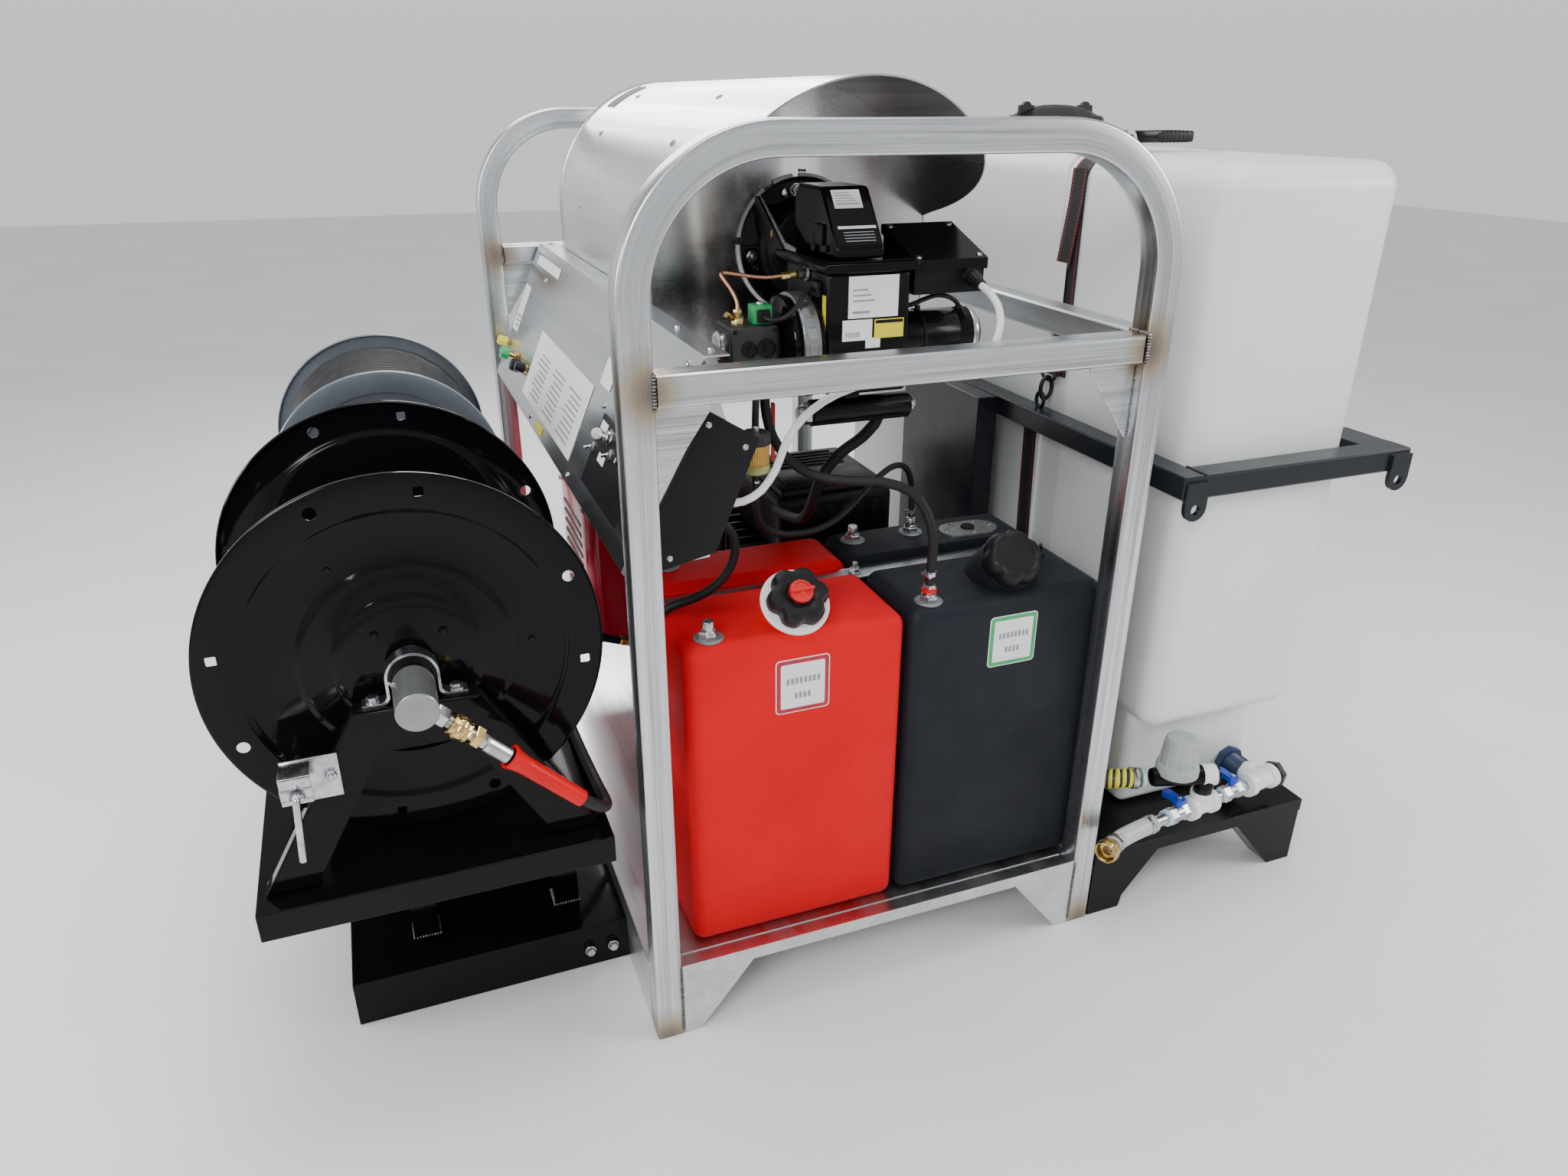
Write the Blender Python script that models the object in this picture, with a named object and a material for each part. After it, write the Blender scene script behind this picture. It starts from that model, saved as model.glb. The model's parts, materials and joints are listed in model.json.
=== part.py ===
"""Skid-mounted hot-water pressure washer.

An aluminium hoop frame carries two fuel tanks, an engine and pump, a coil
heater with its oil burner, and a sloping control panel. Two hose reels hang
on a rack to the left and a tall water tank stands on a bracket to the right.

Metres, +Z up. X runs along the front, Y goes back into the skid. The pieces
are laid out from the front left foot of the frame, and the last step moves
the whole machine so that the origin sits under the middle of its box.
"""

import math

import bmesh
import bpy
from mathutils import Matrix, Vector

# ---------------------------------------------------------------- dimensions
GAP = 0.0005  # clearance between pieces that touch
TUBE = 0.0508  # square frame tube
FRAME_W = 0.965  # outside width of the hoops
FRAME_H = 1.61  # height of the hoops
FRAME_L = 1.60  # front of one hoop to front of the other
HOOP_R = 0.246  # outside bend radius
BAR_Z = 1.22  # underside of the cross bars
FLOOR_Z = 0.14  # underside of the skid floor
FLOOR_T = 0.006

TANK_Y = (0.058, 0.487)
TANK_Z = (0.150, 0.785)
PETROL_X = (0.095, 0.515)
DIESEL_X = (0.525, 0.945)
STRAP_Y = (0.277, 0.327)

HEATER_X = 0.4825
HEATER_Z = 1.38
HEATER_R = 0.290
HEATER_Y = (0.560, 1.450)
HEATER_FOOT = 1.10
HEATER_WALL = 0.003
BURNER_X = 0.500
BURNER_Z = 1.370
FAN_Y = 0.290
FAN_Z = 1.237

PANEL_TOP = (0.150, 1.2735)  # bend under the top flange
PANEL_LOW = (0.004, 0.940)  # lower left bend
PANEL_Y = (0.075, 1.575)
PANEL_T = 0.003

REEL_X = -0.336
REEL_Z = 0.833
REEL_R = 0.307
REEL_Y = (0.100, 0.545)
GREY_X = -0.318
GREY_Z = 0.920
GREY_R = 0.228
GREY_Y = (0.740, 1.130)
TRAY_X = (-0.615, -0.055)
TRAY_Y = (0.000, 1.190)
TRAY_Z = 0.490
SWIVEL_FRONT = -0.072
LOCK_AT = (-0.520, 0.700)
HOSE_DIR = Vector((0.7071, 0.0, -0.7071))
SUPPLY_R = 0.010
PUMP_OUTLET = Vector((0.1485, 0.860, 0.415))
OUTLET_DIR = Vector((-0.955, 0.0, 0.296))

POLY_X = (1.095, 1.490)
POLY_Y = (0.047, 1.600)
POLY_Z = (0.400, 1.535)
SUMP_X = (1.120, 1.465)
SUMP_Y = (0.130, 1.500)
SHELF_Z = 0.165
SHELF_X = (0.968, 1.535)
BELT_X = (1.030, 1.585)
BELT_Z = (0.960, 1.005)
LID_AT = (1.290, 0.900)
WEB_Y = (0.480, 0.529)
PLUMB_AT = Vector((1.421, 0.032, 0.225))
PLUMB_DIR = Vector((-0.9893, -0.1459, 0.0))
TEE_REACH = 0.190  # from the first tee to the second one
INLET_END = Vector((0.963, -0.050, 0.226))
INLET_FACING = Vector((-0.870, -0.490, 0.050)).normalized()
SUCTION_R = 0.022

# ---------------------------------------------------------------- materials
PALETTE = {
    "aluminium": ((0.62, 0.63, 0.65), 0.35, 1.0),
    "stainless": ((0.68, 0.68, 0.68), 0.22, 1.0),
    "zinc": ((0.60, 0.61, 0.62), 0.30, 1.0),
    "brass": ((0.72, 0.52, 0.20), 0.28, 1.0),
    "gloss_black": ((0.012, 0.012, 0.014), 0.12, 0.0),
    "satin_black": ((0.02, 0.02, 0.022), 0.38, 0.0),
    "grey_hammer": ((0.20, 0.22, 0.25), 0.30, 0.3),
    "tank_red": ((0.80, 0.01, 0.02), 0.48, 0.0),
    "tank_black": ((0.022, 0.025, 0.032), 0.55, 0.0),
    "cap_black": ((0.015, 0.015, 0.016), 0.45, 0.0),
    "cap_red": ((0.75, 0.02, 0.02), 0.35, 0.0),
    "poly_white": ((0.85, 0.86, 0.85), 0.40, 0.0),
    "pvc_white": ((0.88, 0.88, 0.86), 0.30, 0.0),
    "engine_red": ((0.62, 0.01, 0.03), 0.25, 0.0),
    "engine_black": ((0.03, 0.03, 0.032), 0.45, 0.0),
    "cast_grey": ((0.30, 0.31, 0.32), 0.50, 0.6),
    "rubber_black": ((0.012, 0.012, 0.012), 0.60, 0.0),
    "cable_white": ((0.80, 0.80, 0.78), 0.45, 0.0),
    "hose_clear": ((0.70, 0.73, 0.75), 0.25, 0.0),
    "hose_yellow": ((0.78, 0.70, 0.08), 0.40, 0.0),
    "handle_blue": ((0.01, 0.09, 0.55), 0.35, 0.0),
    "amber": ((0.75, 0.42, 0.06), 0.15, 0.0),
    "web_black": ((0.02, 0.02, 0.02), 0.80, 0.0),
    "valve_green": ((0.05, 0.35, 0.12), 0.40, 0.0),
}


def material(name):
    """A Principled BSDF with the named colour, roughness and metallic value."""
    found = bpy.data.materials.get(name)
    if found:
        return found
    color, roughness, metallic = PALETTE[name]
    made = bpy.data.materials.new(name)
    made.use_nodes = True
    shader = made.node_tree.nodes["Principled BSDF"]
    shader.inputs["Base Color"].default_value = (*color, 1.0)
    shader.inputs["Roughness"].default_value = roughness
    shader.inputs["Metallic"].default_value = metallic
    made.diffuse_color = (*color, 1.0)
    return made


# ---------------------------------------------------------------- primitives
def box(x, y, z, bevel=0.0, segments=1):
    """A box between two values on each axis, with rounded edges if asked."""
    shape = bmesh.new()
    bmesh.ops.create_cube(shape, size=1.0)
    size = (x[1] - x[0], y[1] - y[0], z[1] - z[0])
    middle = ((x[0] + x[1]) / 2, (y[0] + y[1]) / 2, (z[0] + z[1]) / 2)
    bmesh.ops.scale(shape, vec=size, verts=shape.verts)
    bmesh.ops.translate(shape, vec=middle, verts=shape.verts)
    if bevel:
        bmesh.ops.bevel(
            shape, geom=shape.edges[:], offset=bevel, segments=segments,
            profile=0.5, affect="EDGES",
        )
    return shape


def turn_to(direction):
    """The rotation that takes +Z to the direction."""
    return Vector((0, 0, 1)).rotation_difference(Vector(direction)).to_matrix().to_4x4()


def rod(start, end, radius, sides=20, end_radius=None):
    """A solid cylinder or cone between two points."""
    start, end = Vector(start), Vector(end)
    shape = bmesh.new()
    bmesh.ops.create_cone(
        shape, cap_ends=True, segments=sides, radius1=radius,
        radius2=radius if end_radius is None else end_radius,
        depth=(end - start).length,
    )
    place = Matrix.Translation((start + end) / 2) @ turn_to(end - start)
    bmesh.ops.transform(shape, matrix=place, verts=shape.verts)
    return shape


def lathe(profile, base, direction, sides=32):
    """A solid turned from (radius, height) points about a line through base."""
    shape = bmesh.new()
    rings = []
    for radius, height in profile:
        if radius < 1e-6:
            rings.append([shape.verts.new((0, 0, height))])
            continue
        ring = []
        for step in range(sides):
            angle = 2 * math.pi * step / sides
            spot = (radius * math.cos(angle), radius * math.sin(angle), height)
            ring.append(shape.verts.new(spot))
        rings.append(ring)
    closed_loop = profile[0][0] > 1e-6
    pairs = list(zip(rings, rings[1:]))
    if closed_loop:
        pairs.append((rings[-1], rings[0]))
    for low, high in pairs:
        for step in range(sides):
            after = (step + 1) % sides
            if len(low) == 1:
                shape.faces.new((low[0], high[after], high[step]))
            elif len(high) == 1:
                shape.faces.new((low[step], low[after], high[0]))
            else:
                shape.faces.new((low[step], low[after], high[after], high[step]))
    place = Matrix.Translation(Vector(base)) @ turn_to(direction)
    bmesh.ops.transform(shape, matrix=place, verts=shape.verts)
    bmesh.ops.recalc_face_normals(shape, faces=shape.faces)
    return shape


def prism(outline, axis, span):
    """A polygon of two coordinates pushed along the third axis over a span."""
    shape = bmesh.new()
    order = {"X": (1, 2, 0), "Y": (0, 2, 1), "Z": (0, 1, 2)}[axis]
    loops = []
    for along in span:
        loop = []
        for first, second in outline:
            spot = [0.0, 0.0, 0.0]
            spot[order[0]] = first
            spot[order[1]] = second
            spot[order[2]] = along
            loop.append(shape.verts.new(spot))
        loops.append(loop)
    count = len(outline)
    shape.faces.new(loops[0])
    shape.faces.new(loops[1])
    for step in range(count):
        after = (step + 1) % count
        shape.faces.new((loops[0][step], loops[0][after], loops[1][after], loops[1][step]))
    bmesh.ops.recalc_face_normals(shape, faces=shape.faces)
    return shape


def sweep(path, section, side):
    """A section of (side, outward) offsets carried along a flat path.

    side is the unit vector square to the plane of the path."""
    shape = bmesh.new()
    rings = []
    for index, spot in enumerate(path):
        before = path[max(index - 1, 0)]
        after = path[min(index + 1, len(path) - 1)]
        forward = (Vector(after) - Vector(before)).normalized()
        outward = side.cross(forward)
        ring = []
        for across, out in section:
            ring.append(shape.verts.new(Vector(spot) + side * across + outward * out))
        rings.append(ring)
    count = len(section)
    for low, high in zip(rings, rings[1:]):
        for step in range(count):
            after = (step + 1) % count
            shape.faces.new((low[step], low[after], high[after], high[step]))
    shape.faces.new(rings[0])
    shape.faces.new(rings[-1])
    bmesh.ops.recalc_face_normals(shape, faces=shape.faces)
    return shape


def arc(middle, radius, start, end, steps):
    """Points on an arc in a plane, angles in degrees, both ends included."""
    points = []
    for step in range(steps + 1):
        angle = math.radians(start + (end - start) * step / steps)
        points.append((
            middle[0] + radius * math.cos(angle),
            middle[1] + radius * math.sin(angle),
        ))
    return points


# ---------------------------------------------------------------- assembling
def add_object(name, shape, origin):
    """A mesh object whose own origin is at the given point."""
    bmesh.ops.translate(shape, vec=-Vector(origin), verts=shape.verts)
    mesh = bpy.data.meshes.new(name)
    shape.to_mesh(mesh)
    shape.free()
    made = bpy.data.objects.new(name, mesh)
    made.location = origin
    bpy.context.scene.collection.objects.link(made)
    return made


def add_helpers(owner, shapes, label, operation, origin):
    """One Boolean on owner whose operands are hidden helper objects."""
    if not shapes:
        return
    group = bpy.data.collections.new(owner.name + "_" + label)
    bpy.context.scene.collection.children.link(group)
    for number, shape in enumerate(shapes):
        helper = add_object(f"{owner.name}_{label}{number}", shape, origin)
        bpy.context.scene.collection.objects.unlink(helper)
        group.objects.link(helper)
        helper.parent = owner
        helper.matrix_parent_inverse = Matrix.Translation(-Vector(origin))
        helper.hide_render = True
        helper.display_type = "WIRE"
    boolean = owner.modifiers.new(label, "BOOLEAN")
    boolean.operation = operation
    boolean.operand_type = "COLLECTION"
    boolean.collection = group
    boolean.solver = "EXACT"


def make(name, look, shapes, cuts=(), origin=(0, 0, 0), parent=None):
    """One named solid: the first shape joined with the rest, less the cuts."""
    made = add_object(name, shapes[0], origin)
    made.data.materials.append(material(look))
    add_helpers(made, shapes[1:], "join", "UNION", origin)
    add_helpers(made, list(cuts), "cut", "DIFFERENCE", origin)
    if parent:
        made.parent = parent
        made.matrix_parent_inverse = Matrix.Translation(-Vector(parent.location))
    return made


def smooth_route(points, per_span=6):
    """A Catmull-Rom curve through the points, which keeps a cord free of kinks."""
    spots = [Vector(point) for point in points]
    spots = [2 * spots[0] - spots[1], *spots, 2 * spots[-1] - spots[-2]]
    route = []
    for index in range(1, len(spots) - 2):
        a, b, c, d = spots[index - 1 : index + 3]
        for step in range(per_span):
            t = step / per_span
            route.append(0.5 * (
                2 * b + (c - a) * t + (2 * a - 5 * b + 4 * c - d) * t * t
                + (3 * b - a - 3 * c + d) * t ** 3
            ))
    route.append(spots[-2])
    return route


def bend(start, leave, end, arrive, steps):
    """Points on a Bezier curve, given how it leaves the start and meets the end."""
    a, d = Vector(start), Vector(end)
    b, c = a + Vector(leave), d - Vector(arrive)
    points = []
    for step in range(steps + 1):
        t = step / steps
        u = 1 - t
        points.append(u ** 3 * a + 3 * u * u * t * b + 3 * u * t * t * c + t ** 3 * d)
    return points


def join_routes(*parts):
    """One list of points from several, without the doubled ones where they meet."""
    route = []
    for part in parts:
        for point in part:
            if not route or (Vector(point) - route[-1]).length > 1e-5:
                route.append(Vector(point))
    return route


def cord(name, look, points, radius, resolution=2):
    """A round cord along a list of points."""
    curve = bpy.data.curves.new(name, "CURVE")
    curve.dimensions = "3D"
    curve.bevel_depth = radius
    curve.bevel_resolution = resolution
    curve.use_fill_caps = True
    line = curve.splines.new("POLY")
    line.points.add(len(points) - 1)
    for spot, point in zip(line.points, points):
        spot.co = (*point, 1.0)
    made = bpy.data.objects.new(name, curve)
    curve.materials.append(material(look))
    bpy.context.scene.collection.objects.link(made)
    return made


# ---------------------------------------------------------------- frame
def hoop_path(y):
    """Centre line of a hoop, up the left leg, over and down the right one."""
    half = TUBE / 2
    bend = HOOP_R - half
    left = arc((HOOP_R, FRAME_H - HOOP_R), bend, 180, 90, 7)
    right = arc((FRAME_W - HOOP_R, FRAME_H - HOOP_R), bend, 90, 0, 7)
    flat = [(half, 0.0), *left, *right, (FRAME_W - half, 0.0)]
    return [(x, y + half, z) for x, z in flat]


def tube_section():
    """The square tube's outline with its corners taken off."""
    half, corner = TUBE / 2, 0.006
    inner = half - corner
    return [
        (half, -inner), (half, inner), (inner, half), (-inner, half),
        (-half, inner), (-half, -inner), (-inner, -half), (inner, -half),
    ]


def make_hoops():
    for name, y in (("front_hoop", 0.0), ("rear_hoop", FRAME_L)):
        make(name, "aluminium", [sweep(hoop_path(y), tube_section(), Vector((0, 1, 0)))])


def gusset(corner_x, toward, y):
    """A thin triangle under a cross bar, against a leg."""
    outline = [
        (corner_x, BAR_Z + 0.006), (corner_x + toward * 0.092, BAR_Z + 0.006),
        (corner_x + toward * 0.092, BAR_Z - 0.012), (corner_x + toward * 0.006, BAR_Z - 0.135),
        (corner_x, BAR_Z - 0.135),
    ]
    return prism(outline, "Y", (y - 0.002, y + 0.002))


def make_cross_bars():
    inside = (TUBE + GAP, FRAME_W - TUBE - GAP)
    for name, y in (("front_cross_bar", 0.0), ("rear_cross_bar", FRAME_L)):
        bar = box(inside, (y, y + TUBE), (BAR_Z, BAR_Z + TUBE), 0.004, 1)
        middle = y + TUBE / 2
        plates = [gusset(inside[0], 1, middle), gusset(inside[1], -1, middle)]
        make(name, "aluminium", [bar, *plates])


def make_side_rail():
    """The right-hand rail, with two arms that steady the heater."""
    rail = box(
        (FRAME_W - TUBE, FRAME_W), (TUBE + GAP, FRAME_L - GAP), (BAR_Z, BAR_Z + TUBE), 0.004, 1
    )
    arms = []
    for y in (0.800, 1.280):
        reach = (HEATER_X + HEATER_R + GAP, FRAME_W - 0.02)
        arms.append(box(reach, (y, y + 0.040), (1.226, 1.264)))
    make("right_side_rail", "aluminium", [rail, *arms])


def foot_gusset(corner_x, toward, y):
    """A thin corner plate from the end lip down to the foot of a leg."""
    outline = [
        (corner_x, FLOOR_Z + 0.020), (corner_x + toward * 0.142, FLOOR_Z + 0.020),
        (corner_x + toward * 0.142, FLOOR_Z - 0.002), (corner_x + toward * 0.034, 0.002),
        (corner_x, 0.002),
    ]
    return prism(outline, "Y", (y + 0.0005, y + 0.0045))


def make_skid_base():
    """Floor with side skirts, end flanges and foot gussets, welded together."""
    inside = (TUBE + GAP, FRAME_W - TUBE - GAP)
    length = (TUBE + GAP, FRAME_L - GAP)
    floor = box((0.0015, FRAME_W - 0.0015), length, (FLOOR_Z, FLOOR_Z + FLOOR_T))
    rest = []
    for x in ((0.0, 0.005), (FRAME_W - 0.005, FRAME_W)):
        rest.append(box(x, (length[0] + 0.0015, length[1] - 0.0015), (0.0, FLOOR_Z + FLOOR_T - 0.001)))
    for x in ((0.003, 0.090), (FRAME_W - 0.090, FRAME_W - 0.003)):
        rest.append(box(x, (0.06, FRAME_L - 0.01), (0.0015, 0.0065)))
    under = (FLOOR_Z - 0.0015, FLOOR_Z + FLOOR_T - 0.002)
    within = (inside[0] + 0.001, inside[1] - 0.001)
    rear = FRAME_L + TUBE
    ends = ((0.0, (0.002, TUBE + 0.004)), (rear - 0.005, (FRAME_L - 0.004, rear - 0.002)))
    for y, shelf in ends:
        rest.append(box(inside, (y, y + 0.005), (FLOOR_Z - 0.003, FLOOR_Z + 0.024)))
        rest.append(box(within, shelf, under))
        rest.append(foot_gusset(inside[0] + 0.0005, 1, y))
        rest.append(foot_gusset(inside[1] - 0.0005, -1, y))
    make("skid_base", "aluminium", [floor, *rest])


# ---------------------------------------------------------------- fuel tanks
GAS_AXIS = Vector((0.0, -0.65, 0.76)).normalized()
GAS_AT = Vector((0.315, 0.107, TANK_Z[1] + 0.039))
DIESEL_AXIS = Vector((-0.14, -0.66, 0.74)).normalized()
DIESEL_AT = Vector((0.757, 0.116, TANK_Z[1] + 0.045))


def hex_plug(x, y, z):
    """A tank fitting: washer, hexagon and stub."""
    return [
        rod((x, y, z - 0.004), (x, y, z + 0.004), 0.024, 12),
        rod((x, y, z + 0.002), (x, y, z + 0.014), 0.016, 6),
        rod((x, y, z + 0.012), (x, y, z + 0.034), 0.0105, 8),
    ]


def fuel_tank(x):
    """A roto-moulded block with a groove across the top for the strap."""
    body = box(x, TANK_Y, TANK_Z, 0.020, 2)
    grooves = [
        box((x[0] - 0.02, x[1] + 0.02), (0.262, 0.342), (TANK_Z[1] - 0.022, TANK_Z[1] + 0.02)),
        box((x[0] - 0.02, x[0] + 0.016), (0.262, 0.342), (TANK_Z[1] - 0.14, TANK_Z[1] + 0.01)),
        box((x[1] - 0.016, x[1] + 0.02), (0.262, 0.342), (TANK_Z[1] - 0.14, TANK_Z[1] + 0.01)),
    ]
    return body, grooves


def make_petrol_tank():
    top = TANK_Z[1]
    body, grooves = fuel_tank(PETROL_X)
    neck = rod(GAS_AT - GAS_AXIS * 0.112, GAS_AT, 0.060, 20)
    fittings = [*hex_plug(0.150, 0.098, top), *hex_plug(0.164, 0.425, top)]
    make("gasoline_tank", "tank_red", [body, neck, *fittings], grooves)


def sender_plate():
    """The oval gauge plate with its five screws."""
    at, z = (0.830, 0.395), TANK_Z[1]
    outline = [
        *arc((at[0] + 0.028, at[1]), 0.038, -90, 90, 7),
        *arc((at[0] - 0.028, at[1]), 0.038, 90, 270, 7),
    ]
    screws = []
    for x, y in ((-0.052, 0.0), (-0.026, 0.026), (0.026, 0.026), (0.052, 0.0), (0.0, -0.026)):
        spot = (at[0] + x, at[1] + y)
        screws.append(rod((*spot, z + 0.002), (*spot, z + 0.009), 0.0055, 6))
    return [prism(outline, "Z", (z - 0.003, z + 0.004)), *screws]


def make_diesel_tank():
    top = TANK_Z[1]
    body, grooves = fuel_tank(DIESEL_X)
    neck = rod(DIESEL_AT - DIESEL_AXIS * 0.140, DIESEL_AT, 0.070, 20, 0.050)
    fittings = [
        *hex_plug(0.577, 0.098, top), *hex_plug(0.570, 0.425, top), *hex_plug(0.706, 0.425, top)
    ]
    make("diesel_tank", "tank_black", [body, neck, *fittings, *sender_plate()], grooves)


def make_hold_down_strap():
    """The flat bar in the groove across both tanks, turned down at its ends."""
    z = TANK_Z[1] - 0.022 + GAP
    left, right = PETROL_X[0] + 0.004, DIESEL_X[1] - 0.004
    flat = box((left, right), STRAP_Y, (z, z + 0.005))
    ends = [
        box((left, left + 0.005), STRAP_Y, (z - 0.10, z + 0.004)),
        box((right - 0.005, right), STRAP_Y, (z - 0.10, z + 0.004)),
    ]
    make("tank_strap", "stainless", [flat, *ends])


def cap_cuts(base, axis, reach, radius, start, sides):
    """Six rods round a cap's rim, parallel to its axis, that leave its lobes."""
    cuts = []
    for step in range(6):
        angle = math.radians(60 * step + start)
        spot = base + turn_to(axis) @ Vector((reach * math.cos(angle), reach * math.sin(angle), 0))
        cuts.append(rod(spot - axis * 0.010, spot + axis * 0.050, radius, sides))
    return cuts


def make_gas_cap():
    """A lobed cap on a sloping neck, with the red vent knob as its own piece on top."""
    base = GAS_AT + GAS_AXIS * GAP
    body = lathe(
        [(0, 0), (0.050, 0), (0.053, 0.005), (0.053, 0.026), (0.046, 0.034), (0, 0.034)],
        base, GAS_AXIS, 24,
    )
    scallops = cap_cuts(base, GAS_AXIS, 0.062, 0.0155, 30, 10)
    cap = make("gas_cap", "cap_black", [body], scallops, tuple(base))
    top = base + GAS_AXIS * (0.034 + GAP)
    knob = rod(top, top + GAS_AXIS * 0.012, 0.019, 20)
    bar = box((-0.021, 0.021), (-0.0035, 0.0035), (0.006, 0.019))
    place = Matrix.Translation(top) @ turn_to(GAS_AXIS)
    bmesh.ops.transform(bar, matrix=place, verts=bar.verts)
    make("gas_cap_vent", "cap_red", [knob, bar], (), tuple(top), cap)


def make_diesel_cap():
    base = DIESEL_AT + DIESEL_AXIS * GAP
    body = lathe(
        [(0, 0), (0.054, 0), (0.056, 0.004), (0.053, 0.030), (0.044, 0.040), (0.040, 0.041),
         (0.038, 0.038), (0, 0.038)],
        base, DIESEL_AXIS, 24,
    )
    grips = cap_cuts(base, DIESEL_AXIS, 0.064, 0.0125, 10, 8)
    make("diesel_cap", "cap_black", [body], grips, tuple(base))


# ---------------------------------------------------------------- heater
def visor_y(angle):
    """How far forward the wrap reaches, by angle from the right-hand side."""
    away = abs(90 - angle)
    if away >= 82:
        return HEATER_Y[0]
    share = away / 82
    return 0.195 + 0.075 * share ** 1.6 + 0.29 * share ** 7


def wrap_outline(radius, foot):
    """Points of the arch from the right foot to the left one, with angles."""
    points = [(HEATER_X + radius, foot, 0.0)]
    steps = 24
    for step in range(steps + 1):
        angle = 180 * step / steps
        turn = math.radians(angle)
        points.append((
            HEATER_X + radius * math.cos(turn), HEATER_Z + radius * math.sin(turn), angle
        ))
    points.append((HEATER_X - radius, foot, 180.0))
    return points


def heater_wrap():
    """The arched sheet, cut to a visor in front and closed by thin ends."""
    shape = bmesh.new()
    outer = wrap_outline(HEATER_R, HEATER_FOOT)
    inner = wrap_outline(HEATER_R - HEATER_WALL, HEATER_FOOT)
    rows = []
    for outline in (outer, inner):
        front = [shape.verts.new((x, visor_y(a), z)) for x, z, a in outline]
        rear = [shape.verts.new((x, HEATER_Y[1], z)) for x, z, a in outline]
        rows.append((front, rear))
    (outer_front, outer_rear), (inner_front, inner_rear) = rows
    for step in range(len(outer) - 1):
        after = step + 1
        shape.faces.new((outer_front[step], outer_front[after], outer_rear[after], outer_rear[step]))
        shape.faces.new((inner_front[step], inner_rear[step], inner_rear[after], inner_front[after]))
        shape.faces.new((outer_front[step], inner_front[step], inner_front[after], outer_front[after]))
        shape.faces.new((outer_rear[step], outer_rear[after], inner_rear[after], inner_rear[step]))
    for end in (0, -1):
        shape.faces.new((outer_front[end], outer_rear[end], inner_rear[end], inner_front[end]))
    bmesh.ops.recalc_face_normals(shape, faces=shape.faces)
    return shape


def arch_plate(y, thickness):
    """A flat end plate that fills the arch and sinks a little into its wall."""
    outline = [(x, z) for x, z, a in wrap_outline(HEATER_R - HEATER_WALL / 2, HEATER_FOOT)]
    return prism(outline, "Y", (y, y + thickness))


def make_heater_housing():
    plates = [arch_plate(HEATER_Y[0] + 0.001, 0.003), arch_plate(HEATER_Y[1] - 0.004, 0.003)]
    slots = []
    for row in range(3):
        y = 1.30 + 0.026 * row
        for side in (-1, 1):
            x = HEATER_X + side * 0.13
            slots.append(box((x - 0.045, x + 0.045), (y, y + 0.008), (1.60, 1.70)))
    hole = rod(
        (BURNER_X, HEATER_Y[0] - 0.02, BURNER_Z), (BURNER_X, HEATER_Y[0] + 0.02, BURNER_Z), 0.066, 20
    )
    make("heater_housing", "stainless", [heater_wrap(), *plates], [*slots, hole])


def make_heating_coil():
    """The coiled water pipe around the flame, with its two tails downward."""
    turns, radius, start, pitch = 5, 0.215, 0.66, 0.140
    points = [(HEATER_X + radius, start, 1.16)]
    steps = turns * 12
    for step in range(steps + 1):
        angle = 2 * math.pi * step / 12
        points.append((
            HEATER_X + radius * math.cos(angle), start + pitch * step / 12,
            HEATER_Z + radius * math.sin(angle),
        ))
    points.append((HEATER_X + radius, start + pitch * turns, 1.16))
    cord("heating_coil", "cast_grey", points, 0.014, 1)


def make_burner():
    """Fan housing, air tube and slotted flange of the oil burner."""
    housing = box((0.408, 0.562), (0.200, 0.400), (1.160, 1.371), 0.006, 1)
    tray = box((0.398, 0.572), (0.192, 0.430), (1.368, 1.384), 0.003, 1)
    tube = rod((BURNER_X, 0.395, 1.325), (BURNER_X, 0.530, 1.325), 0.056, 18)
    nose = rod((BURNER_X, 0.50, BURNER_Z), (BURNER_X, 0.640, BURNER_Z), 0.060, 18)
    flange = rod((BURNER_X, 0.548, BURNER_Z), (BURNER_X, 0.556, BURNER_Z), 0.128, 32)
    hub = rod((BURNER_X, 0.505, BURNER_Z), (BURNER_X, 0.550, BURNER_Z), 0.080, 18, 0.090)
    scroll = rod((0.345, FAN_Y, FAN_Z), (0.420, FAN_Y, FAN_Z), 0.080, 24)
    band = rod((0.362, FAN_Y, FAN_Z), (0.406, FAN_Y, FAN_Z), 0.092, 28)
    rest = [tray, tube, nose, flange, hub, scroll, band]
    slots = []
    for step in range(4):
        angle = math.radians(90 * step + 5)
        x = BURNER_X + 0.106 * math.cos(angle)
        z = BURNER_Z + 0.106 * math.sin(angle)
        rest.append(rod((x, 0.530, z), (x, 0.550, z), 0.0095, 6))
        slot = math.radians(90 * step + 24)
        x = BURNER_X + 0.106 * math.cos(slot)
        z = BURNER_Z + 0.106 * math.sin(slot)
        slots.append(rod((x, 0.53, z), (x, 0.57, z), 0.008, 8))
    bore = rod((BURNER_X, 0.60, BURNER_Z), (BURNER_X, 0.66, BURNER_Z), 0.052, 18)
    make("burner_housing", "gloss_black", [housing, *rest], [*slots, bore])


def make_igniter_cover():
    """The ignition unit on top, which hinges up at its rear edge."""
    hinge = (0.468, 0.405, 1.386)
    outline = [
        (0.205, 1.3855), (0.205, 1.405), (0.275, 1.498), (0.385, 1.498), (0.402, 1.480),
        (0.402, 1.3855),
    ]
    shell = prism(outline, "X", (0.424, 0.512))
    bosses = [
        rod((0.418, 0.300, 1.392), (0.430, 0.300, 1.392), 0.008, 10),
        rod((0.506, 0.300, 1.392), (0.518, 0.300, 1.392), 0.008, 10),
    ]
    make("igniter_cover", "gloss_black", [shell, *bosses], (), hinge)


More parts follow.
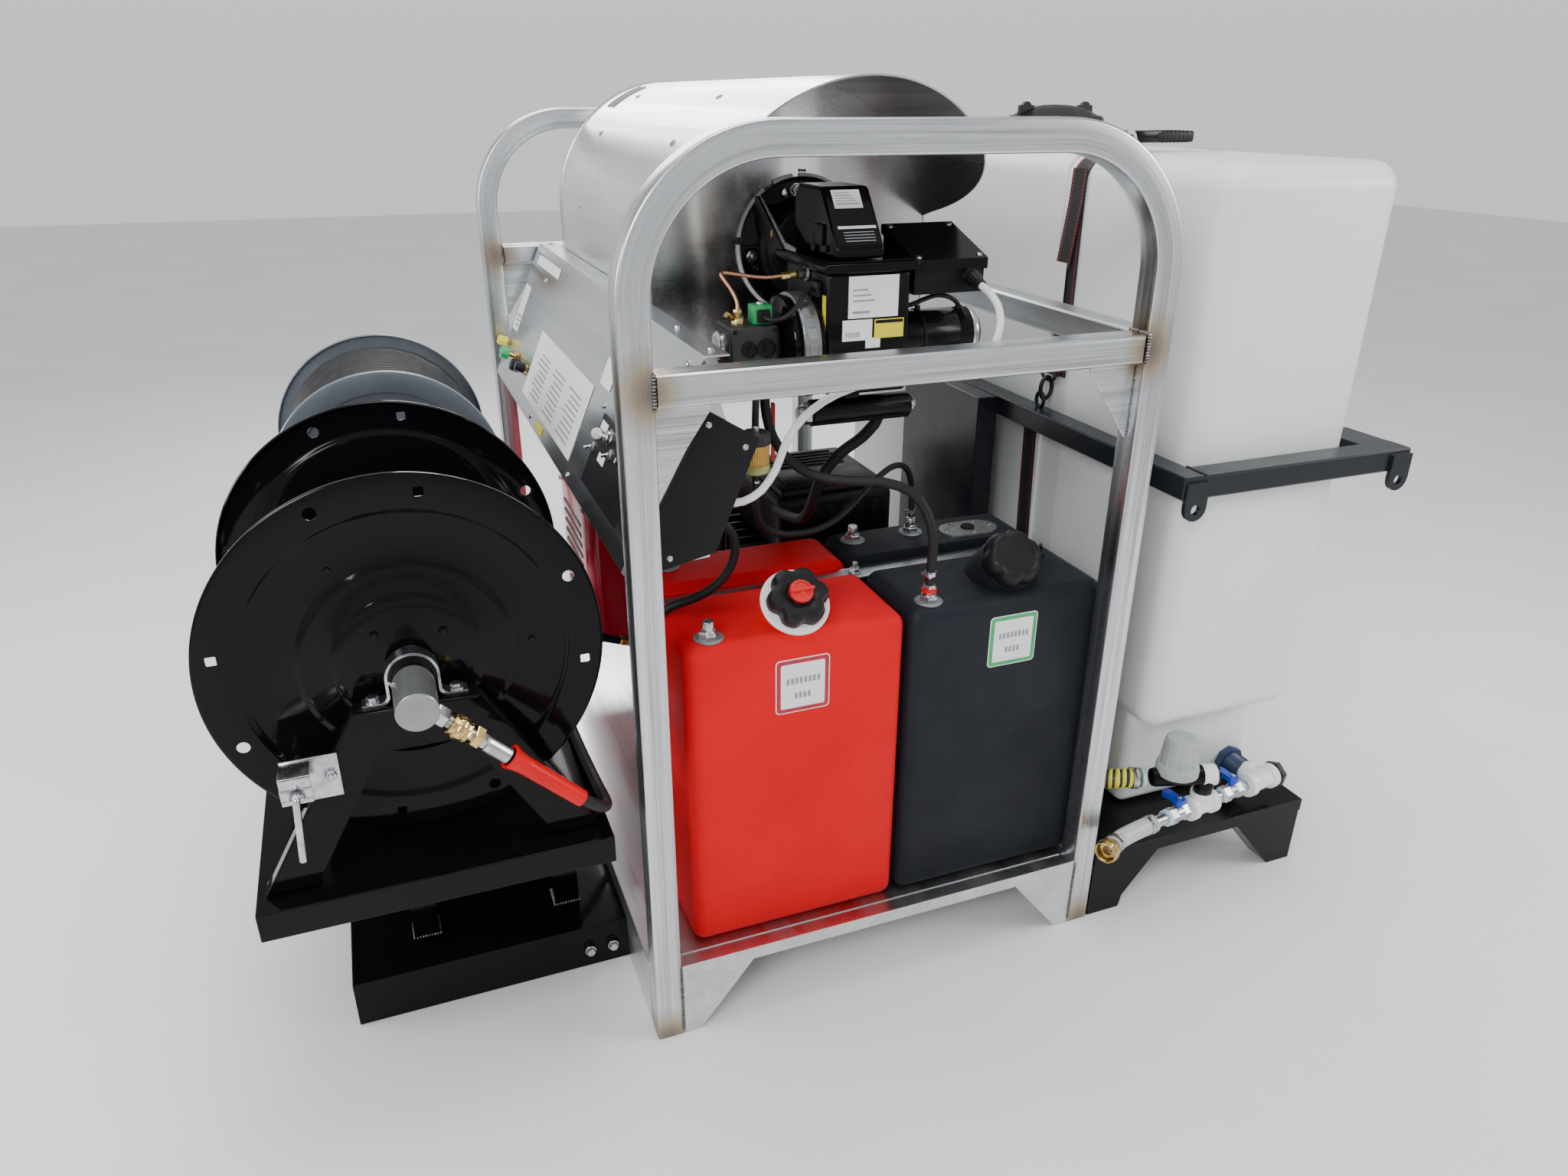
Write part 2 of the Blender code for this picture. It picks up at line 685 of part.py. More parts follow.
def make_junction_box():
    outline = [(0.222, 1.320), (0.222, 1.380), (0.360, 1.427), (0.360, 1.320)]
    body = prism(outline, "X", (0.578, 0.722))
    gland = [
        rod((0.690, 0.2225, 1.350), (0.690, 0.205, 1.345), 0.013, 12),
        rod((0.690, 0.207, 1.3455), (0.690, 0.190, 1.340), 0.009, 12),
    ]
    arm = box((0.5735, 0.585), (0.30, 0.34), (1.372, 1.382))
    make("junction_box", "satin_black", [body, *gland, arm])


def make_fuel_pump():
    body = box((0.250, 0.336), (0.247, 0.333), (1.205, 1.280), 0.005, 1)
    rest = [
        rod((0.330, FAN_Y, FAN_Z), (0.3445, FAN_Y, FAN_Z), 0.030, 16),
        rod((0.238, FAN_Y, 1.245), (0.252, FAN_Y, 1.245), 0.024, 16),
        rod((0.275, FAN_Y, 1.275), (0.275, FAN_Y, 1.305), 0.009, 6),
        box((0.300, 0.330), (0.262, 0.300), (1.276, 1.310), 0.003, 1),
        rod((0.318, 0.272, 1.190), (0.318, 0.272, 1.210), 0.007, 10),
    ]
    make("fuel_pump", "satin_black", [body, *rest])


def make_burner_motor():
    body = rod((0.5625, FAN_Y, FAN_Z), (0.735, FAN_Y, FAN_Z), 0.046, 24)
    cap = rod((0.733, FAN_Y, FAN_Z), (0.744, FAN_Y, FAN_Z), 0.036, 24)
    make("burner_motor", "satin_black", [body, cap])


def make_outlet_manifold():
    """The black canister under the burner, with a zinc plug at its right end."""
    y, z = 0.250, 1.120
    body = rod((0.395, y, z), (0.590, y, z), 0.024, 20)
    rest = [
        rod((0.585, y, z), (0.604, y, z), 0.016, 6),
        rod((0.372, y, z), (0.398, y, z), 0.020, 6),
        box((0.46, 0.49), (0.242, 0.258), (1.130, 1.1595)),
    ]
    make("outlet_manifold", "satin_black", [body, *rest])


# ---------------------------------------------------------------- console
def panel_point(along, down, lift=0.0):
    """A point on the sloping panel: Y, share of the slope, height off it."""
    top, low = Vector((PANEL_TOP[0], 0, PANEL_TOP[1])), Vector((PANEL_LOW[0], 0, PANEL_LOW[1]))
    spot = top.lerp(low, down) + panel_normal() * lift
    return Vector((spot.x, along, spot.z))


def panel_normal():
    slope = Vector((PANEL_LOW[0] - PANEL_TOP[0], 0, PANEL_LOW[1] - PANEL_TOP[1])).normalized()
    return Vector((slope.z, 0, -slope.x))


def make_control_panel():
    """Bent sheet: top flange, sloping face, lower return, with end cheeks."""
    t = PANEL_T
    (tx, tz), (lx, lz) = PANEL_TOP, PANEL_LOW
    outline = [
        (0.1905, tz), (0.1905, tz + t), (tx - 0.001, tz + t), (lx - t, lz), (lx, lz - 0.006),
        (0.150, lz + 0.006), (0.150, lz + 0.006 + t), (lx + t, lz + t - 0.003), (tx + 0.002, tz),
    ]
    sheet = prism(outline, "Y", PANEL_Y)
    cheek = [(tx, tz + 0.001), (lx - 0.001, lz + 0.001), (0.149, lz + 0.007), (0.187, 1.16)]
    front = prism(cheek, "Y", (PANEL_Y[0], PANEL_Y[0] + 0.003))
    rear = prism(cheek, "Y", (PANEL_Y[1] - 0.003, PANEL_Y[1]))
    make("control_panel", "aluminium", [sheet, front, rear])


def make_console_cover():
    """The black cover plate on the front end of the console."""
    outline = [
        (0.152, 1.192), (0.236, 1.140), (0.158, 0.955), (0.062, 0.935), (0.030, 0.975),
    ]
    make("console_cover", "satin_black", [prism(outline, "Y", (0.068, 0.0745))])


def on_panel(shapes_of, along, down):
    base = panel_point(along, down, PANEL_T + 0.001)
    return shapes_of(base, panel_normal())


def make_panel_controls():
    """Key switch, two rockers, thermostat knob and chemical valve."""
    normal = panel_normal()
    slope = Vector((PANEL_LOW[0] - PANEL_TOP[0], 0, PANEL_LOW[1] - PANEL_TOP[1])).normalized()
    base = panel_point(0.375, 0.600, PANEL_T + 0.0006)
    barrel = rod(base, base + normal * 0.010, 0.012, 16)
    blade = box((-0.0012, 0.0012), (-0.008, 0.008), (0.008, 0.034))
    bmesh.ops.transform(
        blade, matrix=Matrix.Translation(base) @ turn_to(normal), verts=blade.verts
    )
    make("key_switch", "zinc", [barrel, blade], (), base)
    for name, along, down in (("burner_switch", 0.452, 0.715), ("pump_switch", 0.336, 0.665)):
        base = panel_point(along, down, PANEL_T + 0.0022)
        rocker = prism(
            [(-0.012, 0.0), (0.012, 0.0), (0.012, 0.004), (0.0, 0.007), (-0.012, 0.010)],
            "X", (-0.007, 0.007),
        )
        frame = Matrix((
            (0, slope.x, normal.x), (1, slope.y, normal.y), (0, slope.z, normal.z)
        )).to_4x4()
        bmesh.ops.transform(rocker, matrix=Matrix.Translation(base) @ frame, verts=rocker.verts)
        bmesh.ops.recalc_face_normals(rocker, faces=rocker.faces)
        make(name, "satin_black", [rocker], (), base)
    base = panel_point(0.240, 0.600, PANEL_T + 0.0006)
    dial = rod(base, base + normal * 0.020, 0.020, 20, 0.016)
    grip = rod(base + normal * 0.012 + slope * 0.012, base + normal * 0.024 + slope * 0.012, 0.003, 8)
    make("thermostat_knob", "satin_black", [dial, grip], (), base)
    base = panel_point(1.360, 0.765, PANEL_T + 0.0006)
    stem = rod(base, base + normal * 0.034, 0.008, 12)
    knob = rod(base + normal * 0.026, base + normal * 0.046, 0.017, 10)
    make("chemical_valve", "valve_green", [stem, knob], (), base)


# ---------------------------------------------------------------- engine and pump
def make_engine():
    """Crankcase on its feet with the air cleaner box on top."""
    block = box((0.400, 0.780), (0.640, 1.360), (0.200, 0.690), 0.020, 1)
    rest = [
        box((0.470, 0.750), (0.600, 0.900), (0.680, 0.842), 0.020, 1),
        box((0.430, 0.750), (0.700, 0.760), (0.1465, 0.210)),
        box((0.430, 0.750), (1.240, 1.300), (0.1465, 0.210)),
        rod((0.600, 0.578, 0.420), (0.600, 0.650, 0.420), 0.040, 16),
    ]
    make("engine", "engine_black", [block, *rest])


def make_engine_shroud():
    body = box((0.110, 0.399), (1.000, 1.340), (0.330, 0.730), 0.030, 2)
    make("engine_shroud", "engine_red", [body])


INLET_PORT = (Vector((0.335, 0.655, 0.298)), Vector((0.400, 0.611, 0.278)))


def make_pump():
    body = box((0.180, 0.380), (0.640, 0.820), (0.270, 0.460), 0.012, 1)
    rest = [
        box((0.195, 0.365), (0.800, 0.900), (0.285, 0.445), 0.008, 1),
        rod((0.280, 0.595, 0.365), (0.280, 0.650, 0.365), 0.045, 16),
        box((0.200, 0.360), (0.680, 0.780), (0.1465, 0.280)),
        rod(*INLET_PORT, 0.020, 12),
        rod(PUMP_OUTLET - OUTLET_DIR * 0.060, PUMP_OUTLET - OUTLET_DIR * 0.0015, 0.013, 12),
        rod((0.330, 0.860, 0.440), (0.330, 0.860, 0.500), 0.014, 12),
    ]
    make("high_pressure_pump", "cast_grey", [body, *rest])


def pulley(name, x, z, radius, snout):
    y = 0.530
    body = lathe(
        [(0, 0), (radius, 0), (radius, 0.005), (radius - 0.012, 0.013), (radius - 0.012, 0.021),
         (radius, 0.029), (radius, 0.034), (0, 0.034)],
        (x, y, z), (0, 1, 0), 22,
    )
    spin = rod((x, y + 0.03, z), (x, snout, z), 0.012, 12)
    holes = []
    for step in range(3):
        angle = math.radians(120 * step + 30)
        spot = (x + 0.55 * radius * math.cos(angle), z + 0.55 * radius * math.sin(angle))
        holes.append(rod((spot[0], y - 0.01, spot[1]), (spot[0], y + 0.05, spot[1]), 0.16 * radius, 6))
    make(name, "cast_grey", [body, spin], holes, (x, y + 0.017, z))


def make_drive():
    pulley("engine_pulley", 0.600, 0.420, 0.052, 0.5775)
    pulley("pump_pulley", 0.280, 0.365, 0.090, 0.5945)
    belt_path()


def belt_path():
    """The belt as a flat loop that clears both pulleys' grooves."""
    a, b = Vector((0.600, 0, 0.420)), Vector((0.280, 0, 0.365))
    ra, rb = 0.052 - 0.0112, 0.090 - 0.0112
    reach = (b - a).length
    lean = math.atan2(b.z - a.z, b.x - a.x)
    tilt = math.acos((ra - rb) / reach)
    outlines = []
    for extra in (0.010, 0.0):
        points = []
        for step in range(13):
            angle = lean + tilt + (2 * math.pi - 2 * tilt) * step / 12
            points.append((a.x + (ra + extra) * math.cos(angle), a.z + (ra + extra) * math.sin(angle)))
        for step in range(17):
            angle = lean - tilt + 2 * tilt * step / 16
            points.append((b.x + (rb + extra) * math.cos(angle), b.z + (rb + extra) * math.sin(angle)))
        outlines.append(points)
    outer = prism(outlines[0], "Y", (0.544, 0.550))
    inner = prism(outlines[1], "Y", (0.535, 0.560))
    make("drive_belt", "rubber_black", [outer], [inner])


def make_fuel_filter():
    """A see-through bowl hung from a head on the console's front cover."""
    x, y = 0.275, 0.200
    bowl = rod((x, y, 1.035), (x, y, 1.092), 0.021, 20, 0.025)
    head = rod((x, y, 1.088), (x, y, 1.112), 0.028, 20)
    drain = rod((x, y, 1.022), (x, y, 1.038), 0.007, 8)
    arm = box((0.195, 0.262), (0.190, 0.210), (1.095, 1.108))
    make("fuel_filter", "amber", [bowl, head, drain, arm])


# ---------------------------------------------------------------- hose reels
def spool(radius, span, drum, x, z, sides, tail):
    """Two pressed discs on a drum that is open at the rear, with a shaft."""
    a, b = span
    lip = radius - 0.004
    profile = [
        (0, a - tail), (0.017, a - tail), (0.017, a - 0.020), (0.105, a - 0.012),
        (0.122, a), (radius, a), (radius, a + 0.009), (lip, a + 0.009), (lip, a + 0.004),
        (drum, a + 0.004), (drum, b - 0.004), (lip, b - 0.004), (lip, b - 0.009),
        (radius, b - 0.009), (radius, b), (drum - 0.004, b), (drum - 0.004, a + 0.006),
        (0.017, a - 0.008), (0.017, b + tail), (0, b + tail),
    ]
    return lathe(profile, (x, 0, z), (0, 1, 0), sides)


def rim_holes(radius, x, z, y, angles, square):
    cuts = []
    for angle in angles:
        turn = math.radians(angle)
        spot = (x + 0.90 * radius * math.cos(turn), z + 0.90 * radius * math.sin(turn))
        if square:
            cut = box((-0.0075, 0.0075), (-0.0075, 0.0075), (-0.02, 0.02))
            place = Matrix.Translation((spot[0], y, spot[1])) @ turn_to((0, 1, 0))
            bmesh.ops.transform(cut, matrix=place, verts=cut.verts)
        else:
            cut = rod((spot[0], y - 0.02, spot[1]), (spot[0], y + 0.02, spot[1]), 0.0105, 6)
        cuts.append(cut)
    return cuts


def make_black_reel():
    cuts = []
    for y in (REEL_Y[0] + 0.002, REEL_Y[1] - 0.002):
        cuts += rim_holes(REEL_R, REEL_X, REEL_Z, y, (22, 112, 202, 292), False)
        cuts += rim_holes(REEL_R, REEL_X, REEL_Z, y, (80, 170, 260, 350), True)
    shape = spool(REEL_R, REEL_Y, 0.120, REEL_X, REEL_Z, 28, 0.085)
    middle = (REEL_X, sum(REEL_Y) / 2, REEL_Z)
    make("hose_reel_black", "gloss_black", [shape], cuts, middle)


def make_grey_reel():
    shape = spool(GREY_R, GREY_Y, 0.110, GREY_X, GREY_Z, 24, 0.045)
    middle = (GREY_X, sum(GREY_Y) / 2, GREY_Z)
    reel = make("hose_reel_grey", "grey_hammer", [shape], (), middle)
    hose = lathe(
        [(0.1105, 0.0), (0.206, 0.0), (0.206, 0.372), (0.1105, 0.372)],
        (GREY_X, GREY_Y[0] + 0.0105, GREY_Z), (0, 1, 0), 24,
    )
    make("wound_hose", "rubber_black", [hose], (), middle, reel)


def stand(x, z_axis, half_top, half_foot, y, foot_z):
    """An A-shaped plate stand with a bearing pad on top and a foot flange."""
    top = z_axis - 0.042
    low = foot_z + 0.002
    outline = [
        (x - half_foot, low), (x - half_top, top), (x + half_top, top), (x + half_foot, low),
        (x + half_foot - 0.075, low), (x + half_top - 0.030, top - 0.075),
        (x - half_top + 0.030, top - 0.075), (x - half_foot + 0.075, low),
    ]
    plate = prism(outline, "Y", (y, y + 0.006))
    across = (x - half_top - 0.001, x + half_top + 0.001)
    pad = box(across, (y - 0.012, y + 0.030), (top - 0.006, top + 0.001))
    feet = []
    for near in (x - half_foot - 0.001, x + half_foot - 0.076):
        feet.append(box((near, near + 0.077), (y - 0.001, y + 0.036), (foot_z, foot_z + 0.006)))
    return [plate, pad, *feet]


def bearing(x, z, y):
    """A strap bearing: block on the pad with two bolt heads."""
    base = z - 0.044
    shapes = [
        box((x - 0.080, x + 0.080), (y - 0.012, y + 0.012), (base, base + 0.008)),
        rod((x, y - 0.012, z), (x, y + 0.012, z), 0.034, 24),
        box((x - 0.034, x + 0.034), (y - 0.012, y + 0.012), (base, z)),
        rod((x - 0.060, y, base + 0.006), (x - 0.060, y, base + 0.018), 0.010, 6),
        rod((x + 0.060, y, base + 0.006), (x + 0.060, y, base + 0.018), 0.010, 6),
    ]
    bore = rod((x, y - 0.03, z), (x, y + 0.03, z), 0.0178, 20)
    return shapes, bore


def lock_bracket(x, z):
    """The bent clip on the front stand that guides the lock pin."""
    shapes = [
        box((x - 0.022, x + 0.062), (0.0275, 0.0325), (z - 0.045, z + 0.030)),
        box((x - 0.022, x + 0.022), (-0.012, 0.030), (z + 0.025, z + 0.029)),
        box((x - 0.022, x + 0.022), (-0.012, -0.008), (z - 0.020, z + 0.028)),
        box((x + 0.036, x + 0.060), (0.031, 0.042), (z - 0.020, z + 0.005)),
    ]
    return shapes, rod((x, -0.03, z), (x, 0.06, z), 0.0072, 14)


def make_reel_stands():
    """Both stands, with the strap bearings and the lock pin's clip on them."""
    foot = TRAY_Z + GAP
    for name, y, at in (("front_reel_stand", 0.040, 0.054), ("rear_reel_stand", 0.586, 0.600)):
        shapes = stand(REEL_X, REEL_Z, 0.092, 0.264, y, foot)
        block, bore = bearing(REEL_X, REEL_Z, at)
        cuts = [bore]
        if name == "front_reel_stand":
            clip, hole = lock_bracket(*LOCK_AT)
            shapes += clip
            cuts.append(hole)
        make(name, "gloss_black", [*shapes, *block], cuts)


def make_grey_stand():
    """One stand for the supply reel: two uprights on a base plate."""
    foot = TRAY_Z + GAP
    base = box((GREY_X - 0.16, GREY_X + 0.16), (0.660, 1.176), (foot, foot + 0.006))
    rest, cuts = [], []
    for y in (0.706, 1.160):
        outline = [
            (GREY_X - 0.13, foot + 0.001), (GREY_X - 0.035, GREY_Z + 0.02),
            (GREY_X + 0.035, GREY_Z + 0.02), (GREY_X + 0.13, foot + 0.001),
        ]
        rest.append(prism(outline, "Y", (y, y + 0.006)))
        rest.append(rod((GREY_X, y - 0.008, GREY_Z), (GREY_X, y + 0.012, GREY_Z), 0.030, 18))
        cuts.append(rod((GREY_X, y - 0.03, GREY_Z), (GREY_X, y + 0.03, GREY_Z), 0.0178, 18))
    make("grey_reel_stand", "grey_hammer", [base, *rest], cuts)


def make_reel_rack():
    """Tray on risers on a channel that bolts against the skid's left side."""
    x0, x1 = TRAY_X
    y0, y1 = TRAY_Y
    deck = box((x0, x1), (y0, y1), (TRAY_Z - 0.005, TRAY_Z))
    rest = [
        box((x0, x1), (y0, y0 + 0.005), (TRAY_Z - 0.052, TRAY_Z - 0.001)),
        box((x0, x1), (y1 - 0.005, y1), (TRAY_Z - 0.052, TRAY_Z - 0.001)),
        box((x0, x0 + 0.005), (y0, y1), (TRAY_Z - 0.052, TRAY_Z - 0.001)),
        box((-0.530, -GAP), (0.240, 0.900), (0.095, 0.100)),
        box((-0.530, -GAP), (0.240, 0.246), (0.0, 0.098)),
        box((-0.530, -GAP), (0.894, 0.900), (0.0, 0.098)),
    ]
    for x in (-0.410, -0.130):
        for y in (0.330, 0.800):
            rest.append(box((x, x + 0.050), (y, y + 0.050), (0.097, TRAY_Z - 0.002)))
    for x in (-0.080, -0.033):
        rest.append(rod((x, 0.242, 0.046), (x, 0.232, 0.046), 0.014, 6))
    make("reel_rack", "gloss_black", [deck, *rest])


def make_swivel():
    """Grey rotary joint on the shaft end, with its outlet nipple."""
    hub = rod((REEL_X, SWIVEL_FRONT, REEL_Z), (REEL_X, 0.034, REEL_Z), 0.031, 24)
    shaft_bore = rod((REEL_X, 0.0, REEL_Z), (REEL_X, 0.06, REEL_Z), 0.0178, 20)
    out = Vector((REEL_X, -0.038, REEL_Z))
    nipple = rod(out + HOSE_DIR * 0.020, out + HOSE_DIR * 0.052, 0.0155, 6)
    stem = rod(out + HOSE_DIR * 0.050, out + HOSE_DIR * 0.128, 0.010, 14)
    end = rod(out + HOSE_DIR * 0.110, out + HOSE_DIR * 0.170, 0.0145, 12)
    make("reel_swivel", "zinc", [hub, nipple, stem, end], [shaft_bore])
    sleeve_at = out + HOSE_DIR * 0.060
    sleeve = lathe(
        [(0.0105, 0.0), (0.017, 0.0), (0.020, 0.006), (0.017, 0.016), (0.020, 0.026),
         (0.018, 0.038), (0.0105, 0.038)],
        sleeve_at, HOSE_DIR, 20,
    )
    make("coupler_sleeve", "brass", [sleeve], (), sleeve_at)


def make_supply_hose():
    """The hose that feeds the reel: down to the tray, back along it, to the pump."""
    out = Vector((REEL_X, -0.038, REEL_Z))
    start, turn = out + HOSE_DIR * 0.1705, out + HOSE_DIR * 0.3123
    side, rest = -0.060, TRAY_Z + SUPPLY_R + GAP
    settle = Vector((0, 0.98, -0.20))
    landing = (side, 0.0385, 0.5414)
    route = join_routes(
        [start, start.lerp(turn, 0.34), start.lerp(turn, 0.67)],
        bend(turn, HOSE_DIR * 0.0448, landing, settle * 0.0448, 7),
        bend(landing, settle * 0.135, (side, 0.440, rest), (0, 0.135, 0), 9),
        [(side, 0.500, rest), (side, 0.560, rest)],
        bend((side, 0.620, rest), (0, 0.055, 0), (0.0, 0.765, rest), (0.038, 0.038, 0), 6),
        bend((0.0, 0.765, rest), (0.042, 0.042, 0), PUMP_OUTLET, OUTLET_DIR * -0.075, 8),
    )
    cord("supply_hose", "rubber_black", route, SUPPLY_R)


def make_lock_pin():
    """Spring pin with a bent handle that stops the reel."""
    x, z = LOCK_AT
    pin = rod((x, -0.030, z), (x, 0.092, z), 0.0062, 12)
    handle = rod((x, -0.025, z + 0.004), (x - 0.008, -0.025, z - 0.110), 0.0055, 10)
    collar = rod((x, 0.017, z), (x, 0.024, z), 0.011, 12)
    make("lock_pin", "zinc", [pin, handle, collar], (), (x, -0.025, z))


# ---------------------------------------------------------------- water tank
def make_water_tank():
    body = box(POLY_X, POLY_Y, POLY_Z, 0.050, 3)
    sump = box(SUMP_X, SUMP_Y, (SHELF_Z + GAP + 0.001, 0.440), 0.022, 1)
    neck = rod((*LID_AT, POLY_Z[1] - 0.01), (*LID_AT, POLY_Z[1] + 0.020), 0.104, 32)
    grooves = [
        box((POLY_X[0] - 0.02, POLY_X[1] + 0.02), (0.462, 0.547), (POLY_Z[1] - 0.006, POLY_Z[1] + 0.02)),
        box((POLY_X[0] - 0.02, POLY_X[0] + 0.006), (0.462, 0.547), (0.36, 1.60)),
        box((POLY_X[1] - 0.006, POLY_X[1] + 0.02), (0.462, 0.547), (0.36, 1.60)),
    ]
    for side in (1, -1):
        x = POLY_X[0] + 0.006 if side > 0 else POLY_X[1] - 0.006
        z = POLY_Z[1] - 0.006
        middle = (x + side * 0.050, z - 0.050)
        turn = (180, 90) if side > 0 else (0, 90)
        outline = [
            *arc(middle, 0.050, *turn, 6), (middle[0], z + 0.03), (x - side * 0.03, z + 0.03),
            (x - side * 0.03, middle[1]),
        ]
        grooves.append(prism(outline, "Y", (0.462, 0.547)))
    make("water_tank", "poly_white", [body, sump, neck], grooves)


def make_tank_lid():
    z = POLY_Z[1] + 0.020 + GAP
    dome = lathe(
        [(0, 0), (0.112, 0), (0.114, 0.004), (0.114, 0.026), (0.104, 0.032), (0.060, 0.050),
         (0, 0.056)],
        (*LID_AT, z), (0, 0, 1), 28,
    )
    ears = []
    for side in (-1, 1):
        x, y = LID_AT[0] + side * 0.082, LID_AT[1]
        ears.append(
            box((x - 0.020, x + 0.020), (y - 0.006, y + 0.006), (z + 0.02, z + 0.064), 0.003, 1)
        )
    holes = [
        rod((LID_AT[0] + side * 0.088, LID_AT[1] - 0.02, z + 0.052),
            (LID_AT[0] + side * 0.088, LID_AT[1] + 0.02, z + 0.052), 0.006, 8)
        for side in (-1, 1)
    ]
    make("tank_lid", "cap_black", [dome, *ears], holes, (*LID_AT, z))


def make_belt_frame():
    """Rectangular tube round the tank's left and front, with ears and a post."""
    x0, x1 = BELT_X
    run = box((x0, x0 + 0.050), (-0.012, 0.980), BELT_Z, 0.003, 1)
    rest = [
        box((x0, x1), (-0.015, 0.042), BELT_Z, 0.003, 1),
        box((x1 - 0.075, x1), (0.030, 0.150), (BELT_Z[0] + 0.004, BELT_Z[1] - 0.002)),
        box((0.982, x0 + 0.005), (0.640, 1.010), (SHELF_Z + GAP + 0.001, BELT_Z[1] - 0.004), 0.002, 1),
    ]
    cuts = []
    for x in (x0 + 0.002, x1 - 0.052):
        outline = [
            (x, BELT_Z[1] - 0.01), (x, 0.945), *arc((x + 0.025, 0.945), 0.025, 180, 360, 8),
            (x + 0.050, BELT_Z[1] - 0.01),
        ]
        rest.append(prism(outline, "Y", (-0.022, -0.013)))
        cuts.append(rod((x + 0.025, -0.05, 0.943), (x + 0.025, -0.005, 0.943), 0.010, 14))
    make("belt_frame", "satin_black", [run, *rest], cuts)


def make_tank_bracket():
    """Shelf that carries the tank, on triangular legs against the skid."""
    x0, x1 = SHELF_X
    top = SHELF_Z
    shelf = box((x0, x1), (0.0, 1.560), (top - 0.006, top))
    rest = [box((x0, x1), (0.0, 0.005), (top - 0.030, top - 0.001))]
    for y in (0.002, 1.490):
        near = [(x0, top - 0.002), (x0, 0.0), (1.050, 0.0), (1.056, 0.030), (1.160, top - 0.002)]
        far = [(1.330, top - 0.002), (1.470, 0.0), (1.534, 0.0), (1.534, top - 0.002)]
        rest.append(prism(near, "Y", (y, y + 0.050)))
        rest.append(prism(far, "Y", (y, y + 0.060)))
    make("tank_bracket", "satin_black", [shelf, *rest])


def ratchet_body(x, y, z):
    """The base and cheeks that the ratchet's axle turns in."""
    low = POLY_Z[1] - 0.004
    shapes = [box((x - 0.055, x + 0.045), (y - 0.030, y + 0.030), (low, low + 0.009))]
    for side in ((y - 0.030, y - 0.026), (y + 0.026, y + 0.030)):
        shapes.append(box((x - 0.045, x + 0.030), side, (low + 0.002, z + 0.014)))
    return shapes, rod((x, y - 0.05, z), (x, y + 0.05, z), 0.0072, 14)


def make_tie_down():
    """Ratchet strap over the tank, and the lever that tightens it."""
    left, right, top = POLY_X[0] + 0.006, POLY_X[1] - 0.006, POLY_Z[1] - 0.006
    bend, rise = 0.050, 0.0022
    out = [
        (left - rise, 1.020), *arc((left + bend, top - bend), bend + rise, 180, 90, 6),
        *arc((right - bend, top - bend), bend + rise, 90, 0, 6), (right + rise, 0.60),
    ]
    path = [(x, (WEB_Y[0] + WEB_Y[1]) / 2, z) for x, z in out]
    half = (WEB_Y[1] - WEB_Y[0]) / 2
    section = [(-half, -0.0010), (half, -0.0010), (half, 0.0010), (-half, 0.0010)]
    band = sweep(path, section, Vector((0, 1, 0)))
    x, y, z = 1.190, 0.5045, POLY_Z[1] + 0.028
    body, bore = ratchet_body(x, y, z)
    make("tie_down_strap", "web_black", [band, *body], [bore])
    axle = rod((x, y - 0.034, z), (x, y + 0.034, z), 0.0065, 14)
    arms = [
        box((x - 0.012, x + 0.075), (y - 0.025, y - 0.020), (z - 0.011, z + 0.013)),
        box((x - 0.012, x + 0.075), (y + 0.020, y + 0.025), (z - 0.011, z + 0.013)),
        box((x + 0.068, x + 0.165), (y - 0.026, y + 0.026), (z - 0.010, z + 0.012), 0.004, 1),
    ]
    make("ratchet_handle", "satin_black", [axle, *arms], (), (x, y, z))


def tube_line():
    """Where the suction tube above the run starts, and the way it goes."""
    start = PLUMB_AT + PLUMB_DIR * TEE_REACH + Vector((0, 0, 0.077))
    return start, Vector((-0.958, 0.287, 0.0))


def make_plumbing():
    """Bulkhead, tees, plug and suction valve in front of the tank's foot."""
    at, run = PLUMB_AT, PLUMB_DIR
    wall = Vector((at.x - 0.004, SUMP_Y[0] - GAP, at.z))
    tee = at + run * TEE_REACH
    tube, back = tube_line()
    up = Vector((0, 0, 1))
    rest = [
        rod(wall, wall - Vector((0, 0.016, 0)), 0.033, 8),
        rod(wall - Vector((0, 0.010, 0)), (at.x, at.y, at.z), 0.023, 16),
        rod(at - run * 0.046, at + run * 0.036, 0.0265, 16),
        rod(at - run * 0.062, at - run * 0.040, 0.029, 8),
        rod(at + run * 0.066, at + run * 0.122, 0.0185, 6),
        rod(tee - run * 0.036, tee + run * 0.036, 0.0265, 16),
        rod(tee, tee + up * 0.060, 0.021, 14),
        rod(at + run * 0.234, at + run * 0.290, 0.0185, 6),
        rod(at + run * 0.280, at + run * 0.330, 0.0135, 12),
        rod(tube - back * 0.026, tube + back * 0.146, 0.0210, 16),
        rod(tube - up * 0.030, tube + up * 0.002, 0.0225, 14),
        rod(tube + back * 0.066 + up * 0.010, tube + back * 0.066 + up * 0.040, 0.045, 16),
        rod(tube + back * 0.066 + up * 0.036, tube + back * 0.066 + up * 0.098, 0.038, 12, 0.029),
    ]
    line = rod(at - run * 0.020, at + run * 0.285, 0.0150, 14)
    make("tank_plumbing", "pvc_white", [line, *rest])
    for name, reach in (("tank_valve_handle", 0.094), ("inlet_valve_handle", 0.262)):
        base = at + run * reach + Vector((0, 0, 0.0192))
        hub = rod(base, base + up * 0.012, 0.0065, 12)
        blade = box((-0.011, 0.040), (-0.007, 0.007), (0.010, 0.020), 0.003, 1)
        turned = Matrix.Translation(base) @ Matrix.Rotation(math.radians(100), 4, "Z")
        bmesh.ops.transform(blade, matrix=turned, verts=blade.verts)
        make(name, "handle_blue", [hub, blade], (), base)


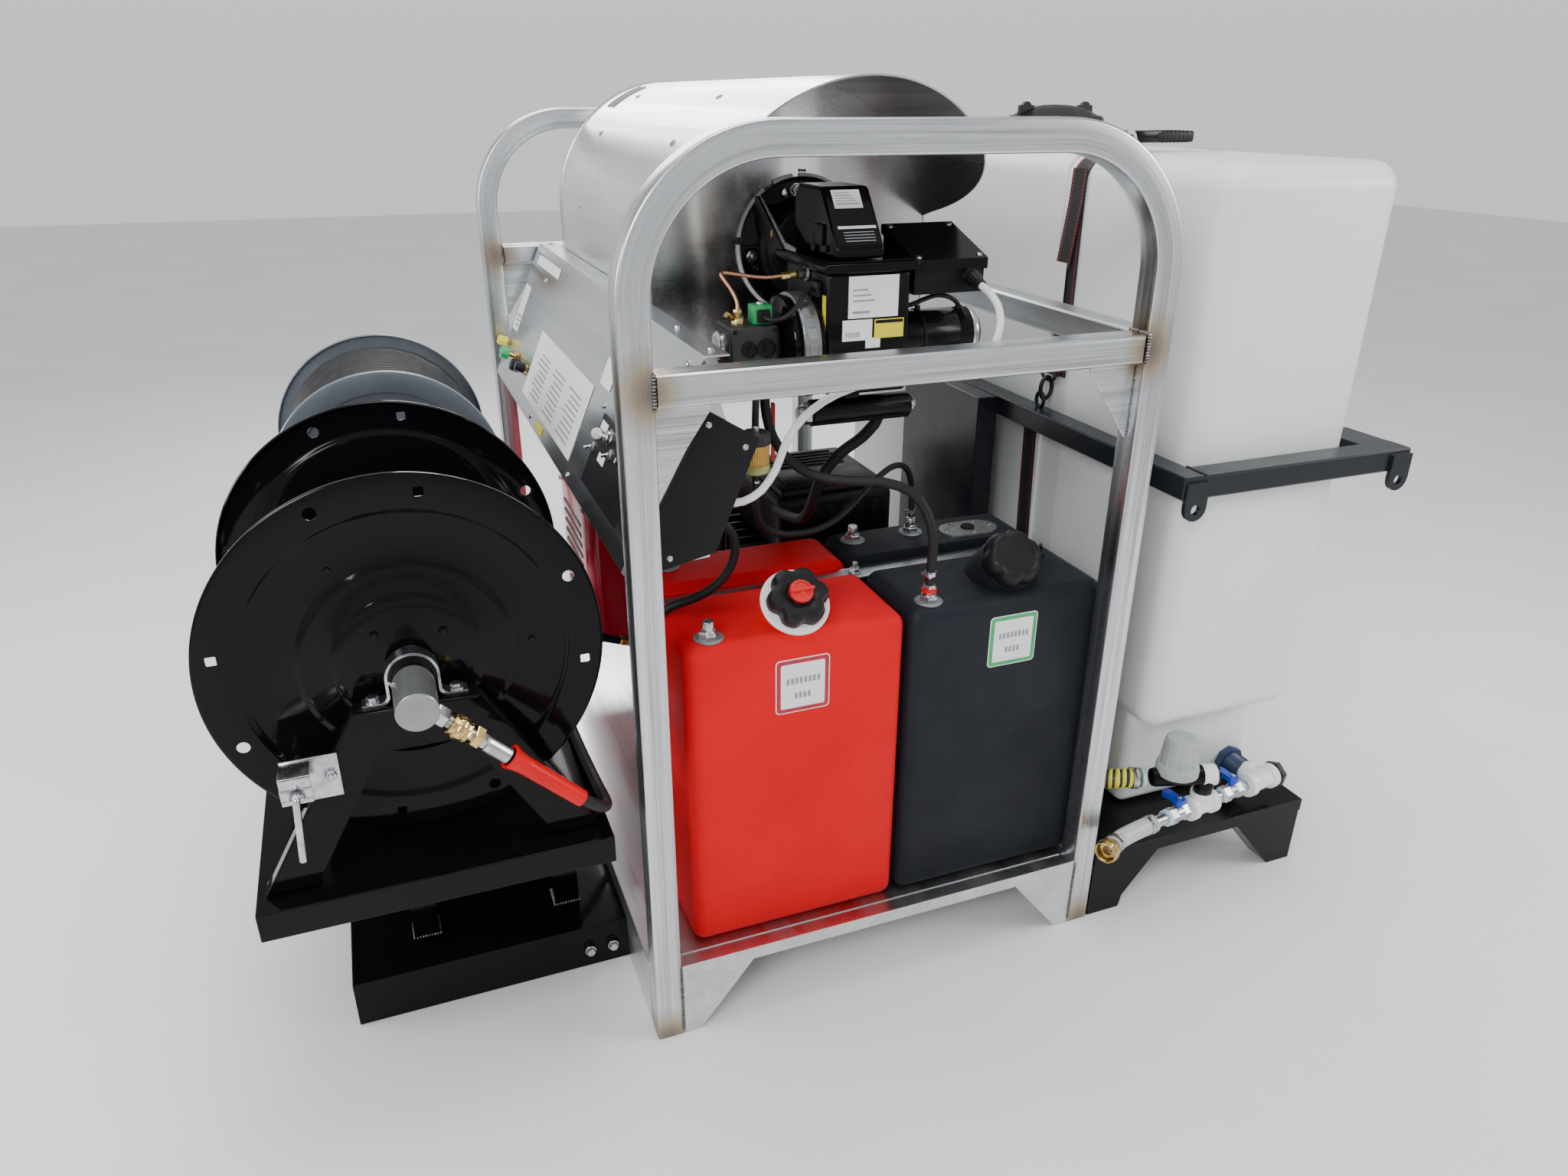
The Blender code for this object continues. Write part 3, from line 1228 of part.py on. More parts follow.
def make_inlet():
    """Clear hose to the garden connection, whose nut spins on its tail."""
    barb = PLUMB_AT + PLUMB_DIR * 0.331
    route = bend(barb, PLUMB_DIR * 0.050, INLET_END, INLET_FACING * 0.040, 12)
    cord("inlet_hose", "hose_clear", route, 0.0190, 3)
    facing = (route[-1] - route[-2]).normalized()
    start = INLET_END + facing * 0.001
    tail = rod(start, start + facing * 0.022, 0.0150, 16)
    flare = rod(start + facing * 0.018, start + facing * 0.022, 0.0175, 16)
    make("connector_tail", "brass", [tail, flare])
    nut_at = start + facing * 0.009
    nut = lathe(
        [(0.0156, 0.0), (0.0225, 0.0), (0.0245, 0.004), (0.0245, 0.020), (0.0225, 0.024),
         (0.0185, 0.024), (0.0185, 0.0075), (0.0156, 0.0075)],
        nut_at, facing, 18,
    )
    make("garden_connector", "brass", [nut], (), nut_at)


def make_suction_hose():
    """Yellow ribbed hose: behind the leg, down to the floor, round to the pump."""
    tube, back = tube_line()
    start = tube + back * 0.1485
    port = INLET_PORT[1]
    leave = (INLET_PORT[1] - INLET_PORT[0]).normalized()
    down = Vector((0, 0.98, -0.196))
    side, behind = 0.968, 0.620
    on_shelf, on_floor = SHELF_Z + SUCTION_R + 0.0015, FLOOR_Z + FLOOR_T + SUCTION_R + GAP
    corner = 0.160
    handle = corner * 0.5523
    ahead, left = Vector((0, 1, 0)), Vector((-1, 0, 0))
    route = join_routes(
        bend(start, back * 0.0735, (side, 0.2075, 0.255), down * 0.085, 9),
        bend((side, 0.2075, 0.255), down * 0.090, (side, 0.430, on_shelf), ahead * 0.090, 8),
        bend(
            (side, behind - corner, on_shelf), ahead * handle,
            (side - corner, behind, on_floor + 0.006), left * handle, 9,
        ),
        bend(
            (side - corner, behind, on_floor + 0.006), left * 0.150,
            port + leave * 0.003, -leave * 0.150, 14,
        ),
    )
    cord("suction_hose", "hose_yellow", route, SUCTION_R)


def make_cables():
    """White burner lead and black fuel line, with their real slack."""
    lead = join_routes(
        [(0.690, 0.187, 1.339), (0.690, 0.1680, 1.3329)],
        smooth_route([
            (0.690, 0.150, 1.327), (0.689, 0.123, 1.313), (0.684, 0.102, 1.289),
            (0.672, 0.092, 1.259), (0.648, 0.089, 1.233), (0.610, 0.089, 1.217),
            (0.560, 0.091, 1.212), (0.500, 0.093, 1.212), (0.440, 0.096, 1.207),
            (0.383, 0.102, 1.191), (0.343, 0.111, 1.166), (0.316, 0.119, 1.136),
            (0.299, 0.124, 1.103), (0.284, 0.124, 1.066), (0.256, 0.118, 1.034),
            (0.220, 0.109, 1.022), (0.185, 0.101, 1.028), (0.158, 0.098, 1.043),
        ], 2),
    )
    cord("burner_lead", "cable_white", lead, 0.00675)
    bung = TANK_Z[1] + 0.0345
    line = join_routes(
        [(0.577, 0.098, bung), (0.5775, 0.098, bung + 0.020)],
        smooth_route([
            (0.579, 0.0985, bung + 0.045), (0.5805, 0.101, 0.905), (0.573, 0.115, 0.953),
            (0.548, 0.134, 0.990), (0.503, 0.160, 1.006), (0.447, 0.188, 1.006),
            (0.392, 0.216, 1.014), (0.352, 0.240, 1.041), (0.329, 0.257, 1.080),
            (0.320, 0.267, 1.118), (0.318, 0.271, 1.155), (0.318, 0.272, 1.1893),
        ], 2),
    )
    cord("fuel_line", "rubber_black", line, 0.0090)


# ---------------------------------------------------------------- the machine
def clear_scene():
    for leftover in list(bpy.data.objects):
        bpy.data.objects.remove(leftover, do_unlink=True)


def centre_on_box():
    """Moves every free-standing piece so that the machine's box is centred on Z.

    The loose hoses and their fittings don't count in that box."""
    across = ((REEL_X - REEL_R) + BELT_X[1]) / 2
    deep = (SWIVEL_FRONT + FRAME_L + TUBE) / 2
    for piece in bpy.context.scene.objects:
        if not piece.parent:
            piece.location = Vector(piece.location) - Vector((across, deep, 0))


def build():
    clear_scene()
    make_hoops()
    make_cross_bars()
    make_side_rail()
    make_skid_base()
    make_petrol_tank()
    make_diesel_tank()
    make_hold_down_strap()
    make_gas_cap()
    make_diesel_cap()
    make_heater_housing()
    make_heating_coil()
    make_burner()
    make_igniter_cover()
    make_junction_box()
    make_fuel_pump()
    make_burner_motor()
    make_outlet_manifold()
    make_control_panel()
    make_console_cover()
    make_panel_controls()
    make_engine()
    make_engine_shroud()
    make_pump()
    make_drive()
    make_fuel_filter()
    make_black_reel()
    make_grey_reel()
    make_reel_stands()
    make_grey_stand()
    make_reel_rack()
    make_swivel()
    make_supply_hose()
    make_lock_pin()
    make_water_tank()
    make_tank_lid()
    make_belt_frame()
    make_tank_bracket()
    make_tie_down()
    make_plumbing()
    make_inlet()
    make_suction_hose()
    make_cables()
    bpy.context.view_layer.update()
    centre_on_box()


build()
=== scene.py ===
"""Looks for the skid-mounted hot-water pressure washer, built around its CAD frame.

Every place below is written from the front left foot of the skid, in metres:
X along the front, Y back into the machine, Z up. spot() turns it into the row frame.
"""

import json
import math
import random

import bmesh
import bpy
from mathutils import Matrix, Vector
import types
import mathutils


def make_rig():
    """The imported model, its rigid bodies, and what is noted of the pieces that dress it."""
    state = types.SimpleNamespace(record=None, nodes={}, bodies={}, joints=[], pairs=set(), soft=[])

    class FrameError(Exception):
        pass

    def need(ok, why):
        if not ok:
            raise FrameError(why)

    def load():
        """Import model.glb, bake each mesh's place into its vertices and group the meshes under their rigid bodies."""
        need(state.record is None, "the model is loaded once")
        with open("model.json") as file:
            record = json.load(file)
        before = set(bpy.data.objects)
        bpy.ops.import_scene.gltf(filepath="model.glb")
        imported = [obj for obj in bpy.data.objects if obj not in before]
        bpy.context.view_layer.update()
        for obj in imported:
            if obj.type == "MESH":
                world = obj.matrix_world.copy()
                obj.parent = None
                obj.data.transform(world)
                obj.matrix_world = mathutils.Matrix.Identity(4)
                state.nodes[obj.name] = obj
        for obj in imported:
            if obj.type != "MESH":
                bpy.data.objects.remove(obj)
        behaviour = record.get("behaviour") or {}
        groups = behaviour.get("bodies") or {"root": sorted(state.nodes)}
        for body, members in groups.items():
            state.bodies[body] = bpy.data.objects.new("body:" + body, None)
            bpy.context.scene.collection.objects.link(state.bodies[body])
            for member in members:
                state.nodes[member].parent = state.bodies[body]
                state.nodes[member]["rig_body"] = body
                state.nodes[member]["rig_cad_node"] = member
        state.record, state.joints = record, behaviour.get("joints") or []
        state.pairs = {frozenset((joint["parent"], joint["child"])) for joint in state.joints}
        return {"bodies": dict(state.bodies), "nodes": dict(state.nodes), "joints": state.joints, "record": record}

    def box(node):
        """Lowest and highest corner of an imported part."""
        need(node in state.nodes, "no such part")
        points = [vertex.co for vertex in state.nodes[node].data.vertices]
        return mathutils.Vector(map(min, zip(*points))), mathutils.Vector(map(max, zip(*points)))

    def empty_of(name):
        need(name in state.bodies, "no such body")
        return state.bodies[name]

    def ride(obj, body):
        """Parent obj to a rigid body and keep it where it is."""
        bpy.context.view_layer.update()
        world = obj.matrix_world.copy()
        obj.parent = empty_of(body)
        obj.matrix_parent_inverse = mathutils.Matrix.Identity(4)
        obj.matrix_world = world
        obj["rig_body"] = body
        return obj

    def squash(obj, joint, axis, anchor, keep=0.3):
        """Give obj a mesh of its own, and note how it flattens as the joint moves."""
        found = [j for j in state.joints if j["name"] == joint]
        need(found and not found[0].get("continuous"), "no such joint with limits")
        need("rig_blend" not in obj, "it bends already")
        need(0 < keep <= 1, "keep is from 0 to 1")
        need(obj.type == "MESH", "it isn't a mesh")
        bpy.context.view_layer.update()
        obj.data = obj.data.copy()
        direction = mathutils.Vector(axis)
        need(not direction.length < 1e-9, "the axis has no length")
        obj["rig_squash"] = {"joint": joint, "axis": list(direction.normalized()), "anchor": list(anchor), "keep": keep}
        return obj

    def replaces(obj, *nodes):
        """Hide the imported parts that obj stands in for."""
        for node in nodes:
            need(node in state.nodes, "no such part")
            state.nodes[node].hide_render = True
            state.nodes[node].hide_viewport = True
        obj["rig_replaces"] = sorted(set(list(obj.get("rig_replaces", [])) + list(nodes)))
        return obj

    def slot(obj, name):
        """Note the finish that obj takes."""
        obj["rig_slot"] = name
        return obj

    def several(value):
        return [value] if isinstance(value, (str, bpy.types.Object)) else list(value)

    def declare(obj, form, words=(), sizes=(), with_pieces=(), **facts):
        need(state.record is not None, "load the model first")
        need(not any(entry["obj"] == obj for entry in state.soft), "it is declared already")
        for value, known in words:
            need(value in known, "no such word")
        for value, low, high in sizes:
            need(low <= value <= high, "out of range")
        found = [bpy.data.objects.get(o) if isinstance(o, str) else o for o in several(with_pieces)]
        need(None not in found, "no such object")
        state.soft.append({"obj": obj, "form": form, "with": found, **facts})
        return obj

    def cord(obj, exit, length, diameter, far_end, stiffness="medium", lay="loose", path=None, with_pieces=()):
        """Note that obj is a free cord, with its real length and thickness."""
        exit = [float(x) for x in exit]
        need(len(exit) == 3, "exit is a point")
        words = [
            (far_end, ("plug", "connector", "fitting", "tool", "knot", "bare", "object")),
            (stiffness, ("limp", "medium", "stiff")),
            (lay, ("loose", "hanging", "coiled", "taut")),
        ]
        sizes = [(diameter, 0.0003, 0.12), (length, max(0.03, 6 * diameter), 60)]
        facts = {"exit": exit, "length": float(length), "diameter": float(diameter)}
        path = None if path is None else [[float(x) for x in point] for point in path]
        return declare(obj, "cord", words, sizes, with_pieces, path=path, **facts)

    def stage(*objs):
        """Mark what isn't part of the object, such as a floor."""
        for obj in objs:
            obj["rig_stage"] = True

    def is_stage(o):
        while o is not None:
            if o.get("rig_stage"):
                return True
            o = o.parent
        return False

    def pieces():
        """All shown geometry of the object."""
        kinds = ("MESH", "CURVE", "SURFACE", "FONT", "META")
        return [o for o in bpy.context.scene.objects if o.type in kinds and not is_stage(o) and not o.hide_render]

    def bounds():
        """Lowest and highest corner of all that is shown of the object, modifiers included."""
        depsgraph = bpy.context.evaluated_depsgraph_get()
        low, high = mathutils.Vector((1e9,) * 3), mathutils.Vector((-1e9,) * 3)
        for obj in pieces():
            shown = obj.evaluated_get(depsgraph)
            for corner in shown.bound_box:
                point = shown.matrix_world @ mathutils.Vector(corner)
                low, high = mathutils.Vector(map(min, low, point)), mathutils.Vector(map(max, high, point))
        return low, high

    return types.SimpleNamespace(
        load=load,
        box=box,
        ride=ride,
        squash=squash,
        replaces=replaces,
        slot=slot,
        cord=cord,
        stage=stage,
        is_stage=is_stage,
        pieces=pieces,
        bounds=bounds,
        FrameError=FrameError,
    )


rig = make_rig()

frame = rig.load()
cad_low, cad_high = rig.bounds()

for leftover in list(bpy.data.objects):
    if leftover.type in ("CAMERA", "LIGHT") or leftover.name == "Cube":
        bpy.data.objects.remove(leftover, do_unlink=True)

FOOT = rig.box("front_hoop")[0]
random.seed(7)

TUBE = 0.0508
FRAME_W, FRAME_H, FRAME_L = 0.965, 1.61, 1.60
HOOP_R = 0.246
BAR_Z = 1.22
TANK_TOP = 0.785
TANK_FRONT = 0.058
TANK_BACK = 0.487
STRAP_GROOVE = (0.262, 0.342)
RIB_HEIGHT = 0.0024
FLANGE_BOLTS = 0.106
GAS_AXIS = Vector((0.0, -0.65, 0.76)).normalized()
GAS_AT = Vector((0.315, 0.107, TANK_TOP + 0.039))
DIESEL_AXIS = Vector((-0.14, -0.66, 0.74)).normalized()
DIESEL_AT = Vector((0.757, 0.116, TANK_TOP + 0.045))
HEATER_X, HEATER_Z, HEATER_R = 0.4825, 1.38, 0.290
BURNER_X, BURNER_Z = 0.500, 1.370
FAN_Y, FAN_Z = 0.290, 1.237
REEL_X, REEL_Z, REEL_R = -0.336, 0.833, 0.307
GREY_X, GREY_Z, GREY_R = -0.318, 0.920, 0.228
PANEL_TOP, PANEL_LOW = (0.150, 1.2735), (0.004, 0.940)
LID = (1.290, 0.900)
POLY_TOP = 1.535
HOSE_DIR = Vector((0.7071, 0.0, -0.7071))
SWIVEL = Vector((REEL_X, -0.038, REEL_Z))
PLUMB_AT = Vector((1.421, 0.032, 0.225))
PLUMB_DIR = Vector((-0.9893, -0.1459, 0.0))
TUBE_DIR = Vector((-0.958, 0.287, 0.0))
TUBE_AT = PLUMB_AT + PLUMB_DIR * 0.190 + Vector((0, 0, 0.077))
INLET_END = Vector((0.963, -0.050, 0.226))
INLET_FACING = Vector((-0.870, -0.490, 0.050)).normalized()
UP = Vector((0, 0, 1))
FORWARD = Vector((0, -1, 0))
BACK, RIGHT, LEFT = (0, 1, 0), (1, 0, 0), (-1, 0, 0)


def spot(x, y=None, z=None):
    """A place in the row frame from one given from the skid's front left foot."""
    place = Vector(x) if y is None else Vector((x, y, z))
    return place + FOOT


# ---------------------------------------------------------------- materials
class Look:
    """A Principled material, with short names for the nodes that vary it."""

    def __init__(self, name, color, roughness, metallic=0.0, **plain):
        self.made = bpy.data.materials.new("look_" + name)
        self.made.use_nodes = True
        self.tree = self.made.node_tree
        self.shader = self.tree.nodes["Principled BSDF"]
        self.color, self.roughness = (*color, 1.0), roughness
        self.shader.inputs["Base Color"].default_value = self.color
        self.shader.inputs["Roughness"].default_value = roughness
        self.shader.inputs["Metallic"].default_value = metallic
        for key, value in plain.items():
            self.shader.inputs[key.replace("_", " ")].default_value = value
        self.made.diffuse_color = self.color

    def node(self, kind, **settings):
        node = self.tree.nodes.new("ShaderNode" + kind)
        for key, value in settings.items():
            setattr(node, key, value)
        return node

    def link(self, value, socket):
        if isinstance(value, bpy.types.NodeSocket):
            self.tree.links.new(value, socket)
        else:
            socket.default_value = value

    def coords(self, scale=(1, 1, 1), space="Object", turn=(0, 0, 0)):
        mapping = self.node("Mapping")
        mapping.inputs["Scale"].default_value = scale
        mapping.inputs["Rotation"].default_value = turn
        self.link(self.node("TexCoord").outputs[space], mapping.inputs["Vector"])
        return mapping.outputs["Vector"]

    def noise(self, vector, scale, detail=3.0, rough=0.55):
        node = self.node("TexNoise")
        self.link(vector, node.inputs["Vector"])
        node.inputs["Scale"].default_value = scale
        node.inputs["Detail"].default_value = detail
        node.inputs["Roughness"].default_value = rough
        return node.outputs["Fac"]

    def span(self, value, low, high, to_low=0.0, to_high=1.0):
        node = self.node("MapRange", clamp=True)
        self.link(value, node.inputs["Value"])
        for key, number in zip(("From Min", "From Max", "To Min", "To Max"),
                               (low, high, to_low, to_high)):
            node.inputs[key].default_value = number
        return node.outputs["Result"]

    def math(self, operation, a, b=0.0):
        node = self.node("Math", operation=operation)
        self.link(a, node.inputs[0])
        self.link(b, node.inputs[1])
        return node.outputs["Value"]

    def mix(self, share, a, b, how="MIX"):
        node = self.node("MixRGB", blend_type=how)
        self.link(share, node.inputs["Fac"])
        for value, socket in ((a, node.inputs["Color1"]), (b, node.inputs["Color2"])):
            value = (*value, 1.0) if isinstance(value, tuple) and len(value) == 3 else value
            self.link(value, socket)
        return node.outputs["Color"]

    def near(self, points, reach):
        """1 at any of the points, falling to 0 at the given distance."""
        position = self.node("TexCoord").outputs["Object"]
        best = None
        for point in points:
            node = self.node("VectorMath", operation="DISTANCE")
            self.link(position, node.inputs[0])
            node.inputs[1].default_value = spot(point)
            best = node.outputs["Value"] if best is None else self.math("MINIMUM", best,
                                                                        node.outputs["Value"])
        return self.span(best, 0.0, reach, 1.0, 0.0)

    def use(self, color=None, roughness=None, height=None, strength=0.2, distance=0.001):
        if color is not None:
            self.link(color, self.shader.inputs["Base Color"])
        if roughness is not None:
            self.link(roughness, self.shader.inputs["Roughness"])
        if height is not None:
            bump = self.node("Bump")
            bump.inputs["Strength"].default_value = strength
            bump.inputs["Distance"].default_value = distance
            self.link(height, bump.inputs["Height"])
            self.link(bump.outputs["Normal"], self.shader.inputs["Normal"])
        return self.made


def darker(color, share):
    return tuple(channel * share for channel in color[:3])


def coated(name, color, roughness, metallic=0.0, patch=6.0, grain=900.0, dull=0.10,
           strength=0.10, shade=0.82, **plain):
    """A painted, moulded or cast surface: cloudy colour, uneven gloss, fine grain."""
    look = Look(name, color, roughness, metallic, **plain)
    place = look.coords()
    cloud = look.noise(place, patch, 4.0, 0.6)
    share = look.span(cloud, 0.32, 0.68)
    mixed = look.mix(share, darker(color, shade), color)
    uneven = look.span(cloud, 0.3, 0.7, roughness + dull, max(roughness - dull * 0.3, 0.02))
    fine = look.noise(place, grain, 2.0)
    return look.use(mixed, uneven, fine, strength, 0.0006)


def brushed(name, color, roughness, stretch, metallic=1.0, space="Object", lines=0.55,
            strength=0.12, welds=(), reach=0.05, cloud=5.0):
    """Bare metal with lines along one way, and heat tint near its welds."""
    look = Look(name, color, roughness, metallic)
    along = look.coords(stretch, space)
    fine = look.noise(along, 1.0, 5.0, 0.7)
    broad = look.noise(look.coords(tuple(s * 0.22 for s in stretch), space), 1.0, 3.0)
    patch = look.noise(look.coords(), cloud, 3.0)
    lined = look.mix(look.span(fine, 0.35, 0.65), darker(color, lines), color)
    lined = look.mix(look.span(broad, 0.42, 0.60, 0.0, 0.5), lined, darker(color, 1.22))
    lined = look.mix(look.span(patch, 0.35, 0.7, 0.0, 0.35), lined, darker(color, 0.72))
    if welds:
        heat = look.near(welds, reach)
        lined = look.mix(look.span(heat, 0.05, 0.50, 0.0, 0.75), lined, (0.42, 0.30, 0.16))
        lined = look.mix(look.span(heat, 0.45, 0.80), lined, (0.13, 0.12, 0.12))
    uneven = look.span(broad, 0.35, 0.65, roughness + 0.10, roughness - 0.04)
    return look.use(lined, uneven, fine, strength, 0.0004)


def clear(name, color, roughness, transmission, **plain):
    look = Look(name, color, roughness, 0.0, **plain)
    look.shader.inputs["Transmission Weight"].default_value = transmission
    place = look.coords()
    cloud = look.noise(place, 40.0)
    return look.use(look.mix(look.span(cloud, 0.3, 0.7), darker(color, 0.88), color),
                    look.span(cloud, 0.3, 0.7, roughness, roughness + 0.08))


def banded(name, base, band, across, edges, roughness=0.5):
    """Two colours over the width of a swept strip, such as a strap's red edges."""
    look = Look(name, base, roughness)
    place = look.coords((1, 1, 1), "UV")
    split = look.node("SeparateXYZ")
    look.link(place, split.inputs[0])
    folded = look.math("MODULO", split.outputs[0], across + 0.002)
    side = look.math("ABSOLUTE", look.math("SUBTRACT", folded, across / 2))
    weave = look.noise(look.coords((900, 260, 1), "UV"), 1.0, 1.0)
    share = look.math("MULTIPLY", look.span(side, edges[0], edges[0] + 0.0006),
                      look.span(side, edges[1], edges[1] + 0.0006, 1.0, 0.0))
    dashes = look.node("TexWave", wave_type="BANDS", bands_direction="Y")
    look.link(place, dashes.inputs["Vector"])
    dashes.inputs["Scale"].default_value = 42.0
    share = look.math("MULTIPLY", share, look.span(dashes.outputs["Fac"], 0.25, 0.5))
    dark = look.mix(look.span(weave, 0.35, 0.65), darker(base, 0.5), darker(base, 1.8))
    return look.use(look.mix(share, dark, band), None, weave, 0.5, 0.0008)


SEAMS = [(TUBE, 0.025, 1.245), (FRAME_W - TUBE, 0.025, 1.245), (TUBE, 1.625, 1.245),
         (FRAME_W - TUBE, 1.625, 1.245), (0.02, 0.025, 0.0), (FRAME_W - 0.02, 0.025, 0.0)]

LOOKS = dict(
    tube=brushed("tube", (0.72, 0.74, 0.765), 0.27, (260, 2.2, 1), space="UV", lines=0.42,
                 welds=SEAMS, reach=0.085),
    bar=brushed("bar", (0.72, 0.74, 0.765), 0.27, (2.2, 260, 260), lines=0.42, welds=SEAMS,
                reach=0.060),
    rail=brushed("rail", (0.58, 0.60, 0.62), 0.32, (260, 2.2, 260), lines=0.62),
    sheet=brushed("sheet", (0.66, 0.67, 0.68), 0.30, (90, 3, 90), lines=0.86, strength=0.05),
    panel=brushed("panel", (0.60, 0.62, 0.63), 0.20, (60, 2, 60), lines=0.90, strength=0.03,
                  cloud=3.0),
    bead=coated("bead", (0.30, 0.29, 0.28), 0.42, 1.0, patch=120, grain=400, strength=0.5,
                shade=0.35),
    tint=coated("tint", (0.36, 0.27, 0.19), 0.40, 0.9, patch=90, grain=500, strength=0.4,
                shade=0.4),
    zinc=coated("zinc", (0.66, 0.67, 0.69), 0.22, 1.0, patch=60, grain=300, shade=0.62),
    steel=coated("steel", (0.56, 0.56, 0.57), 0.28, 1.0, patch=40, grain=500, shade=0.7),
    brass=coated("brass", (0.78, 0.56, 0.22), 0.20, 1.0, patch=60, grain=400, shade=0.6),
    copper=coated("copper", (0.80, 0.40, 0.25), 0.28, 1.0, patch=50, grain=500, shade=0.7),
    gloss=coated("gloss", (0.004, 0.004, 0.005), 0.07, patch=4, grain=260, dull=0.06,
                 strength=0.04, Specular_IOR_Level=0.10, Coat_Weight=0.10, Coat_Roughness=0.03),
    enamel=coated("enamel", (0.006, 0.006, 0.007), 0.16, patch=7, grain=420, dull=0.10,
                  strength=0.08, Specular_IOR_Level=0.15),
    satin=coated("satin", (0.009, 0.009, 0.010), 0.32, patch=8, grain=600, dull=0.14,
                 strength=0.16, Specular_IOR_Level=0.18),
    bluish=coated("bluish", (0.010, 0.012, 0.017), 0.22, patch=5, grain=500, dull=0.12,
                  Specular_IOR_Level=0.32),
    moulded=coated("moulded", (0.008, 0.008, 0.009), 0.36, patch=20, grain=700, dull=0.12,
                   strength=0.2, Specular_IOR_Level=0.26),
    rubber=coated("rubber", (0.010, 0.010, 0.011), 0.46, patch=14, grain=800, dull=0.14,
                  strength=0.25, Specular_IOR_Level=0.28),
    hammer=coated("hammer", (0.22, 0.25, 0.29), 0.26, 0.45, patch=12, grain=160, dull=0.08,
                  strength=0.45, shade=0.75),
    silver=coated("silver", (0.32, 0.33, 0.34), 0.30, 0.8, patch=30, grain=900, shade=0.8),
    red_tank=coated("red_tank", (0.70, 0.0005, 0.008), 0.42, patch=5, grain=420, dull=0.12,
                    strength=0.30, shade=0.88, Sheen_Weight=0.02, Specular_IOR_Level=0.10),
    black_tank=coated("black_tank", (0.010, 0.012, 0.018), 0.50, patch=6, grain=420, dull=0.16,
                      strength=0.35, shade=0.72, Sheen_Weight=0.02, Specular_IOR_Level=0.20),
    maroon=coated("maroon", (0.45, 0.01, 0.03), 0.34, patch=30, grain=500, shade=0.8),
    stained=coated("stained", (0.62, 0.63, 0.63), 0.30, 0.9, patch=34, grain=260, dull=0.14,
                   shade=0.45, strength=0.3),
    band=brushed("band", (0.66, 0.67, 0.69), 0.24, (2, 160, 160), lines=0.75, strength=0.05),
    red_gloss=coated("red_gloss", (0.70, 0.0005, 0.006), 0.16, patch=18, grain=200, dull=0.06,
                     Specular_IOR_Level=0.22),
    red_knob=coated("red_knob", (0.70, 0.012, 0.012), 0.34, patch=30, grain=500),
    engine_red=coated("engine_red", (0.55, 0.006, 0.030), 0.14, patch=9, grain=300, dull=0.06),
    poly=coated("poly", (0.83, 0.85, 0.84), 0.34, patch=2.2, grain=260, dull=0.12,
                strength=0.12, shade=0.93, Subsurface_Weight=0.25, Subsurface_Scale=0.03),
    white=coated("white", (0.84, 0.84, 0.82), 0.30, patch=25, grain=400, dull=0.08, shade=0.93),
    cable=coated("cable", (0.80, 0.80, 0.77), 0.36, patch=20, grain=500, shade=0.88),
    grey_cap=coated("grey_cap", (0.40, 0.42, 0.42), 0.46, patch=20, grain=500, shade=0.86),
    navy=coated("navy", (0.020, 0.045, 0.115), 0.42, patch=20, grain=500, shade=0.7),
    blue=coated("blue", (0.005, 0.06, 0.60), 0.24, patch=20, grain=400, shade=0.7),
    tape=coated("tape", (0.62, 0.80, 0.86), 0.55, patch=80, grain=700, shade=0.7, strength=0.6),
    green=coated("green", (0.03, 0.45, 0.14), 0.34, patch=30, grain=400, shade=0.7),
    yellow=coated("yellow", (0.82, 0.70, 0.03), 0.38, patch=30, grain=400, shade=0.85),
    label=coated("label", (0.84, 0.84, 0.84), 0.42, patch=30, grain=900, shade=0.93),
    grey_ink=coated("grey_ink", (0.30, 0.31, 0.33), 0.45, patch=60, grain=900, shade=0.8),
    gasket=coated("gasket", (0.72, 0.72, 0.70), 0.70, patch=60, grain=300, strength=0.5),
    cast=coated("cast", (0.30, 0.31, 0.32), 0.45, 0.7, patch=40, grain=180, strength=0.6),
    block=coated("block", (0.020, 0.020, 0.021), 0.42, patch=12, grain=300, strength=0.3),
    amber=clear("amber", (0.90, 0.50, 0.06), 0.12, 0.55),
    bowl=clear("bowl", (0.74, 0.84, 0.30), 0.14, 0.55),
    webbing=banded("webbing", (0.012, 0.012, 0.013), (0.45, 0.01, 0.01), 0.049, (0.0165, 0.0195),
                   0.7),
)


def polished_painted_reflections(name, reflection_bands, roughness=0.14, tone=0.66):
    """Mirror-like stainless plate with soft vertical bands of painted reflection and painted highlight across X,
    scratches and smears.
    """
    look = Look(name, (tone, tone, tone), roughness, 1.0)
    place = look.node("TexCoord").outputs["Object"]
    split = look.node("SeparateXYZ")
    look.link(place, split.inputs[0])
    wobble = look.noise(look.coords((3, 1, 2)), 1.0, 2.0)
    across = look.math("ADD", split.outputs[0], look.span(wobble, 0.3, 0.7, -0.02, 0.02))
    # The ramp across X paints reflections and highlights into the base colour.
    ramp = look.node("ValToRGB")
    low, high = reflection_bands[0][0] + FOOT.x, reflection_bands[-1][0] + FOOT.x
    look.link(look.span(across, low, high), ramp.inputs["Fac"])
    ramp.color_ramp.interpolation = "B_SPLINE"
    while len(ramp.color_ramp.elements) < len(reflection_bands):
        ramp.color_ramp.elements.new(0.5)
    for element, (x, color) in zip(ramp.color_ramp.elements, reflection_bands):
        element.position = (x - reflection_bands[0][0]) / (reflection_bands[-1][0] - reflection_bands[0][0])
        element.color = (*color, 1.0)
    smear = look.noise(look.coords((6, 6, 6)), 1.0, 6.0, 0.75)
    scratch = look.noise(look.coords((8, 8, 240)), 1.0, 4.0, 0.7)
    color = look.mix(look.span(smear, 0.48, 0.72, 0.0, 0.25), ramp.outputs["Color"],
                     (0.70, 0.72, 0.74))
    rough = look.span(smear, 0.35, 0.75, roughness, roughness + 0.22)
    return look.use(color, rough, look.math("ADD", scratch, look.math("MULTIPLY", wobble, 6.0)),
                    0.06, 0.002)
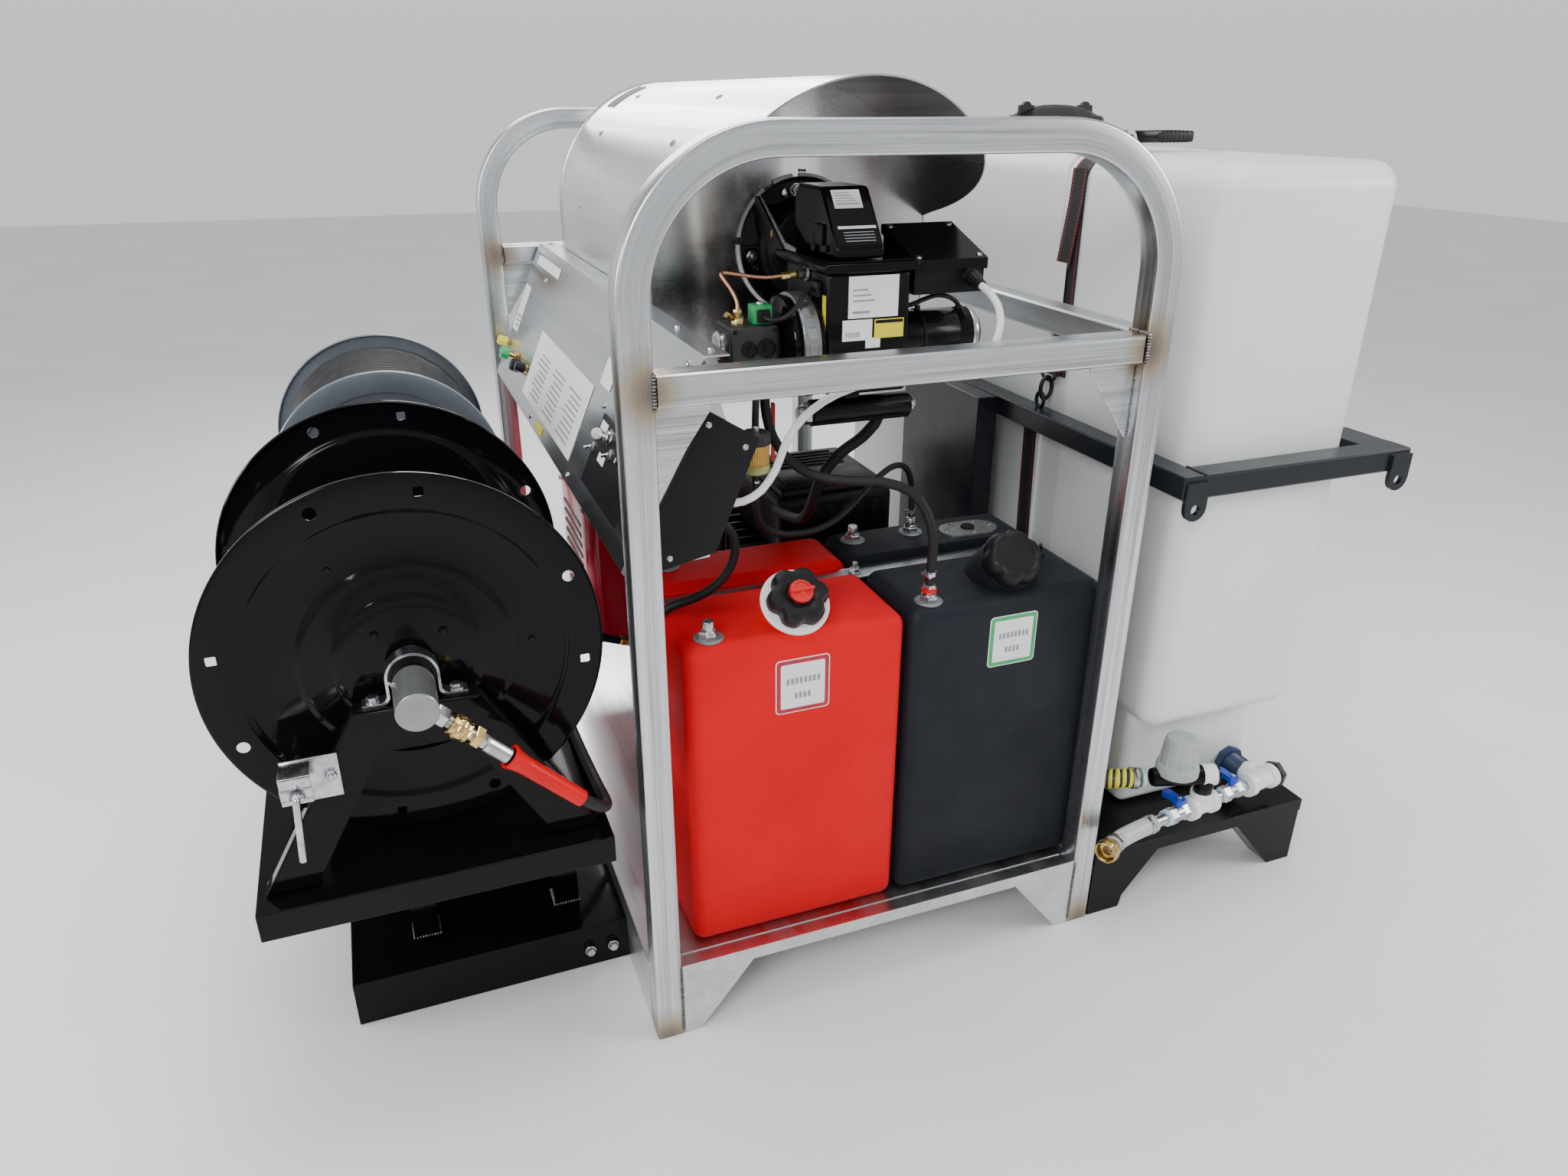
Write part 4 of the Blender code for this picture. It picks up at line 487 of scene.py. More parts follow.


# Painted reflections on the heater's front end plate: the dark bands are painted reflections, and the near-white stops
# at 0.288 and 0.470 to 0.530 are painted highlights.
LOOKS["plate"] = polished_painted_reflections("plate", [
    (0.195, (0.30, 0.31, 0.33)), (0.225, (0.62, 0.63, 0.65)), (0.250, (0.24, 0.24, 0.25)),
    (0.272, (0.30, 0.28, 0.26)), (0.288, (1.0, 0.99, 0.96)), (0.302, (0.52, 0.47, 0.42)),
    (0.345, (0.30, 0.29, 0.29)), (0.420, (0.42, 0.42, 0.43)), (0.455, (0.50, 0.50, 0.51)),
    (0.470, (0.95, 0.96, 0.97)), (0.530, (0.97, 0.98, 0.99)), (0.548, (0.46, 0.45, 0.44)),
    (0.620, (0.58, 0.57, 0.55)), (0.660, (0.36, 0.28, 0.27)), (0.690, (0.60, 0.58, 0.56)),
    (0.770, (0.74, 0.73, 0.71)),
])
LOOKS["wrap"] = brushed("wrap", (0.82, 0.83, 0.84), 0.26, (110, 1.6, 110), lines=0.90,
                        strength=0.04, cloud=2.2)
LOOKS["lining"] = brushed("lining", (0.16, 0.16, 0.165), 0.30, (110, 1.6, 110), lines=0.85,
                          strength=0.04)


# ---------------------------------------------------------------- shapes
def turn_to(direction):
    return Vector((0, 0, 1)).rotation_difference(Vector(direction)).to_matrix().to_4x4()


def turned(direction, offset):
    """An offset in the directions of a turned piece, back in the skid's own."""
    return turn_to(direction).to_3x3() @ Vector(offset)


def rounded(across, up, corner):
    """The outline of a rectangle with round corners."""
    outline = []
    for x, y, start in ((across[1] - corner, up[0] + corner, -90),
                        (across[1] - corner, up[1] - corner, 0),
                        (across[0] + corner, up[1] - corner, 90),
                        (across[0] + corner, up[0] + corner, 180)):
        outline += arc((x, y), corner, start, start + 90, 6)
    return outline


def placed(base, direction):
    return Matrix.Translation(spot(base)) @ turn_to(direction)


def around(direction):
    """Two unit vectors square to a direction."""
    forward = Vector(direction).normalized()
    side = UP.cross(forward)
    side = Vector(RIGHT) if side.length < 1e-4 else side.normalized()
    return side, forward.cross(side)


def ring_spots(count, radius, base, direction, start=0.0):
    side, lift = around(direction)
    found = []
    for step in range(count):
        angle = math.radians(start) + 2 * math.pi * step / count
        found.append(Vector(base) + side * radius * math.cos(angle)
                     + lift * radius * math.sin(angle))
    return found


class Piece:
    """One mesh piece of several shapes, which may have several materials."""

    def __init__(self, name, look, body="machine"):
        self.name, self.body, self.looks = name, body, []
        self.mesh = bmesh.new()
        self.uv = self.mesh.loops.layers.uv.new("UVMap")
        self.look = 0
        self.paint(look)

    def paint(self, look):
        if look not in self.looks:
            self.looks.append(look)
        self.look = self.looks.index(look)
        return self

    def take(self, faces):
        for face in faces:
            face.material_index = self.look
            face.smooth = True
        return self

    def merge(self, other, matrix=None):
        """Adds a separate bmesh, moved by the matrix."""
        if matrix is not None:
            bmesh.ops.transform(other, matrix=matrix, verts=other.verts)
        spare = bpy.data.meshes.new("spare")
        other.to_mesh(spare)
        other.free()
        before = set(self.mesh.faces)
        self.mesh.from_mesh(spare)
        bpy.data.meshes.remove(spare)
        return self.take([face for face in self.mesh.faces if face not in before])

    def box(self, x, y, z, bevel=0.0, segments=2, matrix=None):
        shape = bmesh.new()
        bmesh.ops.create_cube(shape, size=1.0)
        size = (x[1] - x[0], y[1] - y[0], z[1] - z[0])
        middle = Vector(((x[0] + x[1]) / 2, (y[0] + y[1]) / 2, (z[0] + z[1]) / 2))
        bmesh.ops.scale(shape, vec=size, verts=shape.verts)
        bmesh.ops.translate(shape, vec=middle, verts=shape.verts)
        if bevel:
            bmesh.ops.bevel(shape, geom=shape.edges[:], offset=bevel, segments=segments,
                            profile=0.5, affect="EDGES")
        return self.merge(shape, Matrix.Translation(FOOT) if matrix is None else matrix)

    def rod(self, start, end, radius, sides=24, end_radius=None, bevel=0.0):
        start, end = Vector(start), Vector(end)
        last = radius if end_radius is None else end_radius
        length = (end - start).length
        edge = min(bevel, length / 3, radius / 2)
        profile = [(0, 0), (radius, 0), (last, length), (0, length)]
        if edge:
            profile = [(0, 0), (radius - edge, 0), (radius, edge), (last, length - edge),
                       (last - edge, length), (0, length)]
        return self.lathe(profile, start, end - start, sides)

    def lathe(self, profile, base, direction, sides=48, lobes=None):
        """Turns (radius, height) points. lobes(angle) may scale the radius."""
        shape = bmesh.new()
        rings = []
        for radius, height in profile:
            if radius < 1e-7:
                rings.append([shape.verts.new((0, 0, height))])
                continue
            ring = []
            for step in range(sides):
                angle = 2 * math.pi * step / sides
                reach = radius * (lobes(angle) if lobes else 1.0)
                ring.append(shape.verts.new((reach * math.cos(angle), reach * math.sin(angle),
                                             height)))
            rings.append(ring)
        pairs = list(zip(rings, rings[1:]))
        if len(rings[0]) > 1:
            pairs.append((rings[-1], rings[0]))
        for low, high in pairs:
            for step in range(sides):
                after = (step + 1) % sides
                if len(low) == 1:
                    shape.faces.new((low[0], high[after], high[step]))
                elif len(high) == 1:
                    shape.faces.new((low[step], low[after], high[0]))
                else:
                    shape.faces.new((low[step], low[after], high[after], high[step]))
        bmesh.ops.recalc_face_normals(shape, faces=shape.faces)
        return self.merge(shape, placed(base, direction))

    def hexagon(self, base, direction, width, height, sides=6):
        """A nut or bolt head with its corners turned off, width across flats."""
        radius = width / 2 / math.cos(math.pi / sides)
        top = [(0, 0), (radius, 0), (radius, height * 0.82), (radius * 0.90, height), (0, height)]
        return self.lathe(top, base, direction, sides)

    def bolt(self, base, direction, size=0.010, washer=True, thread=0.0):
        """Washer, hexagon head and a little of the thread."""
        direction = Vector(direction).normalized()
        base = Vector(base)
        if washer:
            self.rod(base, base + direction * size * 0.16, size * 1.05, 24, bevel=0.0004)
            base = base + direction * size * 0.16
        self.hexagon(base, direction, size * 1.55, size * 0.65)
        if thread:
            self.rod(base, base + direction * (size * 0.65 + thread), size * 0.48, 16,
                     bevel=0.0008)
        return self

    def prism(self, outline, axis, span, matrix=None):
        shape = bmesh.new()
        order = {"X": (1, 2, 0), "Y": (0, 2, 1), "Z": (0, 1, 2)}[axis]
        loops = []
        for along in span:
            loop = []
            for first, second in outline:
                place = [0.0, 0.0, 0.0]
                place[order[0]], place[order[1]], place[order[2]] = first, second, along
                loop.append(shape.verts.new(place))
            loops.append(loop)
        shape.faces.new(loops[0])
        shape.faces.new(loops[1])
        count = len(outline)
        for step in range(count):
            after = (step + 1) % count
            shape.faces.new((loops[0][step], loops[0][after], loops[1][after], loops[1][step]))
        bmesh.ops.recalc_face_normals(shape, faces=shape.faces)
        return self.merge(shape, Matrix.Translation(FOOT) if matrix is None else matrix)

    def sweep(self, path, section, side=None, loop=False, caps=True):
        """Carries a closed section of (side, outward) along a path, with UVs in metres."""
        points = [Vector(p) for p in path]
        rings, lengths, travelled = [], [], 0.0
        lift = None
        for index, point in enumerate(points):
            before = points[index - 1] if index or loop else point
            after = points[(index + 1) % len(points)] if index + 1 < len(points) or loop else point
            forward = (after - before).normalized()
            if side is not None:
                across, out = Vector(side), Vector(side).cross(forward)
            else:
                if lift is None:
                    lift = around(forward)[1]
                across = lift.cross(forward).normalized()
                lift = forward.cross(across)
                out = lift
            if index:
                travelled += (point - points[index - 1]).length
            lengths.append(travelled)
            rings.append([self.mesh.verts.new(spot(point + across * a + out * o)) for a,
                          o in section])
        round_at = [0.0]
        for index in range(len(section)):
            a, b = Vector(section[index]), Vector(section[(index + 1) % len(section)])
            round_at.append(round_at[-1] + (b - a).length)
        made = []
        count = len(section)
        pairs = list(range(len(rings) - 1)) + ([len(rings) - 1] if loop else [])
        for row in pairs:
            following = (row + 1) % len(rings)
            v0, v1 = lengths[row], lengths[following] if following else travelled + 0.01
            for step in range(count):
                after = (step + 1) % count
                face = self.mesh.faces.new((rings[row][step], rings[row][after],
                                            rings[following][after], rings[following][step]))
                values = ((round_at[step], v0), (round_at[step + 1], v0),
                          (round_at[step + 1], v1), (round_at[step], v1))
                for corner, value in zip(face.loops, values):
                    corner[self.uv].uv = value
                made.append(face)
        if caps and not loop:
            made.append(self.mesh.faces.new(list(reversed(rings[0]))))
            made.append(self.mesh.faces.new(rings[-1]))
        return self.take(made)

    def pipe(self, path, radius, sides=16, loop=False):
        circle = []
        for step in range(sides):
            angle = 2 * math.pi * step / sides
            circle.append((radius * math.cos(angle), radius * math.sin(angle)))
        return self.sweep(path, circle, loop=loop)

    def bead(self, path, radius=0.004, pitch=0.005):
        """A weld: overlapping flattened lumps along a line."""
        points = [Vector(p) for p in path]
        for start, end in zip(points, points[1:]):
            count = max(int((end - start).length / pitch), 1)
            for step in range(count + 1):
                middle = start.lerp(end, step / count)
                size = radius * random.uniform(0.85, 1.2)
                self.lathe([(0, -size * 0.9), (size * 0.8, -size * 0.45), (size, 0),
                            (size * 0.8, size * 0.45), (0, size * 0.9)],
                           middle, end - start, 7)
        return self

    def clamp(self, middle, direction, radius, width=0.010, screw=0.0):
        """A worm clamp: slotted band with its screw housing."""
        direction = Vector(direction).normalized()
        base = Vector(middle) - direction * width / 2
        self.lathe([(radius, 0), (radius + 0.0012, 0), (radius + 0.0012, width), (radius, width)],
                   base, direction, 36)
        out = ring_spots(1, 1.0, (0, 0, 0), direction, screw)[0]
        along = direction.cross(out).normalized()
        seat = Vector(middle) + out * (radius + 0.004)
        self.rod(seat - along * 0.009, seat + along * 0.007, 0.0042, 12, bevel=0.0006)
        self.hexagon(seat + along * 0.007, along, 0.0085, 0.005)
        return self

    def done(self, replaces=(), slot=None, bevel=0.0, angle=35, segments=2):
        mesh = bpy.data.meshes.new(self.name)
        bmesh.ops.recalc_face_normals(self.mesh, faces=self.mesh.faces)
        self.mesh.to_mesh(mesh)
        self.mesh.free()
        for look in self.looks:
            mesh.materials.append(LOOKS[look])
        mesh.set_sharp_from_angle(angle=math.radians(angle))
        made = bpy.data.objects.new(self.name, mesh)
        bpy.context.scene.collection.objects.link(made)
        soften(made, bevel, segments)
        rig.ride(made, self.body)
        if replaces:
            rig.replaces(made, *([replaces] if isinstance(replaces, str) else replaces))
        if slot:
            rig.slot(made, slot)
        return made


def soften(made, bevel, segments=2):
    """Small rounded edges, which catch the light."""
    if bevel:
        modifier = made.modifiers.new("edges", "BEVEL")
        modifier.width = bevel
        modifier.segments = segments
        modifier.limit_method = "ANGLE"
        modifier.angle_limit = math.radians(38)
        modifier.harden_normals = True


def dress(node, look, bevel=0.0015, segments=2):
    """Gives a CAD node its material, soft edges and smooth round faces."""
    made = frame["nodes"][node]
    for slot in made.material_slots:
        slot.material = LOOKS[look]
    if not made.material_slots:
        made.data.materials.append(LOOKS[look])
    for layer in [a.name for a in made.data.attributes if a.name == "custom_normal"]:
        made.data.attributes.remove(made.data.attributes[layer])
    weld = made.modifiers.new("weld", "WELD")
    weld.merge_threshold = 0.00002
    soften(made, bevel, segments)
    return made


def cut(made, cutters):
    """Takes closed pieces away from a mesh piece, for good."""
    for cutter in cutters:
        boolean = made.modifiers.new("cut", "BOOLEAN")
        boolean.operation = "DIFFERENCE"
        boolean.solver = "EXACT"
        boolean.object = cutter
    names = [m.name for m in made.modifiers if m.type == "BOOLEAN"]
    edges = [m for m in made.modifiers if m.type == "BEVEL"]
    for modifier in edges:
        modifier.show_viewport = False
    graph = bpy.context.evaluated_depsgraph_get()
    mesh = bpy.data.meshes.new_from_object(made.evaluated_get(graph))
    made.data = mesh
    for name in names:
        made.modifiers.remove(made.modifiers[name])
    for modifier in edges:
        modifier.show_viewport = True
    mesh.shade_smooth()
    mesh.set_sharp_from_angle(angle=math.radians(35))
    for cutter in cutters:
        bpy.data.objects.remove(cutter, do_unlink=True)
    return made


def cutter(build):
    """A closed helper made by a function that fills a piece."""
    piece = Piece("cutter", "block")
    build(piece)
    mesh = bpy.data.meshes.new("cutter")
    bmesh.ops.recalc_face_normals(piece.mesh, faces=piece.mesh.faces)
    piece.mesh.to_mesh(mesh)
    piece.mesh.free()
    made = bpy.data.objects.new("cutter", mesh)
    bpy.context.scene.collection.objects.link(made)
    return made


def puck(radius, height):
    """The outline that turns into a plain flat-ended cylinder."""
    return [(0, 0), (radius, 0), (radius, height), (0, height)]


def arc(middle, radius, start, end, steps):
    points = []
    for step in range(steps + 1):
        angle = math.radians(start + (end - start) * step / steps)
        points.append((middle[0] + radius * math.cos(angle), middle[1] + radius * math.sin(angle)))
    return points


def bend(start, leave, end, arrive, steps):
    """Points on a Bezier curve, given how it leaves the start and meets the end."""
    a, d = Vector(start), Vector(end)
    b, c = a + Vector(leave), d - Vector(arrive)
    points = []
    for step in range(steps + 1):
        t = step / steps
        u = 1 - t
        points.append(u ** 3 * a + 3 * u * u * t * b + 3 * u * t * t * c + t ** 3 * d)
    return points


def smooth_route(points, per_span=3):
    spots = [Vector(point) for point in points]
    spots = [2 * spots[0] - spots[1], *spots, 2 * spots[-1] - spots[-2]]
    route = []
    for index in range(1, len(spots) - 2):
        a, b, c, d = spots[index - 1 : index + 3]
        for step in range(per_span):
            t = step / per_span
            route.append(0.5 * (2 * b + (c - a) * t + (2 * a - 5 * b + 4 * c - d) * t * t
                                + (3 * b - a - 3 * c + d) * t ** 3))
    route.append(spots[-2])
    return route


def join_routes(*parts):
    route = []
    for part in parts:
        for point in part:
            if not route or (Vector(point) - route[-1]).length > 1e-5:
                route.append(Vector(point))
    return route


def length_of(route):
    return sum((b - a).length for a, b in zip(route, route[1:]))


# ---------------------------------------------------------------- camera
def make_camera():
    data = bpy.data.cameras.new("camera")
    data.sensor_width = 36.0
    data.lens = 24.80
    data.clip_start, data.clip_end = 0.05, 60.0
    made = bpy.data.objects.new("camera", data)
    forward = Vector((0.328, 0.850, -0.413)).normalized()
    right = Vector((0.933, -0.359, 0.003))
    right = (right - forward * right.dot(forward)).normalized()
    up = right.cross(forward)
    turn = Matrix((right, up, -forward)).transposed().to_4x4()
    made.matrix_world = Matrix.Translation(spot(-0.3274, -1.5005, 1.6340)) @ turn
    bpy.context.scene.collection.objects.link(made)
    bpy.context.scene.camera = made


make_camera()


# ---------------------------------------------------------------- room
def make_room():
    world = bpy.data.worlds.new("studio")
    bpy.context.scene.world = world
    world.use_nodes = True
    tree = world.node_tree
    coords = tree.nodes.new("ShaderNodeTexCoord")
    split = tree.nodes.new("ShaderNodeSeparateXYZ")
    ramp = tree.nodes.new("ShaderNodeValToRGB")
    tree.links.new(coords.outputs["Generated"], split.inputs[0])
    share = tree.nodes.new("ShaderNodeMapRange")
    tree.links.new(split.outputs["Z"], share.inputs["Value"])
    share.inputs["From Min"].default_value = -1.0
    share.inputs["From Max"].default_value = 1.0
    tree.links.new(share.outputs["Result"], ramp.inputs["Fac"])
    stops = [(0.0, 0.80), (0.49, 0.92), (0.56, 0.98), (0.66, 0.50), (0.80, 0.62), (1.0, 1.25)]
    while len(ramp.color_ramp.elements) < len(stops):
        ramp.color_ramp.elements.new(0.5)
    for element, (place, tone) in zip(ramp.color_ramp.elements, stops):
        element.position = place
        element.color = (tone * 0.98, tone, tone * 1.02, 1.0)
    background = tree.nodes["Background"]
    tree.links.new(ramp.outputs["Color"], background.inputs["Color"])
    background.inputs["Strength"].default_value = 0.92
    floor_mesh = bmesh.new()
    bmesh.ops.create_grid(floor_mesh, x_segments=4, y_segments=4, size=16.0)
    mesh = bpy.data.meshes.new("floor")
    floor_mesh.to_mesh(mesh)
    floor_mesh.free()
    floor = bpy.data.objects.new("floor", mesh)
    floor.location.z = -0.0008
    look = Look("floor", (0.84, 0.84, 0.835), 0.62)
    cloud = look.noise(look.coords(), 1.3, 5.0, 0.6)
    mixed = look.mix(look.span(cloud, 0.3, 0.7), (0.80, 0.80, 0.795), (0.86, 0.86, 0.855))
    mesh.materials.append(look.use(mixed, None, look.noise(look.coords(), 140.0), 0.08))
    bpy.context.scene.collection.objects.link(floor)
    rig.stage(floor)
    panels = [
        ("key", (-2.6, -2.9, 3.3), (0.3, 0.4, 0.8), 1.9, 130),
        ("left", (-3.2, 1.2, 1.9), (0.3, 0.6, 0.8), 1.6, 45),
        ("right", (3.6, -1.4, 2.3), (0.6, 0.5, 0.7), 1.5, 52),
        ("top", (0.3, 0.4, 4.2), (0.4, 0.6, 0.6), 2.4, 70),
        ("back", (1.0, 4.6, 2.8), (0.5, 0.8, 0.9), 2.2, 75),
    ]
    for name, place, target, size, power in panels:
        data = bpy.data.lights.new(name, "AREA")
        data.shape = "RECTANGLE"
        data.size, data.size_y = size, size * 0.62
        data.energy = power
        lamp = bpy.data.objects.new(name, data)
        lamp.location = spot(*place)
        aim = Vector(target) - Vector(place)
        lamp.rotation_euler = aim.to_track_quat("-Z", "Y").to_euler()
        bpy.context.scene.collection.objects.link(lamp)


make_room()


# ---------------------------------------------------------------- cords
def even(route, step):
    """The same route with its points a fixed distance apart."""
    points = [Vector(p) for p in route]
    total = length_of(points)
    count = max(int(round(total / step)), 2)
    found, travelled, index = [points[0]], 0.0, 0
    for number in range(1, count):
        want = total * number / count
        while travelled + (points[index + 1] - points[index]).length < want:
            travelled += (points[index + 1] - points[index]).length
            index += 1
        leg = points[index + 1] - points[index]
        found.append(points[index] + leg * ((want - travelled) / leg.length))
    return [*found, points[-1]]


def supply_route():
    start, turn = SWIVEL + HOSE_DIR * 0.1705, SWIVEL + HOSE_DIR * 0.3123
    side, rest = -0.060, 0.490 + 0.010 + 0.0005
    settle = Vector((0, 0.98, -0.20))
    landing = (side, 0.0385, 0.5414)
    outlet = Vector((0.1485, 0.860, 0.415))
    facing = Vector((-0.955, 0.0, 0.296))
    return join_routes(
        [start, start.lerp(turn, 0.34), start.lerp(turn, 0.67)],
        bend(turn, HOSE_DIR * 0.0448, landing, settle * 0.0448, 7),
        bend(landing, settle * 0.135, (side, 0.440, rest), (0, 0.135, 0), 9),
        [(side, 0.500, rest), (side, 0.560, rest)],
        bend((side, 0.620, rest), (0, 0.055, 0), (0.0, 0.765, rest), (0.038, 0.038, 0), 6),
        bend((0.0, 0.765, rest), (0.042, 0.042, 0), outlet, facing * -0.075, 8),
    )


def suction_route():
    start = TUBE_AT + TUBE_DIR * 0.1485
    port, inner = Vector((0.400, 0.611, 0.278)), Vector((0.335, 0.655, 0.298))
    leave = (port - inner).normalized()
    down = Vector((0, 0.98, -0.196))
    side, behind, corner = 0.968, 0.620, 0.160
    on_shelf, on_floor = 0.165 + 0.022 + 0.0015, 0.146 + 0.022 + 0.0005
    handle = corner * 0.5523
    ahead, left = Vector(BACK), Vector(LEFT)
    return join_routes(
        bend(start, TUBE_DIR * 0.0735, (side, 0.2075, 0.255), down * 0.085, 9),
        bend((side, 0.2075, 0.255), down * 0.090, (side, 0.430, on_shelf), ahead * 0.090, 8),
        bend((side, behind - corner, on_shelf), ahead * handle,
             (side - corner, behind, on_floor + 0.006), left * handle, 9),
        bend((side - corner, behind, on_floor + 0.006), left * 0.150,
             port + leave * 0.003, -leave * 0.150, 14),
    )


def lead_route():
    return join_routes(
        [(0.690, 0.187, 1.339), (0.690, 0.1680, 1.3329)],
        smooth_route([
            (0.690, 0.150, 1.327), (0.689, 0.123, 1.313), (0.684, 0.102, 1.289),
            (0.672, 0.092, 1.259), (0.648, 0.089, 1.233), (0.610, 0.089, 1.217),
            (0.560, 0.091, 1.212), (0.500, 0.093, 1.212), (0.440, 0.096, 1.207),
            (0.383, 0.102, 1.191), (0.343, 0.111, 1.166), (0.316, 0.119, 1.136),
            (0.299, 0.124, 1.103), (0.284, 0.124, 1.066), (0.256, 0.118, 1.034),
            (0.220, 0.109, 1.022), (0.185, 0.101, 1.028), (0.158, 0.098, 1.043),
        ], 2),
    )


def fuel_route():
    bung = TANK_TOP + 0.0345
    return join_routes(
        [(0.577, 0.098, bung), (0.5775, 0.098, bung + 0.020)],
        smooth_route([
            (0.579, 0.0985, bung + 0.045), (0.5805, 0.101, 0.905), (0.573, 0.115, 0.953),
            (0.548, 0.134, 0.990), (0.503, 0.160, 1.006), (0.447, 0.188, 1.006),
            (0.392, 0.216, 1.014), (0.352, 0.240, 1.041), (0.329, 0.257, 1.080),
            (0.320, 0.267, 1.118), (0.318, 0.271, 1.155), (0.318, 0.272, 1.1893),
        ], 2),
    )


def lay_cord(name, look, route, diameter, stiffness="medium", lay="loose", replaced=(),
             slot="rubber_black", body="machine", sides=20, far_end="object", on_it=(), step=0.0):
    """A round cord as a mesh tube that follows its route, declared with its facts."""
    points = even(route, step) if step else [Vector(p) for p in route]
    piece = Piece(name, look, body).pipe(points, diameter / 2, sides)
    made = piece.done(replaced, slot)
    path = [tuple(spot(p)) for p in points]
    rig.cord(made, exit=path[0], length=round(length_of(points), 3), diameter=diameter,
            far_end=far_end, stiffness=stiffness, lay=lay, path=path, with_pieces=on_it)
    return made


def ribbed_hose():
    """The yellow suction hose: a raised yellow rib and a black groove wind round it."""
    radius, pitch, sides = 0.022, 0.0135, 28
    points = even(suction_route(), 0.0028)
    look = Look("ribbed", (0.80, 0.70, 0.05), 0.30)
    place = look.coords((1, 1, 1), "UV")
    split = look.node("SeparateXYZ")
    look.link(place, split.inputs[0])
    around_share = look.math("DIVIDE", split.outputs[0], 2 * math.pi * radius)
    turns = look.math("ADD", look.math("DIVIDE", split.outputs[1], pitch), around_share)
    phase = look.math("ABSOLUTE", look.math("SUBTRACT", look.math("FRACT", turns), 0.5))
    cloud = look.noise(look.coords(), 30.0)
    yellow = look.mix(look.span(cloud, 0.3, 0.7), (0.72, 0.64, 0.02), (0.86, 0.80, 0.06))
    color = look.mix(look.span(phase, 0.27, 0.31), yellow, (0.015, 0.015, 0.015))
    LOOKS["ribbed"] = look.use(color, look.span(cloud, 0.3, 0.7, 0.26, 0.40))
    shape = Piece("suction_hose_run", "ribbed")
    rings, lift, travelled = [], None, 0.0
    for index, point in enumerate(points):
        before, after = points[max(index - 1, 0)], points[min(index + 1, len(points) - 1)]
        forward = (after - before).normalized()
        lift = around(forward)[1] if lift is None else lift
        across = lift.cross(forward).normalized()
        lift = forward.cross(across)
        travelled += (point - points[index - 1]).length if index else 0.0
        ring = []
        for step in range(sides):
            share = step / sides
            phase_here = abs((travelled / pitch + share) % 1.0 - 0.5)
            reach = radius - RIB_HEIGHT * min(max((phase_here - 0.10) / 0.14, 0.0), 1.0)
            angle = 2 * math.pi * share
            ring.append(shape.mesh.verts.new(spot(
                point + across * reach * math.cos(angle) + lift * reach * math.sin(angle))))
        rings.append((ring, travelled))
    made = []
    for (low, v0), (high, v1) in zip(rings, rings[1:]):
        for step in range(sides):
            after = (step + 1) % sides
            face = shape.mesh.faces.new((low[step], low[after], high[after], high[step]))
            u0, u1 = (2 * math.pi * radius * s / sides for s in (step, step + 1))
            for corner, value in zip(face.loops, ((u0, v0), (u1, v0), (u1, v1), (u0, v1))):
                corner[shape.uv].uv = value
            made.append(face)
    made.append(shape.mesh.faces.new(list(reversed(rings[0][0]))))
    made.append(shape.mesh.faces.new(rings[-1][0]))
    shape.take(made)
    hose = shape.done("suction_hose", "hose_yellow")
    path = [tuple(spot(p)) for p in points]
    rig.cord(hose, exit=path[0], length=round(length_of(points), 3), diameter=2 * radius,
            far_end="object", stiffness="stiff", lay="loose", path=path)


def hose_guard():
    """The red sleeve over the start of the hose, flared where it meets the ferrule."""
    route = even(supply_route(), 0.002)
    guard = Piece("hose_guard", "red_gloss")
    sides, travelled = 28, 0.0
    inside, outside = [], []
    lift = None
    for index, point in enumerate(route):
        forward = (route[min(index + 1, len(route) - 1)] - route[max(index - 1, 0)]).normalized()
        lift = around(forward)[1] if lift is None else lift
        across = lift.cross(forward).normalized()
        lift = forward.cross(across)
        travelled += (point - route[index - 1]).length if index else 0.0
        if travelled < 0.0018 or travelled > 0.150:
            continue
        share = (travelled - 0.0018) / 0.148
        outer = 0.0152 + 0.0052 * max(1 - share / 0.22, 0.0) ** 1.6 - 0.0012 * share
        inner = 0.0104 + 0.0050 * max(1 - share / 0.12, 0.0)
        for store, reach in ((outside, outer), (inside, inner)):
            ring = []
            for step in range(sides):
                angle = 2 * math.pi * step / sides
                ring.append(guard.mesh.verts.new(spot(
                    point + across * reach * math.cos(angle) + lift * reach * math.sin(angle))))
            store.append(ring)
    made = []
    for store in (outside, inside):
        for low, high in zip(store, store[1:]):
            for step in range(sides):
                after = (step + 1) % sides
                made.append(guard.mesh.faces.new((low[step], low[after], high[after], high[step])))
    for end in (0, -1):
        for step in range(sides):
            after = (step + 1) % sides
            made.append(guard.mesh.faces.new((outside[end][step], outside[end][after],
                                              inside[end][after], inside[end][step])))
    guard.take(made)
    return guard.done()


lay_cord("supply_hose_run", "rubber", supply_route(), 0.020, "medium", replaced="supply_hose",
         on_it=[hose_guard()])
lay_cord("burner_lead_run", "cable", lead_route(), 0.0135, "medium", replaced="burner_lead",
         slot="cable_white")
lay_cord("fuel_line_run", "rubber", fuel_route(), 0.018, "medium", replaced="fuel_line")
ribbed_hose()


# ---------------------------------------------------------------- frame
def tube_outline():
    half, corner = TUBE / 2, 0.0045
    points = []
    for sx, sy, start in ((1, 1, 0), (-1, 1, 90), (-1, -1, 180), (1, -1, 270)):
        points += arc((sx * (half - corner), sy * (half - corner)), corner, start, start + 90, 3)
    return points


def hoop_path(y):
    half = TUBE / 2
    radius = HOOP_R - half
    left = arc((HOOP_R, FRAME_H - HOOP_R), radius, 180, 90, 22)
    right = arc((FRAME_W - HOOP_R, FRAME_H - HOOP_R), radius, 90, 0, 22)
    return [(x, y + half, z) for x, z in [(half, 0.0), *left, *right, (FRAME_W - half, 0.0)]]


